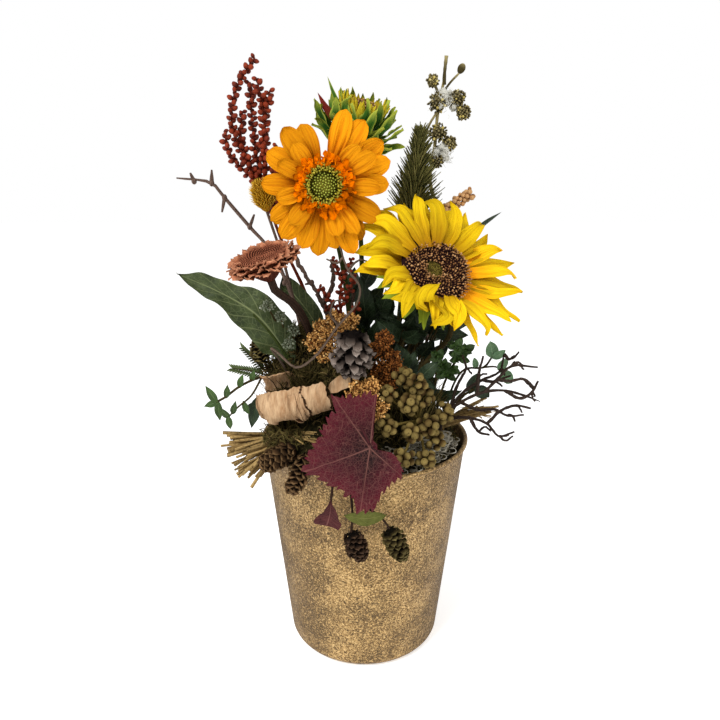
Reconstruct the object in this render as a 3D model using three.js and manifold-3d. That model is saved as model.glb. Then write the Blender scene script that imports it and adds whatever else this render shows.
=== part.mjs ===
// Dried and silk flowers in a gilded bucket. Millimetres, +Z up, -Y towards the viewer.
// The origin is the middle of the bucket's flat base.

import * as THREE from 'three';
import { mergeVertices } from 'three/addons/utils/BufferGeometryUtils.js';
import Module from 'manifold-3d';

const wasm = await Module();
wasm.setup();

// ---------------------------------------------------------------- driving dimensions

const RIM_RADIUS = 82.5;
const BASE_RADIUS = 61.6;
const BUCKET_HEIGHT = 178.8;
const WALL = 1.4;
const CORNER_RADIUS = 8;
const ROLL_RADIUS = 1.7;
const BUCKET_SIDES = 32;

const FIT = 0.35;
const BLADE = 0.7;

const FOAM_TOP = 152;
const FOAM_FOOT = WALL + FIT;
const STEM_FOOT = 118;
const ROOT_FOOT = 162;

const UP = new THREE.Vector3(0, 0, 1);
const TOWARDS_VIEWER = new THREE.Vector3(0, -1, 0);
const WELD = 1e-4;

// ---------------------------------------------------------------- finishes

const finish = (color, roughness, metalness = 0) => (
  new THREE.MeshStandardMaterial({ color, roughness, metalness, flatShading: true })
);

const GILT = finish(0xbe965a, 0.38, 0.85);
const FOAM = finish(0x4c5a3c, 0.95);
const MOSS = finish(0x3b3a24, 0.98);
const ORANGE_PETAL = finish(0xfaa50a, 0.6);
const DEEP_ORANGE = finish(0xe07a10, 0.65);
const LIME = finish(0x8c9a2c, 0.7);
const YELLOW_PETAL = finish(0xf6c81c, 0.6);
const SEED_BROWN = finish(0x45282a, 0.85);
const STEM_GREEN = finish(0x5b6b2f, 0.7);
const BRACT_GREEN = finish(0x5f8f2c, 0.65);
const RUST_RED = finish(0x823220, 0.75);
const MUSTARD = finish(0xc8961e, 0.8);
const TWIG_BROWN = finish(0x6e5a50, 0.85);
const DARK_STEM = finish(0x3a2c22, 0.8);
const COPPER = finish(0xa55f41, 0.7);
const OLIVE_LEAF = finish(0x55643c, 0.6);
const PINE_GREEN = finish(0x3c4022, 0.85);
const GOLDEN_OLIVE = finish(0x786428, 0.8);
const FLUFF_WHITE = finish(0xdcdcc8, 0.98);
const TAN = finish(0xb48250, 0.85);
const SILVER_GREY = finish(0xa8aa98, 0.9);
const YARROW_GOLD = finish(0xc88232, 0.9);
const CONE_GREY = finish(0x5a504e, 0.85);
const CONE_BROWN = finish(0x54452c, 0.85);
const BARK_TAN = finish(0xcda578, 0.75);
const MAROON = finish(0x69303a, 0.55);
const BERRY_OLIVE = finish(0x8c7d3c, 0.65);
const STRAW = finish(0xaa915a, 0.8);
const DARK_LEAF = finish(0x1e3a2c, 0.5);
const FRESH_LEAF = finish(0x34603c, 0.55);
const PALE_LEAF = finish(0x5a8264, 0.55);
const CURL_BROWN = finish(0x32281f, 0.8);
const LICHEN_GREY = finish(0x8f9088, 0.95);
const VINE_BROWN = finish(0x6b5847, 0.85);
const FEATHER_GREEN = finish(0x5a6446, 0.8);

// ---------------------------------------------------------------- small helpers

const at = (x, y, z) => new THREE.Vector3(x, y, z);
const points = (rows) => rows.map((row) => at(...row));
const mix = THREE.MathUtils.lerp;

/** A seeded source of even random numbers from low to high. */
function seeded(seed) {
  let state = seed;
  return (low = 0, high = 1) => {
    state = (state * 1664525 + 1013904223) % 4294967296;
    return low + (high - low) * (state / 4294967296);
  };
}

/** The value at t, from 0 to 1, of a row of evenly spaced heights joined by straight lines. */
function along(heights, t) {
  const place = t * (heights.length - 1);
  const left = Math.min(Math.floor(place), heights.length - 2);
  return mix(heights[left], heights[left + 1], place - left);
}

/** Two unit vectors square to an axis. */
function across(axis) {
  const hint = Math.abs(axis.z) > 0.9 ? at(1, 0, 0) : UP;
  const first = hint.clone().cross(axis).normalize();
  return [first, axis.clone().cross(first)];
}

/** The rotation that takes +Z to an axis and keeps +Y as near to up as it can be. */
function facing(axis) {
  const z = axis.clone().normalize();
  const x = (Math.abs(z.z) > 0.97 ? at(0, 1, 0).cross(z) : UP.clone().cross(z)).normalize();
  return new THREE.Matrix4().makeBasis(x, z.clone().cross(x), z);
}

/** A closed solid of a geometry, with its shared points welded and its faces pointing out. */
function solidOf(geometry) {
  const bare = new THREE.BufferGeometry();
  bare.setAttribute('position', geometry.getAttribute('position'));
  bare.setIndex(geometry.getIndex());
  const welded = mergeVertices(bare, WELD);
  const spots = welded.getAttribute('position');
  const index = welded.getIndex().array;
  const faces = [];
  let volume = 0;
  const corner = [at(0, 0, 0), at(0, 0, 0), at(0, 0, 0)];
  for (let i = 0; i < index.length; i += 3) {
    const [a, b, c] = [index[i], index[i + 1], index[i + 2]];
    if (a !== b && b !== c && c !== a) {
      faces.push(a, b, c);
      corner.forEach((spot, k) => spot.fromBufferAttribute(spots, index[i + k]));
      volume += corner[0].dot(corner[1].clone().cross(corner[2]));
    }
  }
  const triVerts = new Uint32Array(volume < 0 ? faces.reverse() : faces);
  const vertProperties = new Float32Array(spots.array);
  return new wasm.Manifold(new wasm.Mesh({ numProp: 3, vertProperties, triVerts }));
}

/** Many geometries joined into one solid. */
function fuse(geometries) {
  return geometries.flat(Infinity).map(solidOf).reduce((whole, piece) => whole.add(piece));
}

/** A named mesh of a solid or a plain geometry. */
function meshOf(name, shape, material) {
  const solid = shape.isBufferGeometry ? solidOf(shape) : shape;
  const result = solid.getMesh();
  const geometry = new THREE.BufferGeometry();
  geometry.setAttribute('position', new THREE.BufferAttribute(result.vertProperties, 3));
  geometry.setIndex(new THREE.BufferAttribute(result.triVerts, 1));
  geometry.computeVertexNormals();
  const mesh = new THREE.Mesh(geometry, material);
  mesh.name = name;
  return mesh;
}

// ---------------------------------------------------------------- shape makers

/** A stem, twig or wire: a closed tube bent to pass through its points, its radius read along `radii`. */
function tube(path, radii, sides = 4) {
  const steps = path.length - 1;
  const body = new THREE.CylinderGeometry(1, 1, 1, sides, steps);
  const spots = body.getAttribute('position');
  const widths = Array.isArray(radii) ? radii : [radii, radii];
  const headings = path.map((spot, i) => (
    path[Math.min(i + 1, steps)].clone().sub(path[Math.max(i - 1, 0)]).normalize()));
  const sideways = [across(headings[0])[0]];
  for (let i = 1; i <= steps; i += 1) {
    const last = sideways[i - 1];
    sideways.push(last.clone().addScaledVector(headings[i], -last.dot(headings[i])).normalize());
  }
  for (let i = 0; i < spots.count; i += 1) {
    const step = Math.round((spots.getY(i) + 0.5) * steps);
    const radius = along(widths, step / steps);
    const second = headings[step].clone().cross(sideways[step]);
    const spot = path[step].clone()
      .addScaledVector(sideways[step], spots.getX(i) * radius)
      .addScaledVector(second, spots.getZ(i) * radius);
    spots.setXYZ(i, spot.x, spot.y, spot.z);
  }
  return body;
}

/** A straight tapered rod between two points. */
const rod = (from, to, radii, sides = 4) => tube([from, to], radii, sides);

/**
 * A thin leaf or petal along a midrib. `half` gives its half width and `lift(t, u)` its relief,
 * with t along the midrib and u from -1 to 1 across it. Both faces share one triangulation.
 */
function blade({ rib, up = UP, half, lift = () => 0, rows = 4, columns = 2, thick = BLADE }) {
  const curve = new THREE.CatmullRomCurve3(rib, false, 'centripetal');
  const spots = [];
  for (const face of [1, -1]) {
    for (let i = 0; i <= rows; i += 1) {
      const t = i / rows;
      const forward = curve.getTangentAt(t);
      const side = forward.clone().cross(up).normalize();
      const normal = side.clone().cross(forward);
      const width = along(half, t);
      for (let j = 0; j <= columns; j += 1) {
        const u = (2 * j) / columns - 1;
        const rise = (width > 0 ? lift(t, u) : 0) + (face * thick) / 2;
        const spot = curve.getPointAt(t).addScaledVector(side, u * width);
        spots.push(...spot.addScaledVector(normal, rise).toArray());
      }
    }
  }
  const row = columns + 1;
  const lower = row * (rows + 1);
  const faces = [];
  const quad = (a, b, c, d) => faces.push(a, b, c, a, c, d);
  for (let i = 0; i < rows; i += 1) {
    for (let j = 0; j < columns; j += 1) {
      const a = i * row + j;
      quad(a, a + 1, a + row + 1, a + row);
      faces.push(lower + a, lower + a + row + 1, lower + a + 1);
      faces.push(lower + a, lower + a + row, lower + a + row + 1);
    }
    const [left, right] = [i * row, i * row + columns];
    quad(left, left + row, lower + left + row, lower + left);
    quad(right, lower + right, lower + right + row, right + row);
  }
  for (let j = 0; j < columns; j += 1) {
    const end = rows * row + j;
    quad(j, lower + j, lower + j + 1, j + 1);
    quad(end, end + 1, lower + end + 1, lower + end);
  }
  const geometry = new THREE.BufferGeometry();
  geometry.setAttribute('position', new THREE.Float32BufferAttribute(spots, 3));
  geometry.setIndex(faces);
  return geometry;
}

/** A small scale, floret or leaflet: eight faces, widest at `bulge` of its length. */
function flake(root, tip, width, thick, up = UP, bulge = 0.6) {
  const forward = tip.clone().sub(root);
  const side = forward.clone().cross(up).normalize();
  const normal = side.clone().cross(forward).normalize();
  const middle = root.clone().addScaledVector(forward, bulge);
  const body = new THREE.OctahedronGeometry(1);
  const spots = body.getAttribute('position');
  for (let i = 0; i < spots.count; i += 1) {
    const [x, y, z] = [spots.getX(i), spots.getY(i), spots.getZ(i)];
    const spot = middle.clone().addScaledVector(forward, y > 0 ? y * (1 - bulge) : y * bulge);
    spot.addScaledVector(side, (x * width) / 2).addScaledVector(normal, (z * thick) / 2);
    spots.setXYZ(i, spot.x, spot.y, spot.z);
  }
  return body;
}

/** A thin needle or bristle: a three-sided point. */
function spine(root, tip, radius) {
  const body = new THREE.TetrahedronGeometry(1);
  const corners = [at(1, 1, 1), at(-1, -1, 1), at(-1, 1, -1), at(1, -1, -1)];
  const [first, second] = across(tip.clone().sub(root).normalize());
  const spots = body.getAttribute('position');
  for (let i = 0; i < spots.count; i += 1) {
    const spot = at(0, 0, 0).fromBufferAttribute(spots, i);
    const which = corners.findIndex((corner) => corner.dot(spot) > 1);
    const turn = (which * 2 * Math.PI) / 3;
    const target = which === 0 ? tip.clone() : root.clone()
      .addScaledVector(first, Math.cos(turn) * radius)
      .addScaledVector(second, Math.sin(turn) * radius);
    spots.setXYZ(i, target.x, target.y, target.z);
  }
  return body;
}

/** A ball of twenty faces with a radius along each axis. */
function bead(centre, radii) {
  return new THREE.IcosahedronGeometry(1).scale(...radii).translate(...centre.toArray());
}

/** A berry, seed or floret: a bead of eight faces whose pointed root is sunk in what bears it. */
const berry = (root, out, size) => flake(
  root, root.clone().addScaledVector(out, size * 2.3), size * 2, size * 2, across(out)[0], 0.55);

/** A knobbly tuft: a ball of 32 faces whose points stand out and whose hollows lie between them. */
function knot(centre, size, draw) {
  const ball = new THREE.OctahedronGeometry(1, 1).deleteAttribute('normal').deleteAttribute('uv');
  const body = mergeVertices(ball, WELD);
  const spots = body.getAttribute('position');
  for (let i = 0; i < spots.count; i += 1) {
    const spot = at(0, 0, 0).fromBufferAttribute(spots, i);
    const corner = Math.max(Math.abs(spot.x), Math.abs(spot.y), Math.abs(spot.z)) > 0.9;
    spot.multiplyScalar(size * (corner ? draw(0.7, 0.85) : draw(1, 1.25))).add(centre);
    spots.setXYZ(i, spot.x, spot.y, spot.z);
  }
  return body;
}

/**
 * A turned body: a profile of [radius, height] pairs round an axis through `centre`. A third and a
 * fourth number notch a ring: every other point is moved out and up by them, and a minus radius
 * shift starts with the even points, so that rows of petals, bracts or scales stand in turn.
 */
function turned(profile, sides, centre = at(0, 0, 0), axis = UP) {
  const body = new THREE.LatheGeometry(profile.map(([r, z]) => new THREE.Vector2(r, z)), sides);
  body.rotateX(Math.PI / 2);
  const spots = body.getAttribute('position');
  for (let i = 0; i < spots.count; i += 1) {
    const [radius, , out = 0, up = 0] = profile[i % profile.length];
    const column = Math.floor(i / profile.length);
    const odd = column % 2 === (out < 0 ? 0 : 1);
    if (out && odd) {
      const grow = (radius + Math.abs(out)) / radius;
      spots.setXYZ(i, spots.getX(i) * grow, spots.getY(i) * grow, spots.getZ(i) + up);
    }
  }
  return body.applyMatrix4(facing(axis).setPosition(centre));
}

/** A group whose own +Z looks along a flower's axis, with its meshes inside. */
function head(centre, axis, meshes) {
  const group = new THREE.Group();
  group.applyMatrix4(facing(axis).setPosition(centre));
  group.add(...meshes);
  return group;
}

/** Geometries turned about +Z so that they stand evenly round a head. */
function ring(count, make, offset = 0) {
  return Array.from({ length: count }, (_, i) => {
    const angle = ((i + offset) * 2 * Math.PI) / count;
    return [make(i, angle)].flat().map((piece) => piece.rotateZ(angle));
  });
}

// ---------------------------------------------------------------- stems that stand in the foam

/** A stem's route, its radii from foot to top and its number of sides. */
const route = (radii, sides, rows) => ({ radii, sides, path: points(rows) });

/** Stems that end behind a head which is a piece of its own. */
const STEMS = {
  orange: route([2.1, 1.9], 6, [
    [-8, 6, STEM_FOOT], [-9, 5, 230], [-16, -1, 310], [-25, -9, 354], [-28, -18.6, 373]]),
  sunflower: route([2.4, 2.1], 6, [
    [30, 4, STEM_FOOT], [33, 4, 210], [48, -2, 238], [65, -4, 260], [65, -5, 277], [54, -12, 294],
    [42.6, -22.3, 306.4]]),
  bud: route([2, 1.8], 5, [[0, 24, STEM_FOOT], [-2, 25, 300], [-6, 26.2, 398.8]]),
  bristle: route([1.3, 1.1], 3, [
    [-42, 14, STEM_FOOT], [-46, 12, 230], [-60, 5, 310], [-71.9, 0, 353.7]]),
  protea: route([3.2, 2.9], 6, [
    [-22, -14, STEM_FOOT], [-26, -16, 210], [-39, -25, 264], [-49, -43, 293], [-61.3, -59.4, 308.2],
    [-63.1, -60.9, 314.6]]),
};

/** Leafy, woody and berried stems that are one piece with what they bear. */
const SPRAYS = {
  redTall: route([1.7, 1.2], 4, [
    [-24, 26, STEM_FOOT], [-28, 26, 220], [-46, 24, 285], [-62, 22, 323], [-72, 22, 352]]),
  redLow: route([1.4, 1.1], 3, [[-12, -10, STEM_FOOT], [-13, -11, 230], [-19, -12, 290]]),
  twig: route([2.4, 2, 1.6, 1.4, 1.1], 5, [
    [-32, 2, STEM_FOOT], [-37, 1, 225], [-46, -2, 262], [-68, -10, 325], [-83, -13, 344], [-99, -18, 365],
    [-107, -20, 375], [-131, -21, 378.5]]),
  largeLeaf: route([1.9, 1.7], 4, [[-42, -12, STEM_FOOT], [-46, -15, 212], [-58, -26, 252]]),
  backLeaf: route([1.3, 1.1], 3, [[-20, 12, STEM_FOOT], [-22, 12, 220], [-36, 15, 262]]),
  pine: route([2, 1.8, 2.6, 1.4], 5, [
    [24, 30, STEM_FOOT], [27, 28, 250], [36, 25, 345], [41.5, 25, 412]]),
  cotton: route([2, 1.8, 1.6, 1.2], 4, [
    [38, 46, STEM_FOOT], [44, 50, 250], [60, 55, 345], [52, 55, 372], [55, 55, 396], [57, 55, 426],
    [61, 55, 448]]),
  spike: route([1.3, 1.1], 3, [[48, 28, STEM_FOOT], [52, 33, 260], [60, 40, 347]]),
  narrow: route([1.2, 1], 3, [[56, 14, STEM_FOOT], [60, 18, 240], [81, 34, 328]]),
  statice: route([1.2, 0.9], 3, [[-44, 2, ROOT_FOOT], [-48, 0, 212], [-62, -11, 262]]),
  feathery: route([1.1, 0.9], 3, [[-58, -6, ROOT_FOOT], [-62, -8, 200], [-74, -16, 232]]),
  yarrowLeft: route([1.2, 1], 3, [[-17, -32, ROOT_FOOT], [-18, -32, 205], [-24, -36, 244]]),
  yarrowRight: route([1.2, 1], 3, [[8, -34, ROOT_FOOT], [9, -35, 205], [13, -40, 232]]),
  yarrowLow: route([1.1, 0.9], 3, [[-3, -50, ROOT_FOOT], [-3, -53, 200], [0, -61, 224]]),
  greyCone: route([1.3, 1.3], 3, [[-9, -40, ROOT_FOOT], [-10, -42, 205], [-9, -59, 252]]),
  leftCone: route([1.1, 1], 3, [[-62, -14, ROOT_FOOT], [-67, -16, 215], [-76, -24, 248]]),
  maroon: route([1.2, 1], 3, [
    [-6, -60, ROOT_FOOT], [-8, -64, 196], [-12, -74, 232], [-6, -82, 224], [3, -88.4, 207]]),
  berries: route([1.6, 1.4], 4, [[34, -38, ROOT_FOOT], [35, -42, 198], [38, -52, 210]]),
  darkSprig: route([1.3, 1], 3, [[30, -18, ROOT_FOOT], [31, -20, 205], [29, -31, 244]]),
  boxwood: route([1.1, 0.9], 3, [[56, -4, ROOT_FOOT], [58, -6, 205], [66, -12, 236], [76, -14, 252]]),
  tendrilRight: route([1, 0.8], 3, [
    [66, 4, ROOT_FOOT], [68, 0, 212], [78, -6, 234], [92, -8, 236], [98, -10, 246]]),
  tendrilLeft: route([1.1, 0.9], 3, [
    [-54, -20, ROOT_FOOT], [-59, -20, 205], [-67, -22, 230], [-76, -34, 237], [-91, -43, 233],
    [-101, -46, 226], [-108, -46, 222]]),
  curly: route([1.7, 1.3, 1.1, 0.9], 4, [
    [58, -20, ROOT_FOOT], [60, -24, 200], [72, -31, 216], [89, -33, 225], [104, -33, 226], [119, -33, 222],
    [131, -32, 217]]),
  grapevine: route([0.9, 0.85], 3, [
    [-44, -20, ROOT_FOOT], [-47, -22, 205], [-60, -30, 244], [-67, -44, 262], [-60, -57, 262],
    [-48, -60, 253], [-36, -57, 259], [-19, -54, 281], [-5, -42, 296], [-4, -38, 306], [-12, -37, 317],
    [-18, -37, 334]]),
  alder: route([1, 0.9], 3, [
    [-10, -62, ROOT_FOOT], [-11, -70, 186], [-11, -84.4, 185], [-10, -85, 167], [-9, -87, 152],
    [-10, -88, 140]]),
  smallMaroon: route([1, 0.9], 3, [
    [-20, -58, ROOT_FOOT], [-21, -69, 186], [-22, -82.2, 184.6], [-23, -84, 172], [-24, -91, 164]]),
  smallGreen: route([1, 0.9], 3, [
    [6, -58, ROOT_FOOT], [6, -69, 186], [4, -84.6, 185], [3, -85.2, 172], [2, -87, 161], [0, -90.6, 153]]),
  raffia: route([1.5, 0.9], 3, [[60, -9, ROOT_FOOT], [64, -12, 194], [80, -17, 203], [102, -24, 210]]),
  ivyRight: route([1.2, 0.9], 3, [[64, -2, ROOT_FOOT], [68, -8, 196], [76, -15, 215], [84, -22, 224]]),
  leafLeft: route([1.1, 0.9], 3, [[-62, -22, ROOT_FOOT], [-66, -24, 196], [-79, -36, 222]]),
  backGreens: route([1.6, 1.2], 4, [[-8, 50, ROOT_FOOT], [-9, 56, 215], [-12, 66, 276]]),
  backRight: route([1.5, 1.1], 3, [[44, 56, ROOT_FOOT], [48, 62, 206], [58, 70, 250]]),
};

/** The solid of a stem, or of the plain hole it stands in when `play` is added to its radius. */
function stem({ path, radii, sides }, play = 0) {
  return tube(path, radii.map((radius) => radius + play), sides);
}

// ---------------------------------------------------------------- bucket, foam and moss

const wallRadius = (z) => mix(BASE_RADIUS, RIM_RADIUS - ROLL_RADIUS, z / BUCKET_HEIGHT);

function bucket() {
  const rollHeight = BUCKET_HEIGHT - ROLL_RADIUS;
  const bend = Math.PI / 4;
  const roll = [-60, 15, 90].map((degrees) => {
    const angle = THREE.MathUtils.degToRad(degrees);
    return [RIM_RADIUS - ROLL_RADIUS * (1 - Math.cos(angle)), rollHeight + ROLL_RADIUS * Math.sin(angle)];
  });
  return turned([
    [0, 0],
    [wallRadius(CORNER_RADIUS) - CORNER_RADIUS, 0],
    [wallRadius(CORNER_RADIUS) - CORNER_RADIUS * (1 - Math.sin(bend)), CORNER_RADIUS * (1 - Math.cos(bend))],
    [wallRadius(CORNER_RADIUS), CORNER_RADIUS],
    [wallRadius(rollHeight - 3), rollHeight - 3],
    ...roll,
    [wallRadius(rollHeight) - WALL, rollHeight],
    [wallRadius(CORNER_RADIUS) - WALL, CORNER_RADIUS],
    [wallRadius(CORNER_RADIUS) - CORNER_RADIUS, WALL],
    [0, WALL],
  ], BUCKET_SIDES);
}

/** The radius of what fills the bucket, clear of the flats of the bucket's inner wall. */
const fillRadius = (z) => (wallRadius(z) - WALL) * Math.cos(Math.PI / BUCKET_SIDES) - FIT;

function foamBlock(holes) {
  const block = turned([
    [0, FOAM_FOOT],
    [fillRadius(CORNER_RADIUS) - CORNER_RADIUS, FOAM_FOOT],
    [fillRadius(CORNER_RADIUS), CORNER_RADIUS + FIT],
    [fillRadius(FOAM_TOP), FOAM_TOP],
    [0, FOAM_TOP],
  ], 18);
  return solidOf(block).subtract(holes);
}

/** Hummocks that bed the pieces lying on the moss: [x, y, spread, height]. */
const HUMMOCKS = [[-42, -38, 22, 22], [-40, 34, 24, 8], [34, 38, 26, 10], [46, -34, 18, 4]];
const MOSS_LEVEL = [[0, 198], [26, 196], [48, 188], [62, 182], [72, 176]];

/** The height of the moss at a place: a low dome with soft hummocks and small lumps. */
function mossHeight(x, y) {
  const radius = Math.hypot(x, y);
  const ring = MOSS_LEVEL.findIndex(([r]) => r > radius);
  const [[r0, z0], [r1, z1]] = ring < 0 ? MOSS_LEVEL.slice(-2) : [MOSS_LEVEL[ring - 1], MOSS_LEVEL[ring]];
  const dome = mix(z0, z1, (Math.min(radius, 72) - r0) / (r1 - r0));
  const humps = HUMMOCKS.map(([cx, cy, spread, height]) => (
    height * Math.exp(-((x - cx) ** 2 + (y - cy) ** 2) / spread ** 2)));
  return dome + humps.reduce((a, b) => a + b) + 1.4 * Math.sin(x * 0.31) * Math.cos(y * 0.27);
}

function mossBed(cuts) {
  const low = FOAM_TOP + FIT;
  const edge = [fillRadius(169), 169];
  const bed = turned([[0, low], [fillRadius(low), low], edge, ...[...MOSS_LEVEL].reverse()], 16);
  const spots = bed.getAttribute('position');
  for (let i = 0; i < spots.count; i += 1) {
    if (spots.getZ(i) > 170) spots.setZ(i, mossHeight(spots.getX(i), spots.getY(i)));
  }
  return solidOf(bed).subtract(cuts);
}

// ---------------------------------------------------------------- orange bloom

const ORANGE = { centre: at(-28, -30, 374), axis: at(0.03, -0.99, 0.1).normalize() };

function orangePetals() {
  const draw = seeded(3);
  const layer = ({ count, reach, heights, half, offset }) => ring(count, (i) => {
    const shingle = i % 2 ? 0.5 : -0.5;
    const tip = reach * draw(0.94, 1.04);
    const rib = heights.map((z, k) => at(mix(8, tip, k / (heights.length - 1)), 0, z + shingle));
    rib[rib.length - 1].z += draw(-1.2, 1.2);
    return blade({ rib, half, lift: (t) => 0.9 * t, rows: 3, columns: 1 });
  }, offset);
  return fuse([
    turned([[0, -3], [11, -3], [11, 3.9], [0, 3.9]], 10),
    layer({ count: 13, reach: 46, heights: [-1.4, -1.6, -3], half: [2.2, 6.8, 8.2, 4], offset: 0 }),
    layer({ count: 9, reach: 39, heights: [1, 1.2, 0.6], half: [2.2, 6, 6.8, 3.2], offset: 0.5 }),
    layer({ count: 6, reach: 27, heights: [3, 3.2, 6.5], half: [1.8, 3.8, 4.4, 2.2], offset: 0.2 }),
  ]);
}

/** The crinkled ring of small petals round the disc. */
const orangeFrill = () => turned([
  [10.8, 4.5], [12.8, 4.5], [14.4, 7, 4.6, 0.8], [10.8, 6.4], [10.8, 4.5]], 24);

/** The green disc: a fringe of points round a dotted dome. */
const greenDisc = () => turned([
  [0, 4.5], [9.8, 4.5], [9.8, 6.8], [11.2, 8.6, -2.6, 0.8], [7.6, 8.2], [5.6, 9, 1.4, 0.8], [0, 10]], 20);

// ---------------------------------------------------------------- sunflower

const SUNFLOWER = { centre: at(47, -30, 314), axis: at(0.373, -0.659, 0.653).normalize() };

function sunflowerPetals() {
  const draw = seeded(9);
  const half = [3.2, 5.6, 4.8, 0];
  const plain = (low, high, reach) => {
    const rib = points([
      [20, 0, low], [mix(20, reach, 0.5), 0, low + draw(2, 4)], [reach, draw(-2, 2), high + draw(-3, 4)]]);
    return blade({ rib, half, rows: 3, columns: 1 });
  };
  const curled = (low) => {
    const rib = points([
      [20, 0, low], [33, 0, low + 3], [41, 1, low + 13], [37, 2, low + 23], [28, 1, low + 26]]);
    return blade({ rib, half, rows: 4, columns: 1 });
  };
  const curls = (i, angle) => i % 2 === 1 && Math.cos(angle - THREE.MathUtils.degToRad(215)) > 0.75;
  const outer = ring(14, (i, angle) => {
    const shingle = i % 2 ? -1.9 : -0.9;
    return curls(i, angle) ? curled(shingle) : plain(shingle, -1, draw(56, 60));
  });
  const inner = ring(12, (i, angle) => {
    const shingle = i % 2 ? 0.3 : 1.2;
    return curls(i, angle) ? curled(shingle) : plain(shingle, 6, draw(48, 53));
  }, 0.5);
  return fuse([turned([[0, -3], [24, -3], [24, 1.9], [0, 1.9]], 14), outer, inner]);
}

function sunflowerDisc() {
  const draw = seeded(10);
  const count = 26;
  const golden = Math.PI * (3 - Math.sqrt(5));
  const bed = turned([[0, 2.3], [22, 2.3], [26, 4.4], [24, 8], [16, 9.6], [6, 5.6], [0, 5.4]], 12);
  const florets = Array.from({ length: count }, (_, i) => {
    const share = (i + 0.5) / count;
    const radius = Math.sqrt(mix(9 ** 2, 24 ** 2, share));
    const height = along([7.4, 9.6, 8.8, 7], (radius - 9) / 15);
    const root = at(radius, 0, height - 1.2);
    const tip = at(radius + mix(-1.4, 2, share), 0, height + draw(2, 3.2));
    return spine(root, tip, 1.7).rotateZ(i * golden);
  });
  return fuse([bed, florets]);
}

/** A stem with the green cup behind a bloom, whose rim is cut into sepals. */
function cuppedStem(main, bloom, { top, radius, reach, neck, depth, sepals }) {
  const cup = turned([
    [0, top], [radius, top], [radius + 1, top - 1.4, reach - radius, -1], [radius - 1, top - 2.6],
    [neck, top - depth], [0, top - depth]], sepals * 2, bloom.centre, bloom.axis);
  return fuse([cup, stem(main)]);
}

// ---------------------------------------------------------------- opening bud

const BUD = { centre: at(-4, 25, 419), axis: at(0.1, -0.06, 0.99).normalize() };

function budBracts() {
  const draw = seeded(14);
  const row = (count, path, half, offset) => ring(count, (i) => {
    const rib = points(path.map(([r, z]) => [r * draw(0.95, 1.05), 0, z + draw(-1.5, 1.5) + (i % 2)]));
    return blade({ rib, half, up: at(-0.4, 0, 1), rows: 2, columns: 1 });
  }, offset);
  return fuse([
    turned([[0, -20], [7, -20], [11.6, -11], [11.6, -4], [9.8, -4], [9.6, -11], [0, -11]], 8),
    row(8, [[8, -15], [20, -8], [29, 2], [35, 3]], [2.2, 5.8, 0], 0),
    row(8, [[9, -11], [17, -3], [21, 7], [22, 18]], [2, 5.2, 0], 0.5),
  ]);
}

/** The ring of short petals that stand round the bud's disc. */
const budPetals = () => turned([
  [0, -10.6], [8.2, -10.4], [8.8, -3.6], [10.6, 5, 3, 4.6], [7.4, -3], [0, -3]], 16);

function budDisc() {
  const florets = ring(5, () => spine(at(3.6, 0, 0.8), at(4.2, 0, 4.6), 1.7));
  return fuse([turned([[0, -2.6], [6, -2.6], [6.6, 0.4], [0, 3.4]], 8), florets]);
}

// ---------------------------------------------------------------- berried and budded sprays

/** A branchlet beset with berries on all sides in turn, and the last one at its tip. */
function beadedBranch(path, radii, count, size, draw) {
  const stations = new THREE.CatmullRomCurve3(path, false, 'centripetal').getSpacedPoints(4);
  const beads = Array.from({ length: count }, (_, i) => {
    const place = mix(0.12, 0.98, i / (count - 1)) * 4;
    const [from, to] = [stations[Math.floor(place)], stations[Math.floor(place) + 1]];
    const heading = to.clone().sub(from).normalize();
    const [first, second] = across(heading);
    const turn = i * 2.4;
    const out = heading.clone().multiplyScalar(i === count - 1 ? 4 : 0.5)
      .addScaledVector(first, Math.cos(turn))
      .addScaledVector(second, Math.sin(turn)).normalize();
    return berry(from.clone().lerp(to, place % 1), out, size * draw(0.88, 1.1));
  });
  return [tube(stations, radii, 3), beads];
}

function redSprayTall() {
  const draw = seeded(21);
  const crown = [
    [[-72, 22, 350], [-84, 22, 378], [-98, 23, 414], [-94, 22, 438], [-79, 21, 460]],
    [[-71, 22, 350], [-82, 26, 396], [-84, 26, 444]],
    [[-70, 23, 350], [-76, 22, 400], [-69, 21, 438]],
    [[-69, 21, 348], [-66, 20, 400]],
  ];
  const counts = [10, 7, 6, 4];
  return fuse([
    stem(SPRAYS.redTall),
    crown.map((path, i) => beadedBranch(points(path), [1.3, 1], counts[i], 2.5, draw)),
  ]);
}

function redSprayLow() {
  const draw = seeded(22);
  const crown = [
    [[-19, -12, 288], [-17, -13, 304], [-9, -14, 322]],
    [[-18, -12, 284], [-7, -12, 308]],
    [[-19, -12, 280], [-34, -11, 300]],
  ];
  const counts = [4, 3, 2];
  return fuse([
    stem(SPRAYS.redLow),
    crown.map((path, i) => beadedBranch(points(path), [1.2, 0.9], counts[i], 2.4, draw)),
  ]);
}

/** A bristly egg of points round an axis, as on a thistle or teasel head. */
function bristleHead() {
  const draw = seeded(23);
  const [low, high] = points([[-71.6, 0, 352], [-76, 0, 377]]);
  const axis = high.clone().sub(low).normalize();
  const middle = low.clone().lerp(high, 0.5);
  const [first, second] = across(axis);
  const core = bead(at(0, 0, 0), [6.4, 6.4, 12.2]).applyMatrix4(facing(axis).setPosition(middle));
  const bristles = Array.from({ length: 28 }, (_, i) => {
    const height = mix(-0.85, 0.98, i / 27);
    const girth = Math.sqrt(1 - height * height);
    const turn = i * 2.4;
    const out = first.clone().multiplyScalar(Math.cos(turn)).addScaledVector(second, Math.sin(turn));
    const spot = (rise, reach) => middle.clone().addScaledVector(axis, rise).addScaledVector(out, reach);
    return spine(spot(height * 9, girth * 3.4), spot(height * 11 + 3.4, girth * draw(9, 11)), 1.8);
  });
  return fuse([core, bristles]);
}

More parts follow.
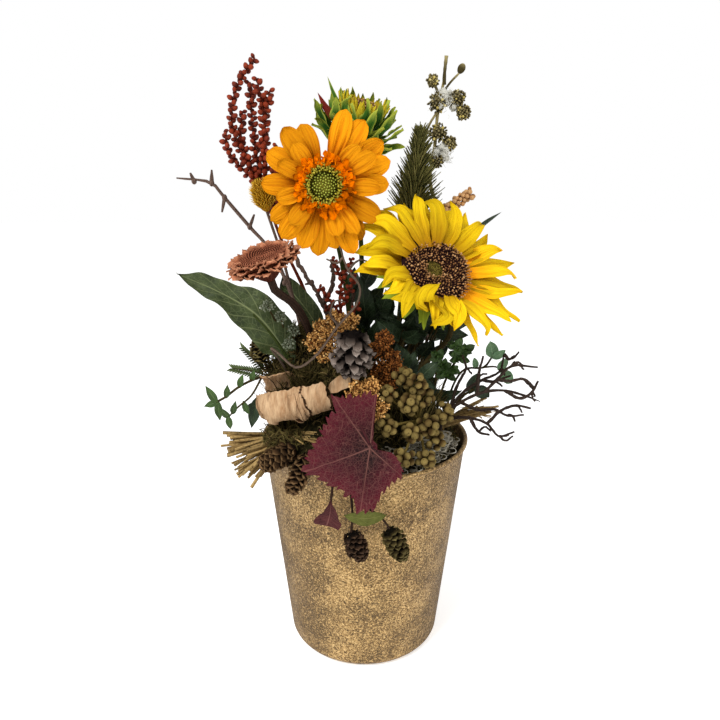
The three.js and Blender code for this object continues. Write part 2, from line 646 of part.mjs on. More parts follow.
function twigBranch() {
  const nubs = [
    [[-83, -13, 344], [-79, -16, 353]],
    [[-99, -18, 365], [-101, -20, 355]],
    [[-107, -20, 375], [-106, -22, 384]],
  ];
  return fuse([stem(SPRAYS.twig), nubs.map(([root, tip]) => flake(at(...root), at(...tip), 3.4, 3.4))]);
}

// ---------------------------------------------------------------- protea

const PROTEA = { centre: at(-67, -64, 328), axis: at(-0.27, -0.22, 0.94).normalize() };

/** The dried protea: a woody cup with two rows of ragged bracts round a dotted dish. */
const proteaHead = () => turned([
  [0, -14], [3.6, -14], [14, -4], [21, -2.4, 6, 3.6], [16, 0.6], [18.6, 3.6, -4.4, 2.4], [11, 2.2],
  [5, 1.4, 1, 1.6], [0, 1.2]], 22);

// ---------------------------------------------------------------- single leaves

function largeLeaf() {
  const leaf = blade({
    rib: points([[-55, -24, 244], [-66, -27, 266], [-80, -29, 284], [-106, -28, 300], [-135, -25, 312]]),
    up: at(0.25, -0.86, 0.45).normalize(),
    half: [2, 10, 15.5, 15, 11, 7, 0],
    lift: (t, u) => 2.6 * u * u + 1.8 * Math.sin(t * 17) * u,
    rows: 6,
  });
  const rib = rod(...points([[-57, -25, 248], [-80, -29.6, 283]]), [1.3, 0.9], 4);
  return fuse([stem(SPRAYS.largeLeaf), leaf, rib]);
}

function backLeaf() {
  const leaf = blade({
    rib: points([[-34, 15, 256], [-46, 16, 276], [-60, 18, 294], [-64, 14, 306]]),
    up: at(0.2, -0.95, 0.2),
    half: [1.5, 9, 8, 0],
    lift: (t, u) => 2 * u * u,
    rows: 3,
  });
  return fuse([stem(SPRAYS.backLeaf), leaf]);
}

function narrowLeaf() {
  const leaf = blade({
    rib: points([[80, 33.4, 326], [86, 34, 334], [95, 34, 342], [107, 34, 350]]),
    up: at(0.1, -0.95, 0.3),
    half: [1, 3.2, 2.6, 0],
    lift: (t, u) => 0.8 * u * u,
    rows: 3,
  });
  return fuse([stem(SPRAYS.narrow), leaf]);
}

/**
 * The lobed leaf that drapes over the rim. Its outline is one half of a fan from where the veins
 * meet: each lobe is [angle in degrees, reach], with teeth and a valley before the next one.
 */
const LOBED = {
  junction: at(3, -88.6, 205),
  lobes: [[152, 41], [205, 52], [258, 49], [326, 34], [28, 24]],
  valley: 0.52,
};

function lobedOutline() {
  const outline = [];
  LOBED.lobes.forEach(([angle, reach], i) => {
    const [next, nextReach] = LOBED.lobes[(i + 1) % LOBED.lobes.length];
    const gap = (next - angle + 360) % 360;
    const steps = [[0, reach], [0.13, reach * 0.74], [0.2, reach * 0.8], [0.5, LOBED.valley * reach],
      [0.8, nextReach * 0.8], [0.87, nextReach * 0.74]];
    steps.forEach(([share, distance]) => outline.push([angle + gap * share, distance]));
  });
  return outline.map(([angle, reach]) => {
    const turn = THREE.MathUtils.degToRad(angle);
    return [Math.cos(turn) * reach, Math.sin(turn) * reach];
  });
}

/** How far the leaf's sheet stands back from its middle: it leans over the rim and bows a little. */
const drape = (x, z) => (z > 0 ? 0.28 * z : 0.045 * z) + 0.0024 * x * x;

function maroonLeaf() {
  const outline = lobedOutline();
  const count = outline.length;
  const spots = [];
  const place = (x, z, depth) => spots.push(
    LOBED.junction.x + x, LOBED.junction.y + drape(x, z) + depth, LOBED.junction.z + z);
  for (const depth of [-BLADE / 2, BLADE / 2]) {
    place(0, 0, depth);
    outline.forEach(([x, z], i) => place(x, z, depth + (i % 6 === 3 ? 2.4 : 0)));
  }
  const faces = [];
  const lower = count + 1;
  for (let i = 0; i < count; i += 1) {
    const [a, b] = [1 + i, 1 + ((i + 1) % count)];
    faces.push(0, a, b, lower, lower + b, lower + a, a, lower + a, lower + b, a, lower + b, b);
  }
  const sheet = new THREE.BufferGeometry();
  sheet.setAttribute('position', new THREE.Float32BufferAttribute(spots, 3));
  sheet.setIndex(faces);
  return fuse([stem(SPRAYS.maroon), sheet]);
}

// ---------------------------------------------------------------- pine, cotton and spike

function pineSprig() {
  const draw = seeded(41);
  const [low, high] = SPRAYS.pine.path.slice(2);
  const heading = high.clone().sub(low).normalize();
  const [first, second] = across(heading);
  const count = 36;
  const needles = Array.from({ length: count }, (_, i) => {
    const t = i / (count - 1);
    const turn = i * 2.4;
    const out = first.clone().multiplyScalar(Math.cos(turn)).addScaledVector(second, Math.sin(turn));
    const length = mix(19, 9, t) * draw(0.9, 1.1);
    const root = low.clone().lerp(high, mix(0.02, 0.95, t));
    const tip = root.clone().addScaledVector(out, length * 0.7).addScaledVector(heading, length * 0.8);
    return spine(root, tip, 1.2);
  });
  return fuse([stem(SPRAYS.pine), needles]);
}

const POD_CLUSTERS = [
  { centre: at(56, 54, 431), size: 6 }, { centre: at(71, 55, 434), size: 5.6 },
  { centre: at(57, 54, 409), size: 5.8 },
];
const FLUFFS = [
  { name: 'cotton_fluff_a', centre: at(63.5, 53, 442), sizes: [5.5, 4.6, 4.6] },
  { name: 'cotton_fluff_b', centre: at(60, 53, 394), sizes: [6.5, 5, 6] },
];

function cottonBranch() {
  const draw = seeded(43);
  const pods = POD_CLUSTERS.map(({ centre, size }) => knot(centre, size, draw));
  const link = rod(...points([[58, 55, 428], [71, 55, 434]]), [1.3, 1.1], 4);
  const buds = [
    flake(at(60, 55, 445), at(62, 55, 465), 5, 5, TOWARDS_VIEWER, 0.62),
    flake(at(59, 55, 442), at(73, 55, 458), 4.4, 4.4, TOWARDS_VIEWER, 0.6),
  ];
  return fuse([stem(SPRAYS.cotton), pods, link, buds]);
}

/** A tuft of cotton that lies against the branch, hollowed to fit round it. */
function fluff({ centre, sizes }, seed) {
  const draw = seeded(seed);
  const ball = knot(at(0, 0, 0), 1, draw).scale(...sizes).translate(...centre.toArray());
  const room = fuse([
    stem(SPRAYS.cotton, FIT),
    POD_CLUSTERS.map((pod) => bead(pod.centre, Array(3).fill(pod.size * 1.3 + FIT))),
    flake(at(60, 55, 445), at(62, 55, 465), 6, 6, TOWARDS_VIEWER, 0.62),
    flake(at(59, 55, 442), at(73, 55, 458), 5.6, 5.6, TOWARDS_VIEWER, 0.6),
    rod(at(58, 55, 428), at(71, 55, 434), [1.9, 1.9], 4),
  ]);
  return solidOf(ball).subtract(room);
}

function tanSpike() {
  const draw = seeded(45);
  const path = points([[60, 40, 345], [66, 40, 352], [74, 40, 358], [83, 40, 364]]);
  return fuse([stem(SPRAYS.spike), beadedBranch(path, [1.6, 1], 8, 2.8, draw)]);
}

// ---------------------------------------------------------------- filler flowers

/** Knobbly tufts held on short stalks that leave the last stretch of the main stem in turn. */
function tuftedSpray(main, places, size, seed) {
  const draw = seeded(seed);
  const [low, high] = main.path.slice(-2);
  return fuse([
    stem(main),
    points(places).map((centre, i) => [
      rod(low.clone().lerp(high, mix(0.98, 0.5, i / places.length)), centre, [0.9, 0.8], 3),
      knot(centre, size * draw(0.85, 1.1), draw)]),
  ]);
}

const yarrowLeft = () => tuftedSpray(SPRAYS.yarrowLeft, [
  [-24, -38, 267], [-36, -40, 266], [-22, -37, 281], [-12, -35, 279]], 5.4, 51);

const yarrowRight = () => tuftedSpray(SPRAYS.yarrowRight, [
  [11, -38, 260], [19, -40, 253], [10, -45, 245], [18, -45, 240]], 5, 52);

const yarrowLow = () => tuftedSpray(SPRAYS.yarrowLow, [
  [-5, -63, 239], [4, -63, 240], [3, -67, 231]], 4.4, 53);

const statice = () => tuftedSpray(SPRAYS.statice, [
  [-61, -11, 282], [-72, -12, 272], [-52, -10, 272], [-77, -12, 260]], 4.4, 55);

function featheryGreens() {
  const top = SPRAYS.feathery.path[2];
  const fronds = [[-91, -24, 256], [-99, -26, 241]];
  return fuse([stem(SPRAYS.feathery), points(fronds).map((tip) => [
    rod(top, tip, [0.9, 0.7], 3),
    [0.4, 0.75].map((share) => [-1, 1].map((side) => {
      const root = top.clone().lerp(tip, share);
      const reach = tip.clone().sub(top).normalize().multiplyScalar(6).add(at(0, side * 4, side * 5));
      return flake(root, root.clone().add(reach), 3, 1, TOWARDS_VIEWER);
    })),
  ])]);
}

// ---------------------------------------------------------------- cones

/**
 * A cone from its stalk end `base` to its `tip`: rows of open scales, each row a shelf whose edge is
 * notched into scales that stand between those of the next row.
 */
function scaledCone({ base, tip, girth, rows, scales, openness }) {
  const axis = tip.clone().sub(base);
  const length = axis.length();
  const profile = [[0, 0], [girth * 0.3, 0]];
  for (let i = 0; i < rows; i += 1) {
    const t = (i + 0.35) / rows;
    const reach = girth * along([0.85, 1, 0.9, 0.55], t);
    const side = i % 2 ? -1 : 1;
    const rise = openness * reach * 0.5;
    profile.push([reach * 0.66, length * t + rise, side * reach * 0.34, rise]);
    profile.push([reach * 0.46, length * (t + 0.45 / rows)]);
  }
  return turned([...profile, [0, length]], scales * 2, base, axis.clone().normalize());
}

/** Cones by name: shape, the stem that is one piece with it if it has one, and finish. */
const smallCone = (base, tip, girth, stalk) => (
  { stalk, look: CONE_BROWN, spec: { base, tip, girth, rows: 3, scales: 4, openness: 0.4 } });

const CONES = {
  grey_cone: {
    stalk: SPRAYS.greyCone,
    look: CONE_GREY,
    spec: { base: at(-9.2, -57.5, 278), tip: at(-9, -59, 246), girth: 17, rows: 5, scales: 7, openness: 0.2 },
  },
  left_cone: smallCone(at(-76, -24, 245), at(-80, -26, 263), 7.4, SPRAYS.leftCone),
  mossy_cone: smallCone(at(-51, -55, 190.2), at(-75, -67, 180.2), 8),
  rim_cone: smallCone(at(-40, -64, 188.5), at(-52, -88, 170.5), 7),
  alder_cone_a: smallCone(at(-10, -88, 139), at(-2, -91, 119), 9),
  alder_cone_b: smallCone(at(17, -88.5, 142), at(28, -89, 118), 9),
};

// ---------------------------------------------------------------- bark, straw, lichen and raffia

/** A curl of thin bark: an open spiral drawn out along the roll, with torn ends. */
const BARK = { left: at(-73, -44, 219), right: at(-26, -46, 230), radius: 14, thick: 1.6, turns: 1.35 };

function barkSpiral(grow) {
  const steps = 14;
  const edge = (offset) => Array.from({ length: steps + 1 }, (_, i) => {
    const share = i / steps;
    const turn = -2.2 + share * BARK.turns * 2 * Math.PI;
    const radius = BARK.radius * mix(1, 0.62, share) + offset;
    return new THREE.Vector2(Math.cos(turn) * radius, Math.sin(turn) * radius);
  });
  return new THREE.Shape([...edge(grow), ...edge(-BARK.thick - grow).reverse()]);
}

function barkRoll() {
  const axis = BARK.right.clone().sub(BARK.left);
  const length = axis.length();
  const roll = new THREE.ExtrudeGeometry(barkSpiral(0), { depth: length, steps: 3, bevelEnabled: false });
  const spots = roll.getAttribute('position');
  for (let i = 0; i < spots.count; i += 1) {
    const [x, y, z] = [spots.getX(i), spots.getY(i), spots.getZ(i)];
    const torn = Math.sin(5 * Math.atan2(y, x)) * 2.4 * (z < 1 || z > length - 1 ? 1 : 0);
    const swell = 1 + 0.06 * Math.sin((z / length) * Math.PI * 2);
    spots.setXYZ(i, x * swell, y * swell, z + torn);
  }
  return roll.applyMatrix4(facing(axis).setPosition(BARK.left));
}

function barkSeat() {
  const axis = BARK.right.clone().sub(BARK.left);
  const reach = BARK.radius * 1.07 + FIT;
  const [start, end] = [-0.08, 1.08].map((share) => BARK.left.clone().addScaledVector(axis, share));
  return rod(start, end, reach, 12);
}

/** The bound middle of the straw. */
const STRAW_TIE = { centre: at(-58, -44, 193), radii: [10, 8, 4.6] };

function strawBundle() {
  const tips = [
    [-82, -68, 164], [-90, -62, 164], [-98, -54, 170], [-104, -46, 178],
    [-88, -66, 172], [-98, -58, 180], [-107, -48, 186], [-108, -40, 190],
    [-96, -60, 186], [-107, -52, 193], [-113, -44, 197]];
  const straws = points(tips).map((tip, i) => {
    const spread = at(-3, (i % 4) * 3 - 4.5, Math.floor(i / 4) * 2.4 - 2);
    return rod(STRAW_TIE.centre.clone().add(spread), tip, [1.1, 0.9], 3);
  });
  return fuse([bead(STRAW_TIE.centre, STRAW_TIE.radii), straws]);
}

/** The lichen's mat along the front right of the rim, or its seat in the moss. */
function lichenMat(play = 0) {
  const path = Array.from({ length: 5 }, (_, i) => {
    const turn = mix(-0.96, -0.46, i / 4);
    const [x, y] = [Math.cos(turn) * 68, Math.sin(turn) * 68];
    return at(x, y, mossHeight(x, y) + 1.5);
  });
  return tube(path, [2.6 + play, 3.4 + play, 3.4 + play, 3 + play], 5);
}

function lichen() {
  const draw = seeded(73);
  const curls = Array.from({ length: 4 }, (_, i) => {
    const turn = mix(-0.86, -0.5, i / 3);
    const [x, y] = [Math.cos(turn) * 69, Math.sin(turn) * 69];
    const base = at(x, y, mossHeight(x, y) + 2.4);
    const swing = draw(0, 6.3);
    const circle = (angle) => at(Math.cos(angle) * 3.4, Math.sin(angle) * 3, 0);
    const loop = [0, 1.5, 3, 4.4].map((step) => (
      base.clone().add(circle(step + swing)).sub(circle(swing)).add(at(0, 0, step * 1.5))));
    return tube(loop, [1.3, 0.8], 3);
  });
  return fuse([lichenMat(), curls]);
}

function raffia() {
  const strand = rod(SPRAYS.raffia.path[1], at(94, -17, 214), [1.3, 0.9], 4);
  return fuse([stem(SPRAYS.raffia), strand]);
}

// ---------------------------------------------------------------- berries

/** The berry clusters: where each one's middle is. */
const CLUSTERS = [
  [28, -50, 242], [15, -59, 232], [42, -53, 229], [57, -49, 215], [16, -69, 213], [33, -64, 206],
  [50, -57, 198], [27, -72, 191], [43, -67, 188]];

/** A cluster: an eight-sided core with a berry standing on each of its faces that look outwards. */
function berryCluster(centre, outwards, draw) {
  const core = facing(outwards).multiply(new THREE.Matrix4().makeRotationZ(draw(0, 1.5)));
  const faces = [[1, 1, 1], [-1, 1, 1], [-1, -1, 1], [1, -1, 1], [1, 1, -1]];
  const berries = faces.map((face) => {
    const out = at(...face).normalize().transformDirection(core);
    return berry(centre.clone().addScaledVector(out, 2.3), out, draw(2.5, 2.8));
  });
  const middle = new THREE.OctahedronGeometry(5).applyMatrix4(core).translate(...centre.toArray());
  return [middle, berries];
}

function berryBunch() {
  const draw = seeded(81);
  const top = SPRAYS.berries.path[2];
  const heart = at(34, -34, 208);
  return fuse([stem(SPRAYS.berries), points(CLUSTERS).map((centre) => [
    rod(top, centre, [1.3, 1.1], 3),
    berryCluster(centre, centre.clone().sub(heart).normalize(), draw),
  ])]);
}

// ---------------------------------------------------------------- leafy sprigs

/** An oval leaf of a sprig: a folded blade, or a plain leaflet where it is small. */
function sprigLeaf(root, tip, half, up = TOWARDS_VIEWER) {
  const sunk = root.clone().lerp(tip, -1.3 / root.distanceTo(tip));
  if (half < 4) return flake(sunk, tip, half * 2.1, 1.3, up, 0.55);
  const middle = root.clone().lerp(tip, 0.5).addScaledVector(up, 0.12 * root.distanceTo(tip));
  return blade({
    rib: [sunk, middle, tip],
    up,
    half: [0.8, half, half * 0.85, 0],
    lift: (t, u) => 0.3 * half * Math.min(t, 0.5) * u * u,
    rows: 3,
    columns: half > 6 ? 2 : 1,
  });
}

/** A sprig: its main stem, side stalks and leaves, each leaf given as [root, tip, half width]. */
function sprig(main, stalks, leaves, up) {
  return fuse([
    stem(main),
    stalks.map((path) => tube(points(path), [0.9, 0.75], 3)),
    leaves.map(([root, tip, half]) => sprigLeaf(at(...root), at(...tip), half, up)),
  ]);
}

const tendrilLeft = () => sprig(SPRAYS.tendrilLeft, [
  [[-76, -34, 237], [-83, -44, 226], [-92, -48, 219], [-100, -50, 211]],
], [
  [[-108, -46, 222], [-115, -47, 235], 3], [[-107, -46, 222.5], [-117, -47, 219], 2.6],
  [[-107, -46, 222.4], [-106, -47, 208], 3], [[-99, -50, 212], [-104, -52, 220], 2.6],
  [[-96, -49.2, 215], [-93, -51, 225], 2.4], [[-99.5, -50, 211.7], [-98, -51, 203], 2.6],
  [[-91, -43, 233], [-88, -44, 243], 2.4],
]);

const tendrilRight = () => sprig(SPRAYS.tendrilRight, [
  [[91, -8, 236], [101, -10, 237], [106, -12, 234]],
], [
  [[98, -10, 245.6], [94, -11, 256], 3.4], [[98, -10, 245], [106, -11, 250], 2.8],
  [[103, -10.8, 236], [108, -12, 244], 2.6], [[105.6, -12, 234.2], [113, -13, 230], 3.2],
]);

const boxwood = () => sprig(SPRAYS.boxwood, [
  [[64, -10.8, 230], [60, -12.9, 238], [56, -15, 246]], [[70, -13, 243], [68, -16, 256]],
], [
  [[56, -15, 246], [50, -17, 252], 3], [[56, -15, 245.6], [58, -17, 254], 3],
  [[60, -12.8, 237.6], [52, -16, 239], 2.8], [[68, -16, 255], [62, -17, 259], 3],
  [[68, -16, 255.6], [73, -17, 262], 3], [[76, -14, 252], [83, -15, 256], 3],
  [[72.2, -13.2, 246], [80, -15, 243], 2.8],
]);

const darkSprig = () => sprig(SPRAYS.darkSprig, [
  [[30.4, -23.5, 222], [38, -32, 230], [41, -34, 238]],
], [
  [[29, -31, 243], [23, -33, 263], 7], [[30, -26.4, 230], [37, -25, 255], 6.5],
  [[41, -34, 237], [53, -36, 250], 5.6], [[39, -32.6, 233], [52, -38, 230], 5],
]);

const ivyRight = () => sprig(SPRAYS.ivyRight, [], [
  [[84, -22, 224], [95, -22, 217], 5.4], [[80, -18.5, 219.5], [87, -20, 237], 5]]);

const leafLeft = () => sprig(SPRAYS.leafLeft, [], [
  [[-79, -36, 222], [-84, -42, 200], 4.6], [[-76, -33, 216.8], [-91, -36, 211], 3.8]]);

const backGreens = () => sprig(SPRAYS.backGreens, [], [
  [[-12, 66, 275], [-8, 70, 300], 7], [[-11, 62.7, 258], [12, 68, 273], 6.8],
  [[-10.6, 61.5, 250], [-34, 68, 264], 6.8], [[-9.6, 58.5, 230], [16, 65, 240], 6.8],
  [[-9.3, 57, 221], [-34, 64, 231], 6.8]], at(0, 1, 0));

const backGreensRight = () => sprig(SPRAYS.backRight, [], [
  [[58, 70, 249], [64, 74, 273], 6.8], [[55, 67.6, 238], [77, 70, 247], 6.4],
  [[52.5, 65.6, 226], [34, 74, 239], 6.4]], at(0, 1, 0));

/** A small leaf hung over the rim, with its stalk rooted in the moss. */
const smallMaroonLeaf = () => fuse([
  stem(SPRAYS.smallMaroon),
  blade({
    rib: points([[-24, -91, 166], [-24.4, -92.6, 157], [-25, -93, 145]]),
    up: TOWARDS_VIEWER,
    half: [1, 8.5, 9, 0],
    lift: (t, u) => 1.2 * u * u,
    rows: 3,
  }),
]);

const smallGreenLeaf = () => fuse([
  stem(SPRAYS.smallGreen),
  blade({
    rib: points([[-15, -90.6, 155], [0, -91, 152.6], [15, -90.6, 155.4]]),
    up: TOWARDS_VIEWER,
    half: [0, 4, 5.6, 4, 0],
    lift: (t, u) => 0.6 * u * u,
  }),
]);

function alderSprig() {
  const fork = points([[-10, -85, 167], [2, -86.4, 158], [12, -87.4, 150], [17, -88.4, 143]]);
  return fuse([stem(SPRAYS.alder), tube(fork, [0.9, 0.8], 4)]);
}

// ---------------------------------------------------------------- twigs and vine

function curlyTwigs() {
  const side = [
    [[104, -33, 226], [115, -36, 221], [123, -37, 226], [127, -37, 235]],
    [[60, -24, 201], [74, -26, 222], [88, -26, 232], [101, -24, 238], [104, -22, 251]],
    [[89, -33, 225], [98, -31, 234], [108, -30, 244], [128, -29, 243]],
    [[60, -24, 200], [78, -40, 207], [90, -44, 204], [99, -46, 195], [110, -47, 199]],
    [[90, -44, 204], [99, -44, 214], [110, -43, 218], [122, -41, 215]],
    [[84, -32.4, 222], [84, -31, 236], [87, -30, 252]],
  ];
  return fuse([stem(SPRAYS.curly), side.map((path) => tube(points(path), [1.2, 0.8], 3))]);
}

function grapevine() {
  const side = [
    [[-15, -37, 326], [-20, -37, 322], [-27, -38, 325]],
    [[-12, -37, 317], [-4, -37, 324], [4, -36, 322]],
  ];
  return fuse([stem(SPRAYS.grapevine), side.map((path) => tube(points(path), [0.85, 0.75], 3))]);
}

// ---------------------------------------------------------------- assembly

/** The plain sockets that lying pieces rest in: their outer shapes, a little enlarged. */
function sockets() {
  const lying = Object.values(CONES).filter(({ stalk }) => !stalk).map(({ spec: { base, tip, girth } }) => (
    rod(base, tip, [girth * 1.14 + FIT, girth * 0.84 + FIT], 8)));
  const tie = bead(STRAW_TIE.centre, STRAW_TIE.radii.map((radius) => radius + FIT * 1.5));
  return fuse([barkSeat(), lying, tie, lichenMat(FIT)]);
}

const holes = fuse([...Object.values(STEMS), ...Object.values(SPRAYS)].map((one) => stem(one, FIT)));

const parts = [
  meshOf('bucket', bucket(), GILT),
  meshOf('foam_block', foamBlock(holes), FOAM),
  meshOf('moss_bed', mossBed(holes.add(sockets())), MOSS),
  head(ORANGE.centre, ORANGE.axis, [
    meshOf('orange_bloom_petals', orangePetals(), ORANGE_PETAL),
    meshOf('orange_bloom_frill', orangeFrill(), DEEP_ORANGE),
    meshOf('orange_bloom_disc', greenDisc(), LIME),
  ]),
  meshOf('orange_bloom_stem', cuppedStem(STEMS.orange, ORANGE,
    { top: -3.4, radius: 9, reach: 17, neck: 3, depth: 8, sepals: 7 }), STEM_GREEN),
  head(SUNFLOWER.centre, SUNFLOWER.axis, [
    meshOf('sunflower_petals', sunflowerPetals(), YELLOW_PETAL),
    meshOf('sunflower_disc', sunflowerDisc(), SEED_BROWN),
  ]),
  meshOf('sunflower_stem', cuppedStem(STEMS.sunflower, SUNFLOWER,
    { top: -3.4, radius: 20, reach: 36, neck: 4, depth: 9, sepals: 9 }), STEM_GREEN),
  head(BUD.centre, BUD.axis, [
    meshOf('bud_bracts', budBracts(), BRACT_GREEN),
    meshOf('bud_petals', budPetals(), YELLOW_PETAL),
    meshOf('bud_disc', budDisc(), SEED_BROWN),
  ]),
  meshOf('bud_stem', stem(STEMS.bud), STEM_GREEN),
  meshOf('red_spray_tall', redSprayTall(), RUST_RED),
  meshOf('red_spray_low', redSprayLow(), RUST_RED),
  meshOf('bristle_head', bristleHead(), MUSTARD),
  meshOf('bristle_stem', stem(STEMS.bristle), TWIG_BROWN),
  meshOf('twig_branch', twigBranch(), TWIG_BROWN),
  head(PROTEA.centre, PROTEA.axis, [meshOf('protea_head', proteaHead(), COPPER)]),
  meshOf('protea_stem', stem(STEMS.protea), DARK_STEM),
  meshOf('large_leaf', largeLeaf(), OLIVE_LEAF),
  meshOf('back_leaf', backLeaf(), OLIVE_LEAF),
  meshOf('narrow_leaf', narrowLeaf(), DARK_LEAF),
  meshOf('maroon_leaf', maroonLeaf(), MAROON),
  meshOf('pine_sprig', pineSprig(), PINE_GREEN),
  meshOf('cotton_branch', cottonBranch(), GOLDEN_OLIVE),
  ...FLUFFS.map((one, i) => meshOf(one.name, fluff(one, 47 + i), FLUFF_WHITE)),
  meshOf('tan_spike', tanSpike(), TAN),
  meshOf('statice', statice(), SILVER_GREY),
  meshOf('feathery_greens', featheryGreens(), FEATHER_GREEN),
  meshOf('yarrow_left', yarrowLeft(), YARROW_GOLD),
  meshOf('yarrow_right', yarrowRight(), YARROW_GOLD),
  meshOf('yarrow_low', yarrowLow(), YARROW_GOLD),
  ...Object.entries(CONES).map(([name, { stalk, spec, look }]) => (
    meshOf(name, fuse([stalk ? stem(stalk) : [], scaledCone(spec)]), look))),
  meshOf('bark_roll', barkRoll(), BARK_TAN),
  meshOf('straw_bundle', strawBundle(), STRAW),
  meshOf('lichen', lichen(), LICHEN_GREY),
  meshOf('raffia', raffia(), STRAW),
  meshOf('berry_bunch', berryBunch(), BERRY_OLIVE),
  meshOf('tendril_left', tendrilLeft(), FRESH_LEAF),
  meshOf('tendril_right', tendrilRight(), PALE_LEAF),
  meshOf('boxwood_sprig', boxwood(), FRESH_LEAF),
  meshOf('dark_leaf_sprig', darkSprig(), DARK_LEAF),
  meshOf('ivy_right', ivyRight(), DARK_LEAF),
  meshOf('leaf_left', leafLeft(), DARK_LEAF),
  meshOf('back_greens', backGreens(), DARK_LEAF),
  meshOf('back_greens_right', backGreensRight(), DARK_LEAF),
  meshOf('small_maroon_leaf', smallMaroonLeaf(), MAROON),
  meshOf('small_green_leaf', smallGreenLeaf(), FRESH_LEAF),
  meshOf('alder_sprig', alderSprig(), DARK_STEM),
  meshOf('curly_twigs', curlyTwigs(), CURL_BROWN),
  meshOf('grapevine', grapevine(), VINE_BROWN),
];

const arrangement = new THREE.Group();
arrangement.add(...parts);

export default arrangement;
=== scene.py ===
"""Dried and silk flowers in a gilded bucket: the finished surfaces, in the frame of the part.

The tables of stems, heads and leaves are in millimetres, as the part's own are, and a mesh is
turned to metres when it is cast. +Z is up and the front looks along -Y.
"""

import logging
import math
from collections.abc import Callable, Sequence
from dataclasses import dataclass
from enum import Enum
from functools import cache

import bpy
import numpy as np
from mathutils import Matrix


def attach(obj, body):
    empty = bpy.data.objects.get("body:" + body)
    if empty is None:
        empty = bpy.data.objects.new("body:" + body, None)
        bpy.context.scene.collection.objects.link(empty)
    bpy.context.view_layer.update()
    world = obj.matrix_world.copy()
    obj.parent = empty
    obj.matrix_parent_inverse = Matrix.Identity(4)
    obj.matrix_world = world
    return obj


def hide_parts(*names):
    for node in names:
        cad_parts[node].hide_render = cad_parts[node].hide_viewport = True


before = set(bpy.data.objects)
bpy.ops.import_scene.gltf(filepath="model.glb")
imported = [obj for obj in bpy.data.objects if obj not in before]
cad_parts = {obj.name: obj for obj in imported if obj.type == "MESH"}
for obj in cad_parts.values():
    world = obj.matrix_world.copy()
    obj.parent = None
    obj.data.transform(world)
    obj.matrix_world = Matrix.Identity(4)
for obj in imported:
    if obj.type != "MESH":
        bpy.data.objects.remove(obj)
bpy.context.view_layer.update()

LOG = logging.getLogger("arrangement")
MM = 0.001
GOLDEN = math.pi * (3 - math.sqrt(5))
UP = (0.0, 0.0, 1.0)
FRONT = (0.0, -1.0, 0.0)
BACK = (0.0, 1.0, 0.0)

Rows = Sequence[Sequence[float]]
Shape = Callable[[np.ndarray, np.ndarray], np.ndarray]
Outline = Callable[[np.ndarray], np.ndarray]
RGB = tuple[int, int, int]
Spot = tuple[float, float, float]
Place = np.ndarray | None
Tint = float | np.ndarray | None
Socket = bpy.types.NodeSocket
Layers = tuple[object, object]


# ---------------------------------------------------------------- vectors and routes


def unit(vector: np.ndarray) -> np.ndarray:
    """A vector, or each row of an array of them, at length one."""
    return vector / np.maximum(np.linalg.norm(vector, axis=-1, keepdims=True), 1e-9)


def smooth(points: Rows, steps: int) -> np.ndarray:
    """A smooth route through points.

    Args:
        points: The points that the route passes through.
        steps: How many even steps to cut it into.

    Returns:
        steps + 1 places along the route.
    """
    knots = np.asarray(points, float)
    share = np.linspace(0, 1, steps + 1)
    if len(knots) == 2:
        return knots[0] + (knots[1] - knots[0]) * share[:, None]
    padded = np.vstack([2 * knots[0] - knots[1], knots, 2 * knots[-1] - knots[-2]])
    dense = []
    for a, b, c, d in zip(padded, padded[1:], padded[2:], padded[3:]):
        t0, t1, t2, t3 = np.cumsum([0.0] + [
            max(np.linalg.norm(q - p), 1e-6) ** 0.5 for p, q in ((a, b), (b, c), (c, d))])
        t = np.linspace(t1, t2, 12, endpoint=False)[:, None]
        ab = a * (t1 - t) / (t1 - t0) + b * (t - t0) / (t1 - t0)
        bc = b * (t2 - t) / (t2 - t1) + c * (t - t1) / (t2 - t1)
        cd = c * (t3 - t) / (t3 - t2) + d * (t - t2) / (t3 - t2)
        abc = ab * (t2 - t) / (t2 - t0) + bc * (t - t0) / (t2 - t0)
        bcd = bc * (t3 - t) / (t3 - t1) + cd * (t - t1) / (t3 - t1)
        dense.append(abc * (t2 - t) / (t2 - t1) + bcd * (t - t1) / (t2 - t1))
    route = np.vstack([*dense, knots[-1:]])
    length = np.concatenate([[0], np.cumsum(np.linalg.norm(np.diff(route, axis=0), axis=1))])
    even = share * length[-1]
    return np.stack([np.interp(even, length, route[:, k]) for k in range(3)], axis=1)


def headings(route: np.ndarray) -> np.ndarray:
    """The direction of a route at each of its places."""
    return unit(np.gradient(route, axis=0))


def carried(route: np.ndarray) -> tuple[np.ndarray, np.ndarray]:
    """Two directions square to a route, carried along it without twist.

    Args:
        route: The spots of the route.

    Returns:
        The two directions at each spot.
    """
    ahead = headings(route)
    hint = np.array([1.0, 0, 0]) if abs(ahead[0][2]) > 0.9 else UP
    side = [unit(np.cross(hint, ahead[0]))]
    for heading in ahead[1:]:
        side.append(unit(side[-1] - heading * np.dot(side[-1], heading)))
    first = np.array(side)
    return first, np.cross(ahead, first)


def facing(axis: Sequence[float], centre: Sequence[float] = (0, 0, 0), turn: float = 0.0) -> np.ndarray:
    """The place of a head whose own +Z looks along an axis.

    Args:
        axis: Where the head looks.
        centre: Its middle.
        turn: How far it is turned about its own +Z.

    Returns:
        A 4 by 4 matrix.
    """
    z = unit(np.asarray(axis, float))
    x = unit(np.cross(BACK, z) if abs(z[2]) > 0.97 else np.cross(UP, z))
    spin = np.eye(4)
    spin[:2, :2] = [[math.cos(turn), -math.sin(turn)], [math.sin(turn), math.cos(turn)]]
    place = np.eye(4)
    place[:3, :3] = np.stack([x, np.cross(z, x), z], axis=1)
    place[:3, 3] = centre
    return place @ spin


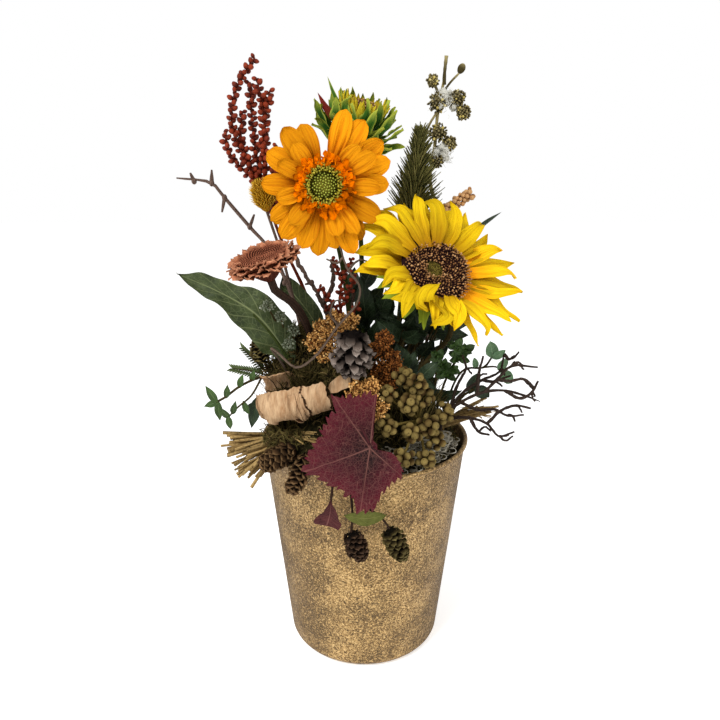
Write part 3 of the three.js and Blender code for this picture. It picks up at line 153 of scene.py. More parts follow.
def moved(points: np.ndarray, place: Place) -> np.ndarray:
    """Points put in a head's place, or left where they are."""
    return points if place is None else points @ place[:3, :3].T + place[:3, 3]


def eased(value: np.ndarray) -> np.ndarray:
    """A soft step from 0 to 1."""
    t = np.clip(value, 0, 1)
    return t * t * (3 - 2 * t)


def spread(values: Sequence[float], share: float | np.ndarray) -> np.ndarray:
    """Evenly spaced values, read at a share of the way along them."""
    return np.interp(share, np.linspace(0, 1, len(values)), values)


def golden(i: int, radius: float) -> tuple[float, float]:
    """Where the next spot of a sunflower's spiral lies on a circle."""
    return math.cos(i * GOLDEN) * radius, math.sin(i * GOLDEN) * radius


def strewn(i: int, count: int, span: float = 2.0) -> np.ndarray:
    """A direction of an even scatter over a ball, down a span of its heights from the top."""
    z = 1 - span * (i + 0.5) / count
    return np.array([*golden(i, math.sqrt(max(1 - z * z, 0))), z])


def cupped(rise: float) -> Shape:
    """A relief whose edges are turned up."""
    return lambda t, u: rise * u * u


def creased(crease: float, cup: float, phase: float, folds: float, run: float, grow: Outline) -> Shape:
    """A relief of creases along a petal, whose edges are turned up as it grows."""
    def lift(t: np.ndarray, u: np.ndarray) -> np.ndarray:
        """The relief at each share of the length and place across."""
        ridge = np.abs(np.sin(folds * u + phase)) - 0.6
        return crease * np.sin(math.pi * np.minimum(t * run, 1)) * ridge + cup * u * u * grow(t)
    return lift


def profile(values: Sequence[float]) -> Outline:
    """A smooth outline through evenly spaced half widths."""
    spots = smooth([(i, value, 0) for i, value in enumerate(values)], 60)
    return lambda t: np.maximum(np.interp(t * (len(values) - 1), spots[:, 0], spots[:, 1]), 0.02)


def rounded(width: float, root: float = 0.3, shoulder: float = 0.7, power: float = 2.4) -> Outline:
    """The outline of a petal with a narrow root and a round end."""
    def half(t: np.ndarray) -> np.ndarray:
        """The half width at each share of the petal's length.

        Args:
            t: The shares of the length.

        Returns:
            The half widths.
        """
        grow = root + (1 - root) * eased(t / shoulder)
        end = np.clip((t - shoulder) / (1 - shoulder), 0, 1)
        return width * grow * np.sqrt(np.maximum(1 - end ** power, 0.004))
    return half


def pointed(width: float, root: float = 0.4, belly: float = 0.42, power: float = 1.7) -> Outline:
    """The outline of a leaf or petal that ends in a point."""
    def half(t: np.ndarray) -> np.ndarray:
        """The half width at each share of the blade's length.

        Args:
            t: The shares of the length.

        Returns:
            The half widths.
        """
        grow = root + (1 - root) * eased(t / belly)
        end = np.clip((t - belly) / (1 - belly), 0, 1)
        return width * grow * np.maximum(1 - end ** power, 0.01)
    return half


# ---------------------------------------------------------------- stamps: shapes modelled once


@dataclass(frozen=True)
class Stamp:
    """A primitive modelled once, whose copies are shaped and laid into a piece."""

    spots: np.ndarray
    corners: np.ndarray
    counts: np.ndarray
    grain: np.ndarray

    @property
    def reverse(self) -> np.ndarray:
        """The order of the corners that turns every face over.

        Returns:
            The order, as places in the list of corners.
        """
        starts = np.cumsum(self.counts) - self.counts
        owner = np.repeat(np.arange(len(self.counts)), self.counts)
        within = np.arange(len(self.corners)) - starts[owner]
        return starts[owner] + self.counts[owner] - 1 - within

    @property
    def fans(self) -> np.ndarray:
        """The corners of a fan of triangles in each face.

        Returns:
            The places in the list of corners, three to a triangle.
        """
        starts = np.cumsum(self.counts) - self.counts
        rows = [(s, s + k, s + k + 1) for s, n in zip(starts, self.counts) for k in range(1, n - 1)]
        return self.corners[np.array(rows)]


def lifted_stamp(grain: Callable[[np.ndarray], np.ndarray]) -> Stamp:
    """Takes the shape that has just been modelled, and removes its object.

    Args:
        grain: Gives the place on the grain map of each spot.

    Returns:
        The stamp.
    """
    made = bpy.context.object
    mesh = made.data
    spots = np.empty(len(mesh.vertices) * 3)
    corners = np.empty(len(mesh.loops), int)
    counts = np.empty(len(mesh.polygons), int)
    mesh.vertices.foreach_get("co", spots)
    mesh.loops.foreach_get("vertex_index", corners)
    mesh.polygons.foreach_get("loop_total", counts)
    bpy.data.objects.remove(made)
    bpy.data.meshes.remove(mesh)
    spots = spots.reshape(-1, 3)
    uv = grain(spots)[corners]
    starts = np.cumsum(counts) - counts
    for start, count in zip(starts, counts):
        across = uv[start:start + count, 0]
        if across.max() - across.min() > 0.5 and count < 5:
            across[across < 0.5] += 1
    return Stamp(spots, corners, counts, uv)


def shaped_in_edit_mode(*steps: Callable[[], object]) -> None:
    """Runs operators on the whole new primitive in edit mode.

    Args:
        steps: The operators, each as a call.
    """
    bpy.ops.object.mode_set(mode="EDIT")
    bpy.ops.mesh.select_all(action="SELECT")
    for step in steps:
        step()
    bpy.ops.object.mode_set(mode="OBJECT")


def raised(height: float = 1.0) -> Callable[[], object]:
    """An extrusion straight up."""
    return lambda: bpy.ops.mesh.extrude_region_move(TRANSFORM_OT_translate={"value": (0, 0, height)})


def round_share(spots: np.ndarray) -> np.ndarray:
    """How far round +Z each spot stands, as a share of a turn."""
    return (np.arctan2(spots[:, 1], spots[:, 0]) / math.tau) % 1


@cache
def sheet_stamp(rows: int, columns: int) -> Stamp:
    """A thin slab: X runs across it from -1 to 1, Y along it, and Z is 0 below and 1 above.

    Args:
        rows: The faces along it.
        columns: The faces across it.

    Returns:
        The stamp.
    """
    bpy.ops.mesh.primitive_grid_add(x_subdivisions=columns, y_subdivisions=rows, size=2)
    shaped_in_edit_mode(raised())
    return lifted_stamp(lambda s: (s[:, :2] + 1) / 2)


@cache
def tube_stamp(steps: int, sides: int) -> Stamp:
    """A closed tube of radius 1 whose rings stand at heights 0 to `steps`.

    Args:
        steps: The faces along it.
        sides: The faces round it.

    Returns:
        The stamp.
    """
    bpy.ops.mesh.primitive_circle_add(vertices=sides, radius=1, fill_type="NGON")
    shaped_in_edit_mode(*[raised()] * steps)
    return lifted_stamp(lambda s: np.stack([round_share(s), s[:, 2] / steps], axis=1))


@cache
def ball_stamp(level: int) -> Stamp:
    """A ball of radius 1, with its grain running from -Z to +Z."""
    bpy.ops.mesh.primitive_ico_sphere_add(subdivisions=level, radius=1)
    return lifted_stamp(lambda s: np.stack([round_share(s), (s[:, 2] + 1) / 2], axis=1))


class Clay:
    """Copies of stamps gathered into one piece."""

    def __init__(self, seed: int = 1) -> None:
        """Starts an empty piece with its own source of seeded random numbers.

        Args:
            seed: Where the random numbers start.
        """
        self.chance = np.random.default_rng(seed)
        self.spots: list[np.ndarray] = []
        self.corners: list[np.ndarray] = []
        self.counts: list[np.ndarray] = []
        self.grains: list[np.ndarray] = []
        self.tints: list[np.ndarray] = []
        self.slots: list[np.ndarray] = []
        self.total = 0

    def draw(self, low: float = 0.0, high: float = 1.0) -> float:
        """An even random number."""
        return float(self.chance.uniform(low, high))

    def lay(self, stamp: Stamp, spots: np.ndarray, place: Place = None, tint: Tint = None, slot: int = 0) -> None:
        """Adds a copy of a stamp, with its faces turned outwards.

        Args:
            stamp: The shape that is copied.
            spots: Where each of its spots goes, in millimetres.
            place: The head that it belongs to, where it has one.
            tint: The copy's own shade, or one for each spot; random where it is left out.
            slot: Which of the piece's finishes it has.
        """
        spots = moved(spots, place)
        a, b, c = (spots[stamp.fans[:, k]] - spots[0] for k in range(3))
        outward = np.einsum("ij,ij->", a, np.cross(b, c)) > 0
        order = np.arange(len(stamp.corners)) if outward else stamp.reverse
        shade = self.draw() if tint is None else tint
        self.spots.append(spots)
        self.corners.append(stamp.corners[order] + self.total)
        self.counts.append(stamp.counts)
        self.grains.append(stamp.grain[order])
        self.tints.append(np.broadcast_to(np.asarray(shade, float), len(spots)))
        self.slots.append(np.full(len(stamp.counts), slot))
        self.total += len(spots)

    def blade(self, rib: Rows, half: Outline, up: Sequence[float] = UP, lift: Shape = cupped(0.0), rows: int = 12,
              columns: int = 6, thick: float = 0.5, twist: float = 0.0, wave: float = 0.0, **how: object) -> None:
        """Adds a petal or leaf along a midrib.

        Args:
            rib: The points that its midrib passes through.
            half: Its half width at each share of its length.
            up: Which way its upper face looks.
            lift: Its relief, from the share of its length and the place across, -1 to 1.
            rows: Its rows of faces along.
            columns: Its columns of faces across.
            thick: Its thickness at the midrib.
            twist: How far its tip is turned about the midrib, in radians.
            wave: How far its edge waves up and down.
            how: Its place, tint and slot, as in lay.
        """
        stamp = sheet_stamp(rows, columns)
        across, t, face = stamp.spots[:, 0], (stamp.spots[:, 1] + 1) / 2, stamp.spots[:, 2]
        route = smooth(rib, 32)
        centre, heading = (np.stack([spread(row[:, k], t) for k in range(3)], axis=1)
                           for row in (route, headings(route)))
        side = unit(np.cross(heading, up))
        normal = np.cross(side, heading)
        angle = (twist * t)[:, None]
        side, normal = (side * np.cos(angle) + normal * np.sin(angle),
                        normal * np.cos(angle) - side * np.sin(angle))
        rise = (face - 0.5) * thick * (1 - 0.7 * np.abs(across) ** 3) + lift(t, across)
        if wave:
            phase = self.draw(0, 6.3)
            rise = rise + wave * across ** 2 * np.sin(t * 15 + phase + across) * eased(t * 4)
        spots = centre + side * (across * half(t))[:, None] + normal * rise[:, None]
        self.lay(stamp, spots, **how)

    def tube(self, rows: Rows, radii: Sequence[float], sides: int = 8, steps: int = 0, gnarl: float = 0.0,
             wander: float = 0.0, **how: object) -> np.ndarray:
        """Adds a stem, twig or strand, and returns its route.

        Args:
            rows: The points that it passes through.
            radii: Evenly spaced radii from root to tip.
            sides: Its number of sides.
            steps: Its steps, or none to suit its number of points.
            gnarl: How uneven its thickness is.
            wander: How far it strays from its route, in millimetres.
            how: Its place, tint and slot, as in lay.

        Returns:
            Its route, before it is put in a head's place.
        """
        count = steps or (2 if len(rows) == 2 else 5 * (len(rows) - 1))
        route = smooth(rows, count)
        if wander:
            route[1:-1] += self.chance.normal(0, wander, (count - 1, 3))
        first, second = carried(route)
        stamp = tube_stamp(count, sides)
        step = np.rint(stamp.spots[:, 2]).astype(int)
        width = spread(radii, np.linspace(0, 1, count + 1))
        if gnarl:
            width = width * (1 + gnarl * self.chance.uniform(-1, 1, count + 1))
        radius = width[step][:, None]
        spots = route[step] + (first[step] * stamp.spots[:, :1] + second[step] * stamp.spots[:, 1:2]) * radius
        self.lay(stamp, spots, **how)
        return route

    def ball(self, centre: Sequence[float], radii: Sequence[float] | float, axis: Sequence[float] = UP,
             level: int = 2, shape: Outline = lambda d: np.ones(len(d)), **how: object) -> None:
        """Adds a berry, bud or floret.

        Args:
            centre: Its middle.
            radii: Its radius, or one for each of its own axes.
            axis: Where its own +Z looks.
            level: How finely it is cut.
            shape: How far each direction stands out, from 0 to 1 or more.
            how: Its place, tint and slot, as in lay.
        """
        stamp = ball_stamp(level)
        spots = stamp.spots * np.asarray(radii, float) * shape(stamp.spots)[:, None]
        self.lay(stamp, moved(spots, facing(axis, centre)), **how)

    def turned(self, rows: Rows, sides: int, place: Place = None,
               warp: Callable[..., tuple[np.ndarray, np.ndarray]] = lambda a, r, z: (0 * r, 0 * z),
               **how: object) -> None:
        """Adds a turned body.

        Args:
            rows: Its profile as radius and height, from axis to axis.
            sides: Its number of sides.
            place: The head that it belongs to.
            warp: Shifts a spot out and up, from its angle, radius and height.
            how: Its tint and slot, as in lay.
        """
        stamp = tube_stamp(len(rows) - 1, sides)
        step = np.rint(stamp.spots[:, 2]).astype(int)
        radius = np.maximum(np.array([row[0] for row in rows])[step], 0.02)
        height = np.array([row[1] for row in rows], float)[step]
        out, rise = warp(np.arctan2(stamp.spots[:, 1], stamp.spots[:, 0]), radius, height)
        spots = np.column_stack([stamp.spots[:, :2] * (radius + out)[:, None], height + rise])
        self.lay(stamp, spots, place, **how)

    def cast(self, node: str, *finishes: "Finish") -> None:
        """Casts the piece as an object that stands for a node of the part.

        Args:
            node: The node that it replaces.
            finishes: Its finishes, in the order of their slots.
        """
        corners, counts = np.concatenate(self.corners), np.concatenate(self.counts)
        mesh = bpy.data.meshes.new(f"dressed_{node}")
        mesh.vertices.add(self.total)
        mesh.vertices.foreach_set("co", (np.vstack(self.spots) * MM).ravel())
        mesh.loops.add(len(corners))
        mesh.loops.foreach_set("vertex_index", corners)
        mesh.polygons.add(len(counts))
        mesh.polygons.foreach_set("loop_start", np.cumsum(counts) - counts)
        mesh.polygons.foreach_set("material_index", np.concatenate(self.slots))
        mesh.update(calc_edges=True)
        mesh.uv_layers.new(name="grain").data.foreach_set("uv", np.vstack(self.grains).ravel())
        mesh.attributes.new("tint", "FLOAT", "POINT").data.foreach_set("value", np.concatenate(self.tints))
        mesh.validate()
        settle(picked(mesh), node, *finishes)


def picked(mesh: bpy.types.Mesh) -> bpy.types.Object:
    """A new object of a mesh, active and selected alone.

    Args:
        mesh: The mesh.

    Returns:
        The object.
    """
    piece = bpy.data.objects.new(mesh.name, mesh)
    bpy.context.scene.collection.objects.link(piece)
    bpy.ops.object.select_all(action="DESELECT")
    piece.select_set(True)
    bpy.context.view_layer.objects.active = piece
    return piece


def settle(piece: bpy.types.Object, node: str, *finishes: "Finish", angle: float = 55.0) -> None:
    """Gives the active object its finishes and its place among the part's nodes.

    Args:
        piece: The object.
        node: The node that it replaces.
        finishes: Its finishes, in the order of their slots.
        angle: Edges sharper than this stay crisp, in degrees.
    """
    for finish in finishes:
        piece.data.materials.append(finish.material())
    bpy.ops.object.shade_smooth_by_angle(angle=math.radians(angle))
    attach(piece, "root")
    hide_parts(node)
    LOG.info("%s: %d faces", piece.name, len(piece.data.polygons))


# ---------------------------------------------------------------- finishes


def linear(colour: RGB) -> tuple[float, float, float, float]:
    """A colour as seen, turned into light."""
    tones = [c / 255 for c in colour]
    return (*[c / 12.92 if c <= 0.04045 else ((c + 0.055) / 1.055) ** 2.4 for c in tones], 1.0)


class Recipe:
    """A node tree, of a material or of a shared group, with a short call for each kind of node."""

    def __init__(self, tree: bpy.types.NodeTree) -> None:
        """Starts on an empty tree.

        Args:
            tree: The tree to fill.
        """
        self.tree = tree
        tree.nodes.clear()
        self.shader: bpy.types.Node | None = None

    def node(self, kind: str, **values: object) -> bpy.types.Node:
        """A node with some of its properties set.

        Args:
            kind: The node's type.
            values: Its properties by name.

        Returns:
            The node.
        """
        made = self.tree.nodes.new(kind)
        for name, value in values.items():
            setattr(made, name, value)
        return made

    def feed(self, socket: bpy.types.NodeSocket, value: object) -> None:
        """Links a socket into another, or sets it to a plain value."""
        if isinstance(value, bpy.types.NodeSocket):
            self.tree.links.new(value, socket)
        else:
            socket.default_value = value

    def grain(self) -> Socket:
        """The piece's own map: across and along."""
        return self.node("ShaderNodeUVMap", uv_map="grain").outputs["UV"]

    def spot(self) -> Socket:
        """The place on the object."""
        return self.node("ShaderNodeTexCoord").outputs["Object"]

    def tint(self) -> Socket:
        """The shade that each copy has of its own."""
        return self.node("ShaderNodeAttribute", attribute_name="tint").outputs["Fac"]

    def scaled(self, vector: object, scale: Sequence[float]) -> Socket:
        """A vector stretched along its axes.

        Args:
            vector: A vector or its socket.
            scale: The factor of each axis.

        Returns:
            The vector's socket.
        """
        made = self.node("ShaderNodeVectorMath", operation="MULTIPLY")
        self.feed(made.inputs[0], vector)
        made.inputs[1].default_value = scale
        return made.outputs[0]

    def split(self, vector: object) -> tuple[bpy.types.NodeSocket, ...]:
        """The three numbers of a vector.

        Args:
            vector: A vector or its socket.

        Returns:
            The three sockets.
        """
        made = self.node("ShaderNodeSeparateXYZ")
        self.feed(made.inputs[0], vector)
        return tuple(made.outputs)

    def noise(self, vector: object, scale: object, detail: float = 4.0, rough: float = 0.6) -> Socket:
        """A cloudy pattern from 0 to 1.

        Args:
            vector: The place to look up.
            scale: How close the clouds are.
            detail: The octaves.
            rough: How strong the finer octaves are.

        Returns:
            The pattern's socket.
        """
        made = self.node("ShaderNodeTexNoise")
        self.feed(made.inputs["Vector"], vector)
        self.feed(made.inputs["Scale"], scale)
        made.inputs["Detail"].default_value = detail
        made.inputs["Roughness"].default_value = rough
        return made.outputs["Fac"]

    def cells(self, vector: object, scale: object) -> Socket:
        """The distance to the edge between scattered cells.

        Args:
            vector: The place to look up.
            scale: How close the cells are.

        Returns:
            The distance's socket.
        """
        made = self.node("ShaderNodeTexVoronoi", feature="DISTANCE_TO_EDGE")
        self.feed(made.inputs["Vector"], vector)
        self.feed(made.inputs["Scale"], scale)
        return made.outputs["Distance"]

    def sum(self, operation: str, *values: object) -> Socket:
        """A sum of one, two or three numbers.

        Args:
            operation: The kind of sum.
            values: Its numbers or their sockets.

        Returns:
            The result's socket.
        """
        made = self.node("ShaderNodeMath", operation=operation)
        for socket, value in zip(made.inputs, values):
            self.feed(socket, value)
        return made.outputs[0]

    def times(self, first: object, second: object) -> Socket:
        """A product."""
        return self.sum("MULTIPLY", first, second)

    def less(self, first: object, second: object) -> Socket:
        """A difference."""
        return self.sum("SUBTRACT", first, second)

    def most(self, first: object, second: object) -> Socket:
        """The larger of two numbers."""
        return self.sum("MAXIMUM", first, second)

    def off_middle(self, share: object) -> Socket:
        """How far a share of 0 to 1 is from its middle, as 0 to 1."""
        return self.sum("ABSOLUTE", self.sum("MULTIPLY_ADD", share, 2.0, -1.0))

    def band(self, value: object, low: float, high: float, start: float = 0.0, end: float = 1.0) -> Socket:
        """A number taken from one range to another, held at its ends.

        Args:
            value: The number or its socket.
            low: Where the first range starts.
            high: Where it ends.
            start: Where the second range starts.
            end: Where it ends.

        Returns:
            The result's socket.
        """
        made = self.node("ShaderNodeMapRange")
        self.feed(made.inputs["Value"], value)
        for name, number in zip(("From Min", "From Max", "To Min", "To Max"), (low, high, start, end)):
            made.inputs[name].default_value = number
        return made.outputs[0]

    def blend(self, share: object, first: object, second: object, mode: str = "MIX") -> Socket:
        """Two colours mixed; a colour of three numbers is one as seen.

        Args:
            share: How much of the second.
            first: The first colour.
            second: The second colour.
            mode: How they are mixed.

        Returns:
            The colour's socket.
        """
        made = self.node("ShaderNodeMix", data_type="RGBA", blend_type=mode)
        for socket, value in zip((made.inputs[0], *made.inputs[6:8]), (share, first, second)):
            self.feed(socket, linear(value) if isinstance(value, tuple) and len(value) == 3 else value)
        return made.outputs[2]

    def shared(self, group: bpy.types.NodeTree, **values: object) -> Socket:
        """The first output of a shared group, with its inputs fed by name.

        Args:
            group: The group.
            values: Its inputs by name.

        Returns:
            The output's socket.
        """
        made = self.node("ShaderNodeGroup", node_tree=group)
        for name, value in values.items():
            self.feed(made.inputs[name.capitalize()], value)
        return made.outputs[0]

    def along(self) -> Socket:
        """How far along its own piece each place is."""
        return self.split(self.grain())[1]

    def mottled(self, scale: float) -> Socket:
        """Soft blotches all over the piece."""
        return self.shared(mottle_group(), vector=self.spot(), scale=scale)

    def lines(self, count: float) -> Socket:
        """Fine lines along the piece."""
        return self.shared(fibres_group(), map=self.grain(), count=count, tint=self.tint())


def new_group(name: str, inputs: dict[str, str], output: str) -> tuple[Recipe, bpy.types.Node, bpy.types.Node]:
    """Starts a shared group.

    Args:
        name: Its name.
        inputs: The kind of socket of each input.
        output: The name of its one output.

    Returns:
        Its mix, its input node and its output node.
    """
    tree = bpy.data.node_groups.new(name, "ShaderNodeTree")
    for label, kind in inputs.items():
        tree.interface.new_socket(label, in_out="INPUT", socket_type=f"NodeSocket{kind}")
    tree.interface.new_socket(output, in_out="OUTPUT", socket_type="NodeSocketFloat")
    mix = Recipe(tree)
    return mix, mix.node("NodeGroupInput"), mix.node("NodeGroupOutput")


@cache
def mottle_group() -> bpy.types.NodeTree:
    """Soft blotches with finer ones inside them.

    Returns:
        The group.
    """
    mix, given, out = new_group("mottle", {"Vector": "Vector", "Scale": "Float"}, "Value")
    broad = mix.noise(given.outputs["Vector"], given.outputs["Scale"], 3.0)
    fine = mix.noise(given.outputs["Vector"], mix.times(given.outputs["Scale"], 5.0), 4.0)
    both = mix.sum("MULTIPLY_ADD", fine, 0.4, mix.times(broad, 0.6))
    mix.feed(out.inputs[0], mix.band(both, 0.34, 0.66))
    return mix.tree


@cache
def fibres_group() -> bpy.types.NodeTree:
    """Fine lines that run the length of a petal, leaf or stalk.

    Returns:
        The group.
    """
    mix, given, out = new_group("fibres", {"Map": "Vector", "Count": "Float", "Tint": "Float"}, "Value")
    across, along, _ = mix.split(given.outputs["Map"])
    made = mix.node("ShaderNodeCombineXYZ")
    shares = ((across, given.outputs["Count"]), (along, 1.3), (given.outputs["Tint"], 37.0))
    for socket, (value, factor) in zip(made.inputs, shares):
        mix.feed(socket, mix.times(value, factor))
    mix.feed(out.inputs[0], mix.band(mix.noise(made.outputs[0], 1.0, 3.0, 0.55), 0.3, 0.7))
    return mix.tree


@cache
def veins_group() -> bpy.types.NodeTree:
    """A midrib with side veins that sweep towards the tip, and a fine net between them.

    Returns:
        The group.
    """
    mix, given, out = new_group("veins", {"Map": "Vector", "Pairs": "Float"}, "Value")
    across, along, _ = mix.split(given.outputs["Map"])
    off = mix.off_middle(across)
    rib = mix.band(off, 0.0, 0.07, 1.0, 0.0)
    swept = mix.less(along, mix.times(mix.sum("POWER", off, 0.8), 0.24))
    beat = mix.sum("FRACT", mix.times(swept, given.outputs["Pairs"]))
    side = mix.band(mix.sum("ABSOLUTE", mix.less(beat, 0.5)), 0.0, 0.07, 0.6, 0.0)
    mesh = mix.band(mix.cells(mix.scaled(given.outputs["Map"], (5.0, 13.0, 1.0)), 1.6), 0.0, 0.05, 0.34, 0.0)
    mix.feed(out.inputs[0], mix.most(mix.most(rib, side), mesh))
    return mix.tree


class Grain(Enum):
    """How a finish's colour and relief lie on a piece."""

    PETAL = "petal"
    EDGED = "edged"
    LEAF = "leaf"
    NETTED = "netted"
    BARK = "bark"
    BERRY = "berry"
    SCALE = "scale"
    STRAND = "strand"
    PEEL = "peel"
    GILT = "gilt"
    PLAIN = "plain"


@dataclass(frozen=True)
class Finish:
    """A finish: its colours at root and tip, its flecks, its grain and its gloss."""

    name: str
    grain: Grain
    root: RGB
    tip: RGB
    fleck: RGB
    roughness: float = 0.7
    relief: float = 0.3
    scale: float = 400.0
    count: float = 12.0
    vary: float = 0.3
    gloss: float = 0.05
    glow: float = 0.0

    @cache
    def material(self) -> bpy.types.Material:
        """Mixes the material of this finish, once.

        Returns:
            The material.
        """
        material = bpy.data.materials.new(self.name)
        material.use_nodes = True
        mix = Recipe(material.node_tree)
        shader = mix.shader = mix.node("ShaderNodeBsdfPrincipled")
        out = mix.node("ShaderNodeOutputMaterial")
        mix.feed(out.inputs["Surface"], shader.outputs[0])
        shader.inputs["Roughness"].default_value = self.roughness
        shader.inputs["Specular IOR Level"].default_value = self.gloss
        shader.inputs["Emission Color"].default_value = (1.0, 1.0, 1.0, 1.0)
        shader.inputs["Emission Strength"].default_value = self.glow
        colour, height = getattr(self, f"{self.grain.value}_layers")(mix)
        mix.feed(shader.inputs["Base Color"], colour)
        bump = mix.node("ShaderNodeBump")
        bump.inputs["Strength"].default_value = self.relief
        bump.inputs["Distance"].default_value = MM
        mix.feed(bump.inputs["Height"], height)
        mix.feed(shader.inputs["Normal"], bump.outputs[0])
        material.diffuse_color = linear(self.tip)
        return material

    def shaded(self, mix: Recipe, colour: object) -> Socket:
        """A colour made lighter or darker by each copy's own tint."""
        low = mix.blend(1.0, colour, (1 - self.vary,) * 3 + (1.0,), "MULTIPLY")
        return mix.blend(mix.tint(), low, colour)

    def petal_layers(self, mix: Recipe) -> Layers:
        """Root to tip, with fine lines along the petal.

        Args:
            mix: The recipe to add to.

        Returns:
            The sockets of the colour and of the height.
        """
        along, lines = mix.along(), mix.lines(self.count)
        body = mix.blend(mix.band(along, 0.0, 0.62), self.root, self.tip)
        streaks = mix.times(mix.band(lines, 0.62, 0.06), mix.band(along, 1.0, 0.1, 0.3, 0.85))
        return self.shaded(mix, mix.blend(streaks, body, self.fleck)), lines

    def edged_layers(self, mix: Recipe) -> Layers:
        """Lines along a bract, with pale edges and tip.

        Args:
            mix: The recipe to add to.

        Returns:
            The sockets of the colour and of the height.
        """
        across, along, _ = mix.split(mix.grain())
        lines = mix.lines(self.count)
        rim = mix.most(mix.band(mix.off_middle(across), 0.5, 0.95), mix.band(along, 0.7, 1.0))
        body = mix.blend(lines, self.root, self.tip)
        return self.shaded(mix, mix.blend(mix.times(rim, 0.85), body, self.fleck)), lines

    def leaf_layers(self, mix: Recipe) -> Layers:
        """Mottled, with pale veins.

        Args:
            mix: The recipe to add to.

        Returns:
            The sockets of the colour and of the height.
        """
        veins = mix.shared(veins_group(), map=mix.grain(), pairs=self.count)
        mottled = mix.mottled(self.scale * 0.25)
        body = self.shaded(mix, mix.blend(mottled, self.root, self.tip))
        return mix.blend(mix.times(veins, 0.7), body, self.fleck), mix.less(mix.times(mottled, 0.4), veins)

    def netted_layers(self, mix: Recipe) -> Layers:
        """Dark at the heart, with the veins that the piece's own tint draws and two fine nets.

        Args:
            mix: The recipe to add to.

        Returns:
            The sockets of the colour and of the height.
        """
        net = mix.band(mix.cells(mix.spot(), self.scale * 1.5), 0.0, 0.075, 0.42, 0.0)
        wide = mix.band(mix.cells(mix.spot(), self.scale * 0.55), 0.0, 0.03, 0.6, 0.0)
        mottled = mix.mottled(self.scale * 0.2)
        edge = mix.band(mix.off_middle(mix.along()), 0.75, 0.0)
        body = mix.blend(mix.sum("MULTIPLY_ADD", edge, 0.75, mix.times(mottled, 0.25)), self.root, self.tip)
        lines = mix.most(mix.tint(), mix.most(net, wide))
        return mix.blend(mix.times(lines, 0.75), body, self.fleck), mix.less(mottled, mix.times(lines, 1.4))

    def bark_layers(self, mix: Recipe) -> Layers:
        """Long ridges with specks between them.

        Args:
            mix: The recipe to add to.

        Returns:
            The sockets of the colour and of the height.
        """
        lines = mix.lines(self.count)
        specks = mix.noise(mix.spot(), self.scale, 5.0, 0.7)
        body = mix.blend(lines, self.root, self.tip)
        both = mix.blend(mix.band(specks, 0.52, 0.66), body, self.fleck)
        return self.shaded(mix, both), mix.sum("ADD", lines, specks)

    def berry_layers(self, mix: Recipe) -> Layers:
        """Painted shade at the root, towards the berry's stalk; pale on the shoulder, dark at the navel.

        Args:
            mix: The recipe to add to.

        Returns:
            The sockets of the colour and of the height.
        """
        along, specks = mix.along(), mix.mottled(self.scale)
        # Painted shade: each berry darkens towards its root, the side that faces its stalk and its neighbours.
        body = mix.blend(mix.band(along, 0.25, 0.75), self.root, self.tip)
        specked = mix.blend(mix.times(specks, 0.45), body, self.root)
        brown = mix.blend(mix.band(mix.tint(), 0.72, 0.95, 0.0, 0.7), specked, self.root)
        return self.shaded(mix, mix.blend(mix.band(along, 0.975, 1.0, 0.0, 0.8), brown, self.fleck)), specks

    def scale_layers(self, mix: Recipe) -> Layers:
        """Painted shade in the hollows, from the dark root colour, and pale at the tips, with grain between.

        Args:
            mix: The recipe to add to.

        Returns:
            The sockets of the colour and of the height.
        """
        along, specks = mix.along(), mix.mottled(self.scale)
        # Painted shade: each scale, floret, bristle and knob darkens towards its root, where it sits in the hollows
        # between the others.
        body = mix.blend(mix.band(along, 0.45, 0.95), self.root, self.tip)
        rim = mix.times(mix.band(along, 0.72, 1.0), specks)
        return self.shaded(mix, mix.blend(rim, body, self.fleck)), specks

    def strand_layers(self, mix: Recipe) -> Layers:
        """A colour of its own for each strand.

        Args:
            mix: The recipe to add to.

        Returns:
            The sockets of the colour and of the height.
        """
        specks = mix.mottled(self.scale)
        low = mix.blend(mix.band(mix.tint(), 0.0, 0.6), self.root, self.tip)
        body = mix.blend(mix.band(mix.tint(), 0.7, 1.0), low, self.fleck)
        return mix.blend(mix.times(specks, 0.35), body, self.root), specks

    def peel_layers(self, mix: Recipe) -> Layers:
        """Peeled bark: pale outside, dark inside, with long breaks.

        Args:
            mix: The recipe to add to.

        Returns:
            The sockets of the colour and of the height.
        """
        grained = mix.scaled(mix.spot(), (1.0, 0.25, 0.25))
        cloud = mix.shared(mottle_group(), vector=grained, scale=self.scale * 0.6)
        long = mix.scaled(mix.spot(), (1.0, 0.12, 0.12))
        breaks = mix.band(mix.noise(long, self.scale * 0.8, 4.0, 0.7), 0.6, 0.72)
        outside = mix.blend(cloud, self.tip, self.fleck)
        inside = mix.blend(0.7, self.fleck, self.root)
        lined = mix.blend(mix.band(mix.tint(), 0.2, 0.45), self.root, inside)
        body = mix.blend(mix.band(mix.tint(), 0.6, 0.9), lined, outside)
        return mix.blend(mix.times(breaks, 0.6), body, self.root), mix.less(cloud, breaks)

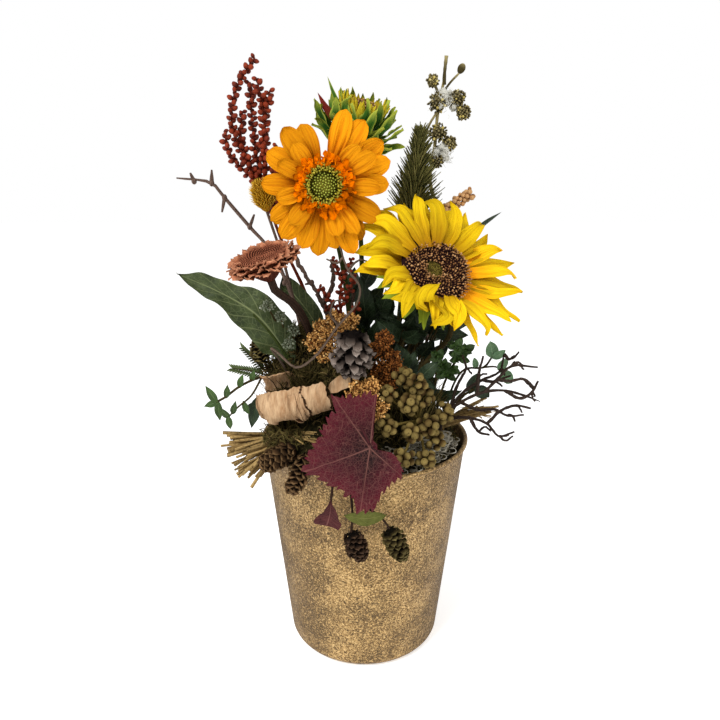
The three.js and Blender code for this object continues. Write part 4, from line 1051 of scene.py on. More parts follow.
    def gilt_layers(self, mix: Recipe) -> Layers:
        """Crinkled leaf gold over a dark ground, rubbed through in patches, with painted shade in the crinkles' dips,
        painted glints on their ridges, and painted shade where it turns away.

        Args:
            mix: The recipe to add to.

        Returns:
            The sockets of the colour and of the height.
        """
        spot = mix.spot()
        warp = mix.node("ShaderNodeTexNoise")
        mix.feed(warp.inputs["Vector"], spot)
        warp.inputs["Scale"].default_value = 260.0
        shifted = mix.node("ShaderNodeVectorMath", operation="MULTIPLY_ADD")
        for socket, value in zip(shifted.inputs, (warp.outputs["Color"], (0.004,) * 3, spot)):
            mix.feed(socket, value)
        cloud = mix.mottled(26.0)
        patches = mix.band(mix.noise(spot, 30.0, 5.0, 0.7), 0.36, 0.64)
        level = mix.sum("MULTIPLY_ADD", patches, 0.046, 0.45)
        crinkle = mix.noise(shifted.outputs[0], 700.0, 6.0, 0.85)
        # Dark where the crinkle dips below the level. This is painted shade of the crinkles, and also the dark ground
        # showing where the gold is rubbed through, which is less metallic.
        crinkle_shade_and_wear = mix.band(mix.less(level, crinkle), -0.02, 0.02, 0.0, 0.85)
        # Painted glints: the crinkle's ridges are lifted towards the pale fleck colour.
        painted_glints = mix.band(mix.less(crinkle, level), 0.05, 0.1)
        cracks = mix.band(mix.cells(shifted.outputs[0], 420.0), 0.0, 0.13, 0.9, 0.0)
        tall = mix.scaled(spot, (1.0, 1.0, 0.12))
        scratches = mix.band(mix.noise(tall, 420.0, 4.0, 0.7), 0.56, 0.66, 0.0, 0.5)
        # This mask carries the painted crinkle shade as well as the real cracks and scratches. It also sets the metal,
        # the roughness and the relief.
        wear_and_shade = mix.most(crinkle_shade_and_wear, mix.times(mix.most(cracks, scratches), patches))
        gold = mix.blend(mix.times(cloud, 0.4), self.tip, self.fleck)
        # The gold with its painted glints, darkened by the cracks, the scratches and the painted crinkle shade.
        crackle_with_painted_light = mix.blend(wear_and_shade, mix.blend(painted_glints, gold, self.fleck), self.root)
        away = mix.node("ShaderNodeLayerWeight")
        away.inputs["Blend"].default_value = 0.35
        mix.feed(mix.shader.inputs["Metallic"], mix.band(wear_and_shade, 0.0, 1.0, 0.7, 0.2))
        dull = mix.band(mix.sum("ADD", cloud, wear_and_shade), 0.0, 1.6, self.roughness, 0.8)
        mix.feed(mix.shader.inputs["Roughness"], dull)
        # Painted shade: the colour darkens towards SHADED_GOLD where the surface turns away from the view.
        turned = mix.blend(mix.band(away.outputs["Facing"], 0.15, 0.95, 0.0, 0.8), crackle_with_painted_light, SHADED_GOLD)
        return turned, mix.less(crinkle, mix.times(wear_and_shade, 0.5))

    def plain_layers(self, mix: Recipe) -> Layers:
        """Soft blotches of two colours."""
        cloud = mix.mottled(self.scale)
        return mix.blend(cloud, self.root, self.tip), cloud


# The colour of the gilt's painted shade where it turns away from the view.
SHADED_GOLD: RGB = (74, 52, 30)
# Its root is the dark ground and the painted crinkle shade; its fleck also gives the painted glints.
GILT = Finish("gilt_metal", Grain.GILT, (44, 31, 15), (172, 132, 73), (234, 200, 140), 0.43, 0.9, gloss=0.5)
FOAM = Finish("floral_foam", Grain.PLAIN, (70, 84, 56), (88, 102, 70), (60, 70, 50), 0.95, 0.4, 900.0)
MOSS = Finish("moss", Grain.STRAND, (42, 33, 20), (98, 88, 48), (142, 120, 78), 0.95, 0.5, 500.0)
# The bed under the moss and the cores of its clumps; its very dark colour is painted shade in the crevices between the
# strands.
MOSS_SHADED_GROUND = Finish("moss_ground_painted_shade", Grain.PLAIN, (20, 18, 10), (52, 48, 26), (30, 26, 14), 0.98, 1.0, 260.0)
ORANGE_PETAL = Finish("orange_petal", Grain.PETAL, (190, 72, 0), (232, 150, 16), (168, 74, 2), 0.65, 0.6, count=12.0,
                      vary=0.3, gloss=0.02)
# The frill's dark root colour is painted shadow between its small petals.
ORANGE_FRILL = Finish("deep_orange_petal", Grain.PETAL, (120, 38, 0), (250, 128, 0), (140, 46, 0), 0.75, 0.3, count=6.0,
                      vary=0.6, gloss=0.0)
# In each finish with the scale grain, the root colour is painted shade in the hollows.
LIME = Finish("lime_floret", Grain.SCALE, (52, 50, 10), (168, 158, 38), (214, 196, 84), 0.7, 0.3, 900.0, vary=0.4)
LIME_DOT = Finish("lime_dot", Grain.SCALE, (72, 82, 16), (160, 170, 62), (200, 200, 98), 0.6, 0.3, 900.0, vary=0.2)
YELLOW_PETAL = Finish("yellow_petal", Grain.PETAL, (176, 116, 8), (244, 204, 20), (176, 126, 6), 0.6, 0.6, count=10.0,
                      vary=0.3)
YELLOW_BLUSH = Finish("yellow_blush", Grain.PETAL, (244, 112, 8), (250, 206, 22), (226, 140, 8), 0.6, 0.5, count=10.0,
                      vary=0.2)
SEED_BROWN = Finish("seed_brown", Grain.SCALE, (44, 24, 26), (96, 56, 44), (196, 150, 84), 0.85, 0.3, 1500.0)
SEED_TIP = Finish("seed_tip", Grain.STRAND, (128, 86, 52), (186, 138, 90), (214, 172, 120), 0.8, 0.3, 1500.0)
SEED_OLIVE = Finish("seed_olive", Grain.STRAND, (70, 62, 26), (136, 122, 52), (164, 148, 72), 0.85, 0.3, 1500.0)
STEM_GREEN = Finish("stem_green", Grain.BARK, (42, 52, 22), (70, 82, 36), (36, 40, 20), 0.65, 0.3, 900.0, 10.0)
STEM_BROWN = Finish("stem_brown", Grain.BARK, (50, 42, 24), (84, 72, 40), (38, 30, 18), 0.75, 0.3, 900.0, 10.0)
SEPAL = Finish("sepal", Grain.PETAL, (96, 116, 30), (152, 170, 48), (80, 100, 28), 0.65, 0.3, count=9.0)
BRACT = Finish("bract_green", Grain.EDGED, (38, 84, 30), (82, 128, 42), (184, 190, 70), 0.55, 0.4, count=9.0, vary=0.3)
BRACT_RED = Finish("bract_red", Grain.PETAL, (96, 96, 40), (132, 44, 34), (90, 40, 30), 0.6, 0.3)
RUST = Finish("rust_berry", Grain.BERRY, (84, 24, 10), (160, 60, 28), (52, 16, 10), 0.5, 0.4, 700.0, vary=0.5,
              gloss=0.15)
RUST_STEM = Finish("rust_stem", Grain.BARK, (84, 30, 18), (120, 48, 28), (60, 22, 14), 0.75, 0.3, 900.0)
MUSTARD = Finish("mustard_bristle", Grain.SCALE, (172, 120, 16), (232, 184, 48), (250, 216, 100), 0.8, 0.2, 900.0)
TWIG = Finish("twig_bark", Grain.BARK, (70, 54, 46), (128, 106, 94), (54, 42, 36), 0.85, 0.5, 800.0, 9.0)
DARK_STEM = Finish("dark_stem", Grain.BARK, (28, 20, 16), (74, 54, 42), (22, 16, 12), 0.75, 0.6, 700.0, 12.0)
COPPER = Finish("copper_bract", Grain.SCALE, (74, 34, 22), (190, 114, 80), (234, 176, 136), 0.65, 0.5, 900.0, vary=0.4)
COPPER_DISH = Finish("copper_dish", Grain.SCALE, (96, 48, 32), (176, 102, 74), (214, 148, 112), 0.7, 0.5, 1500.0,
                     vary=0.35)
OLIVE_LEAF = Finish("olive_leaf", Grain.LEAF, (40, 50, 26), (76, 88, 50), (136, 144, 98), 0.5, 0.5, 300.0, 7.0,
                    gloss=0.2)
PINE = Finish("pine_needle", Grain.STRAND, (48, 48, 24), (94, 92, 48), (134, 126, 74), 0.6, 0.2, 900.0)
GOLDEN_OLIVE = Finish("golden_olive", Grain.SCALE, (66, 58, 32), (132, 120, 82), (180, 164, 110), 0.8, 0.4, 900.0)
COTTON = Finish("cotton", Grain.STRAND, (168, 166, 154), (208, 206, 196), (232, 230, 222), 0.98, 0.3, 500.0)
FLECK_GOLD = Finish("golden_fleck", Grain.STRAND, (150, 132, 66), (196, 178, 104), (226, 212, 150), 0.7, 0.3, 900.0)
TAN = Finish("tan_bud", Grain.BERRY, (156, 104, 60), (224, 178, 124), (106, 68, 40), 0.8, 0.4, 900.0)
SILVER = Finish("silver_floret", Grain.STRAND, (92, 98, 78), (142, 148, 126), (184, 186, 168), 0.9, 0.3, 900.0)
# The yarrow's dark root colours are painted shade in the dips between the florets; their pale flecks are the painted
# light on the lumps.
YARROW = Finish("yarrow_gold", Grain.STRAND, (104, 62, 28), (238, 180, 104), (250, 218, 156), 0.9, 0.3, 900.0)
YARROW_BROWN = Finish("yarrow_brown", Grain.STRAND, (52, 28, 14), (150, 90, 42), (196, 138, 78), 0.9, 0.3, 900.0)
CONE_GREY = Finish("cone_grey", Grain.SCALE, (32, 25, 22), (148, 130, 118), (206, 192, 180), 0.8, 0.9, 600.0, vary=0.6)
CONE_BROWN = Finish("cone_brown", Grain.SCALE, (34, 24, 16), (104, 76, 50), (158, 126, 86), 0.8, 0.7, 900.0, vary=0.45)
CONE_DARK = Finish("cone_dark", Grain.SCALE, (18, 13, 10), (66, 48, 36), (116, 90, 68), 0.75, 0.7, 900.0, vary=0.4)
CONE_MOSSY = Finish("cone_mossy", Grain.SCALE, (26, 22, 12), (92, 78, 46), (136, 124, 76), 0.85, 0.7, 900.0, vary=0.45)
BARK_TAN = Finish("pale_bark", Grain.PEEL, (50, 34, 22), (208, 176, 138), (150, 110, 74), 0.7, 0.7, 300.0)
MAROON = Finish("maroon_leaf", Grain.NETTED, (18, 6, 8), (84, 18, 32), (150, 100, 90), 0.5, 0.7, 300.0, vary=0.4,
                gloss=0.1)
MAROON_STALK = Finish("maroon_stalk", Grain.BARK, (50, 22, 26), (84, 40, 42), (36, 18, 20), 0.7, 0.3, 700.0)
MAROON_SMALL = Finish("maroon_small", Grain.LEAF, (58, 30, 32), (92, 50, 50), (128, 84, 78), 0.6, 0.5, 420.0, 8.0)
BERRY = Finish("olive_berry", Grain.BERRY, (70, 52, 27), (160, 138, 80), (50, 36, 19), 0.75, 0.5, 900.0, vary=0.55)
BERRY_STEM = Finish("berry_stem", Grain.BARK, (88, 74, 36), (122, 104, 52), (66, 54, 28), 0.75, 0.3, 900.0)
STRAW = Finish("straw", Grain.BARK, (112, 84, 46), (206, 174, 114), (84, 62, 36), 0.55, 0.4, 700.0, 6.0, vary=0.5)
STRAW_END = Finish("straw_end", Grain.PLAIN, (70, 50, 28), (110, 84, 50), (60, 44, 24), 0.9, 0.4, 900.0)
DARK_LEAF = Finish("dark_leaf", Grain.LEAF, (22, 34, 18), (44, 62, 36), (92, 108, 76), 0.4, 0.5, 300.0, 7.0, gloss=0.3)
SMALL_GREEN = Finish("small_green", Grain.LEAF, (64, 66, 28), (104, 108, 52), (126, 126, 70), 0.55, 0.5, 300.0, 7.0)
FRESH_LEAF = Finish("fresh_leaf", Grain.LEAF, (38, 58, 24), (68, 96, 42), (116, 138, 86), 0.45, 0.4, 300.0, 7.0,
                    gloss=0.2)
PALE_LEAF = Finish("pale_leaf", Grain.LEAF, (84, 118, 84), (122, 154, 116), (160, 186, 150), 0.5, 0.4, 300.0, 7.0)
BOX_LEAF = Finish("box_leaf", Grain.LEAF, (26, 46, 14), (56, 86, 28), (94, 118, 56), 0.4, 0.4, 300.0, 5.0, gloss=0.3)
CURL = Finish("curl_bark", Grain.BARK, (34, 26, 22), (74, 60, 52), (24, 18, 16), 0.75, 0.4, 800.0)
LICHEN = Finish("lichen_grey", Grain.STRAND, (112, 106, 92), (186, 180, 162), (224, 218, 202), 0.95, 0.3, 900.0)
VINE = Finish("vine_bark", Grain.BARK, (74, 60, 50), (122, 104, 90), (54, 44, 36), 0.85, 0.4, 800.0)
FEATHER = Finish("feather_green", Grain.LEAF, (66, 80, 48), (104, 118, 74), (140, 148, 110), 0.75, 0.3, 300.0)
BUD_YELLOW = Finish("bud_yellow", Grain.PETAL, (120, 134, 30), (214, 190, 44), (150, 140, 24), 0.6, 0.45, count=8.0,
                    vary=0.3)
FLOOR = Finish("pale_floor", Grain.PLAIN, (251, 251, 251), (252, 252, 252), (250, 250, 250), 0.9, 0.02, 20.0, gloss=0.0,
               glow=0.45)


# ---------------------------------------------------------------- the part's own routes, in millimetres


FOOT = 118  # the height of the long stems' lower ends, inside the foam
ROOT = 162  # the height of the short stems' lower ends, inside the moss bed

STEMS: dict[str, tuple[Sequence[float], Rows]] = {
    "orange": ((2.1, 1.9), [(-8, 6, FOOT), (-9, 5, 230), (-16, -1, 310), (-25, -9, 354), (-28, -18.6, 373)]),
    "sunflower": ((2.4, 2.1), [
        (30, 4, FOOT), (33, 4, 210), (48, -2, 238), (65, -4, 260), (65, -5, 277), (54, -12, 294),
        (42.6, -22.3, 306.4)]),
    "bud": ((2, 1.8), [(0, 24, FOOT), (-2, 25, 300), (-6, 26.2, 398.8)]),
    "bristle": ((1.3, 1.1), [(-42, 14, FOOT), (-46, 12, 230), (-60, 5, 310), (-71.9, 0, 353.7)]),
    "protea": ((3.2, 2.9), [
        (-22, -14, FOOT), (-26, -16, 210), (-39, -25, 264), (-49, -43, 293), (-61.3, -59.4, 308.2),
        (-63.1, -60.9, 314.6)]),
    "redTall": ((1.7, 1.2), [(-24, 26, FOOT), (-28, 26, 220), (-46, 24, 285), (-62, 22, 323), (-72, 22, 352)]),
    "redLow": ((1.4, 1.1), [(-12, -10, FOOT), (-13, -11, 230), (-19, -12, 290)]),
    "twig": ((2.4, 2, 1.6, 1.4, 1.1), [
        (-32, 2, FOOT), (-37, 1, 225), (-46, -2, 262), (-68, -10, 325), (-83, -13, 344), (-99, -18, 365),
        (-107, -20, 375), (-131, -21, 378.5)]),
    "largeLeaf": ((1.9, 1.7), [(-42, -12, FOOT), (-46, -15, 212), (-58, -26, 252)]),
    "backLeaf": ((1.3, 1.1), [(-20, 12, FOOT), (-22, 12, 220), (-36, 15, 262)]),
    "pine": ((2, 1.8, 2.6, 1.4), [(24, 30, FOOT), (27, 28, 250), (36, 25, 345), (41.5, 25, 412)]),
    "cotton": ((2, 1.8, 1.6, 1.2), [
        (38, 46, FOOT), (44, 50, 250), (60, 55, 345), (52, 55, 372), (55, 55, 396), (57, 55, 426), (61, 55, 448)]),
    "spike": ((1.3, 1.1), [(48, 28, FOOT), (52, 33, 260), (60, 40, 347)]),
    "narrow": ((1.2, 1), [(56, 14, FOOT), (60, 18, 240), (81, 34, 328)]),
    "statice": ((1.2, 0.9), [(-44, 2, ROOT), (-48, 0, 212), (-62, -11, 262)]),
    "feathery": ((1.1, 0.9), [(-58, -6, ROOT), (-62, -8, 200), (-74, -16, 232)]),
    "yarrowLeft": ((1.2, 1), [(-17, -32, ROOT), (-18, -32, 205), (-24, -36, 244)]),
    "yarrowRight": ((1.2, 1), [(8, -34, ROOT), (9, -35, 205), (13, -40, 232)]),
    "yarrowLow": ((1.1, 0.9), [(-3, -50, ROOT), (-3, -53, 200), (0, -61, 224)]),
    "greyCone": ((1.3, 1.3), [(-9, -40, ROOT), (-10, -42, 205), (-9, -59, 252)]),
    "leftCone": ((1.1, 1), [(-62, -14, ROOT), (-67, -16, 215), (-76, -24, 248)]),
    "maroon": ((1.2, 1), [(-6, -60, ROOT), (-8, -64, 196), (-12, -74, 232), (-6, -82, 224), (3, -88.4, 207)]),
    "berries": ((1.6, 1.4), [(34, -38, ROOT), (35, -42, 198), (38, -52, 210)]),
    "darkSprig": ((1.3, 1), [(30, -18, ROOT), (31, -20, 205), (29, -31, 244)]),
    "boxwood": ((1.1, 0.9), [(56, -4, ROOT), (58, -6, 205), (66, -12, 236), (76, -14, 252)]),
    "tendrilRight": ((1, 0.8), [(66, 4, ROOT), (68, 0, 212), (78, -6, 234), (92, -8, 236), (98, -10, 246)]),
    "tendrilLeft": ((1.1, 0.9), [
        (-54, -20, ROOT), (-59, -20, 205), (-67, -22, 230), (-76, -34, 237), (-91, -43, 233), (-101, -46, 226),
        (-108, -46, 222)]),
    "curly": ((1.7, 1.3, 1.1, 0.9), [
        (58, -20, ROOT), (60, -24, 200), (72, -31, 216), (89, -33, 225), (104, -33, 226), (119, -33, 222),
        (131, -32, 217)]),
    "grapevine": ((0.9, 0.85), [
        (-44, -20, ROOT), (-47, -22, 205), (-60, -30, 244), (-67, -44, 262), (-60, -57, 262), (-48, -60, 253),
        (-36, -57, 259), (-19, -54, 281), (-5, -42, 296), (-4, -38, 306), (-12, -37, 317), (-18, -37, 334)]),
    "alder": ((1, 0.9), [(-10, -62, ROOT), (-11, -70, 186), (-11, -84.4, 185), (-10, -85, 167), (-9, -87, 152),
                         (-10, -88, 140)]),
    "smallMaroon": ((1, 0.9), [(-20, -58, ROOT), (-21, -69, 186), (-22, -82.2, 184.6), (-23, -84, 172),
                               (-24, -91, 164)]),
    "smallGreen": ((1, 0.9), [(6, -58, ROOT), (6, -69, 186), (4, -84.6, 185), (3, -85.2, 172), (2, -87, 161),
                              (0, -90.6, 153)]),
    "raffia": ((1.5, 0.9), [(60, -9, ROOT), (64, -12, 194), (80, -17, 203), (102, -24, 210)]),
    "ivyRight": ((1.2, 0.9), [(64, -2, ROOT), (68, -8, 196), (76, -15, 215), (84, -22, 224)]),
    "leafLeft": ((1.1, 0.9), [(-62, -22, ROOT), (-66, -24, 196), (-79, -36, 222)]),
    "backGreens": ((1.6, 1.2), [(-8, 50, ROOT), (-9, 56, 215), (-12, 66, 276)]),
    "backRight": ((1.5, 1.1), [(44, 56, ROOT), (48, 62, 206), (58, 70, 250)]),
}


def stem(clay: Clay, name: str, sides: int = 8, gnarl: float = 0.05, slot: int = 0, tip: float = 1.0) -> np.ndarray:
    """Adds one of the arrangement's stems to a piece.

    Args:
        clay: The piece.
        name: Which stem it is.
        sides: Its number of sides.
        gnarl: How uneven it is.
        slot: Which of the piece's finishes it has.
        tip: How much of its last radius is left at its very tip.

    Returns:
        The stem's route.
    """
    radii, rows = STEMS[name]
    fine = spread(radii, np.linspace(0, 1, 12))
    fine[-1] *= tip
    return clay.tube(rows, fine, sides, 6 * (len(rows) - 1), gnarl, tint=0.6, slot=slot)


def lone_stem(node: str, name: str, finish: Finish, seed: int, sides: int, gnarl: float = 0.05) -> None:
    """Casts a stem that is a piece of its own.

    Args:
        node: The node that it replaces.
        name: Its name in the table of stems.
        finish: Its finish.
        seed: Where its random numbers start.
        sides: The faces round it.
        gnarl: How uneven its girth is, as a share.
    """
    clay = Clay(seed)
    stem(clay, name, sides, gnarl)
    clay.cast(node, finish)


class Track:
    """A route with the ways ahead and aside at each of its places."""

    def __init__(self, route: np.ndarray) -> None:
        """Measures a route.

        Args:
            route: The spots of the route.
        """
        self.route = route
        self.ahead = headings(route)
        self.first, self.second = carried(route)

    def at(self, place: float, turn: float) -> tuple[int, np.ndarray, np.ndarray]:
        """The step, the spot on the route and the way out at a turn about it.

        Args:
            place: The share of its length.
            turn: The turn in radians.

        Returns:
            The step, the spot and the way out.
        """
        k = int(min(place, len(self.route) - 2))
        spot = self.route[k] + (self.route[k + 1] - self.route[k]) * (place - k)
        return k, spot, self.first[k] * math.cos(turn) + self.second[k] * math.sin(turn)


# ---------------------------------------------------------------- bucket and what fills it


@dataclass
class Bucket:
    """The round gilded bucket with a rolled rim."""

    rim: float = 82.5
    base: float = 61.6
    height: float = 178.8
    wall: float = 1.4
    corner: float = 8.0
    roll: float = 1.7
    sides: int = 128

    def wall_radius(self, z: float) -> float:
        """The outer radius of the plain wall at a height."""
        return self.base + (self.rim - self.roll - self.base) * z / self.height

    def section(self) -> list[Spot]:
        """Half of the bucket's section, from the middle of its foot to the middle of its floor.

        Returns:
            The spots of the section.
        """
        top = self.height - self.roll
        foot = self.wall_radius(self.corner)
        bend = [(foot - self.corner * (1 - math.sin(a)), 0.0, self.corner * (1 - math.cos(a)))
                for a in np.linspace(0, math.pi / 2, 7)]
        side = [(self.wall_radius(z), 0.0, z) for z in np.linspace(self.corner, top - 3, 9)[1:]]
        roll = [(self.rim - self.roll * (1 - math.cos(a)), 0.0, top + self.roll * math.sin(a))
                for a in np.radians(np.linspace(-70, 200, 12))]
        inside = [(self.wall_radius(z) - self.wall, 0.0, z) for z in (top - 3, 120, 60, self.corner)]
        floor = [(foot - self.corner, 0.0, self.wall), (0.02, 0.0, self.wall)]
        return [(0.02, 0.0, 0.0), *bend, *side, *roll, *inside, *floor]

    def build(self) -> None:
        """Spins the section round the axis and finishes it."""
        rows = [tuple(c * MM for c in spot) for spot in self.section()]
        mesh = bpy.data.meshes.new("dressed_bucket")
        mesh.from_pydata(rows, [(i, i + 1) for i in range(len(rows) - 1)], [])
        piece = picked(mesh)
        shaped_in_edit_mode(
            lambda: bpy.ops.mesh.spin(steps=self.sides, angle=math.tau, axis=(0, 0, 1), center=(0, 0, 0)),
            lambda: bpy.ops.mesh.select_all(action="SELECT"),
            lambda: bpy.ops.mesh.remove_doubles(threshold=0.03 * MM),
            lambda: bpy.ops.mesh.select_all(action="SELECT"),
            lambda: bpy.ops.mesh.normals_make_consistent(inside=False))
        settle(piece, "bucket", GILT, angle=60.0)


@dataclass
class Bedding:
    """The foam inside the bucket and the moss that covers it."""

    level: Rows = ((0, 198), (26, 196), (48, 188), (62, 182), (72, 176), (77.4, 170))
    hummocks: Rows = ((-42, -38, 22, 22), (-40, 34, 24, 8), (34, 38, 26, 10), (46, -34, 18, 4))
    edge: float = 77.2
    grown: float = 76
    strands: int = 3000
    tufts: int = 96
    left_tufts: int = 34
    clumps: Rows = (
        (-52, -16, 264, 10), (-47, -20, 250, 13), (-60, -14, 250, 11), (-36, -20, 254, 12), (-54, -22, 236, 14),
        (-38, -26, 238, 13), (-68, -20, 238, 10), (-62, -26, 224, 12), (-28, -22, 240, 11), (-24, -40, 240, 9))

    def height(self, x: np.ndarray, y: np.ndarray) -> np.ndarray:
        """The height of the moss at a place.

        Args:
            x: The places along X.
            y: The places along Y.

        Returns:
            The heights.
        """
        radius = np.hypot(x, y)
        rise = np.interp(radius, [r for r, _ in self.level], [z for _, z in self.level])
        for cx, cy, spread, height in self.hummocks:
            rise = rise + height * np.exp(-((x - cx) ** 2 + (y - cy) ** 2) / spread ** 2) * (radius < self.grown)
        return rise + 1.4 * np.sin(x * 0.31) * np.cos(y * 0.27)

    def build(self) -> None:
        """Dresses the foam and grows the moss."""
        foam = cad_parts["foam_block"]
        foam.data.materials.clear()
        foam.data.materials.append(FOAM.material())
        clay = Clay(5)
        self.ground(clay)
        for _ in range(self.strands):
            self.strand(clay)
        for _ in range(self.tufts):
            self.tuft(clay, clay.draw(-58, 54), clay.draw(-30, 46), clay.draw(18, 52))
        for _ in range(self.left_tufts):
            self.tuft(clay, clay.draw(-62, -30), clay.draw(-36, -6), clay.draw(26, 60))
        for row in self.clumps:
            self.clump(clay, np.array(row[:3]), row[3])
        clay.cast("moss_bed", MOSS, MOSS_SHADED_GROUND)

    def ground(self, clay: Clay) -> None:
        """Adds the lumpy bed that the moss grows on.

        Args:
            clay: The piece to add to.
        """
        rows = [(r, float(np.interp(r, *zip(*self.level)))) for r in np.linspace(0, self.edge, 22)]
        waves = clay.chance.uniform(0, 6.3, 6)

        def lumps(angle: np.ndarray, radius: np.ndarray, height: np.ndarray) -> tuple[np.ndarray, np.ndarray]:
            """The hummocks and small lumps of the bed.

            Args:
                angle: The turns about the middle.
                radius: The distances from the middle.
                height: The heights of the bed.

            Returns:
                The radii and heights with the lumps.
            """
            x, y = np.cos(angle) * radius, np.sin(angle) * radius
            small = (1.1 * np.sin(x * 0.9 + waves[0]) * np.sin(y * 0.8 + waves[1])
                     + 0.8 * np.sin(x * 1.7 + y * 1.3 + waves[2])) * np.clip((self.edge - radius) / 4, 0, 1)
            rise = (self.height(x, y) - height) * (radius < self.grown) + small
            return np.zeros_like(radius), np.where(height > 165, rise, 0)

        # Slot 1 is the dark moss ground: painted shade under the strands.
        clay.turned([*rows, (77, 160), (75.6, 152.4), (0, 152.4)], 96, warp=lumps, tint=0.2, slot=1)

    def strand(self, clay: Clay) -> None:
        """Adds a strand of moss where it doesn't hang over the rim.

        Args:
            clay: The piece to add to.
        """
        radius = self.grown * math.sqrt(clay.draw(0.002, 1))
        angle = clay.draw(0, math.tau)
        x, y = math.cos(angle) * radius, math.sin(angle) * radius
        z = float(self.height(x, y))
        reach = clay.draw(4, 9)
        lean = clay.draw(0, math.tau)
        out = np.array([math.cos(lean), math.sin(lean), 0]) * reach
        rows = [(x, y, z - 1.5), (x + out[0] * 0.4, y + out[1] * 0.4, z + reach * 0.45),
                np.array([x, y, z + reach * clay.draw(0.05, 0.5)]) + out]
        if math.hypot(*rows[2][:2]) < 79:
            clay.tube(rows, (0.55, 0.4, 0.12), 3, 3)

    def clump(self, clay: Clay, middle: np.ndarray, radius: float) -> None:
        """Adds a ball of moss with strands on all its sides."""
        # The core takes the dark moss ground finish: painted shade inside the clump.
        clay.ball(middle, radius * 0.5, level=3, tint=0.0, slot=1,
                  shape=lambda d: 1 + 0.2 * np.sin(d[:, 0] * 9) * np.sin(d[:, 2] * 8))
        for _ in range(int(radius * 34)):
            out = unit(clay.chance.normal(0, 1, 3))
            root = middle + out * radius * 0.35
            tip = middle + (out + clay.chance.uniform(-0.4, 0.4, 3)) * radius * clay.draw(0.6, 1.0)
            clay.tube([root, (root + tip) / 2 + clay.chance.uniform(-1, 1, 3), tip], (0.55, 0.5, 0.25), 3, 2)

    def tuft(self, clay: Clay, x: float, y: float, tall: float) -> None:
        """Adds a loose tuft of long moss.

        Args:
            clay: The piece.
            x: Where it stands, to the right.
            y: Where it stands, to the back.
            tall: How high it rises.
        """
        foot = np.array([x, y, float(self.height(x, y)) - 2])
        for _ in range(26):
            lean = np.array([clay.draw(-1, 1), clay.draw(-1, 1), 0]) * tall * 0.45
            rise = tall * clay.draw(0.5, 1.0)
            middle = foot + lean * 0.4 + (clay.draw(-2, 2), clay.draw(-2, 2), rise * 0.6)
            clay.tube([foot + lean * 0.15, middle, foot + lean + (0, 0, rise)], (0.6, 0.5, 0.15), 3, 3, wander=0.8,
                      tint=clay.draw(0, 0.8))


# ---------------------------------------------------------------- blooms


@dataclass
class Head:
    """A flower head that looks along an axis."""

    centre: Spot
    axis: Spot

    def at(self, turn: float = 0.0) -> np.ndarray:
        """The head's place, turned about its axis."""
        return facing(self.axis, self.centre, turn)

    def ring(self, count: int, offset: float = 0.0) -> list[np.ndarray]:
        """The turned places of what stands evenly round the head."""
        return [self.at((i + offset) * math.tau / count) for i in range(count)]

    def sow(self, clay: Clay, count: int, reach: float, height: Callable[[float], float], radii: Spot,
            level: int = 1, slot: int = 1) -> None:
        """Sows small balls over the disc in a sunflower's spiral.

        Args:
            clay: The piece.
            count: How many there are.
            reach: The radius that they fill.
            height: How high each stands, from its distance to the middle.
            radii: Their radii.
            level: How finely they are cut.
            slot: Which of the piece's finishes they have.
        """
        for i in range(count):
            radius = reach * math.sqrt((i + 0.5) / count)
            clay.ball((*golden(i, radius), height(radius)), radii, level=level, place=self.at(), slot=slot)


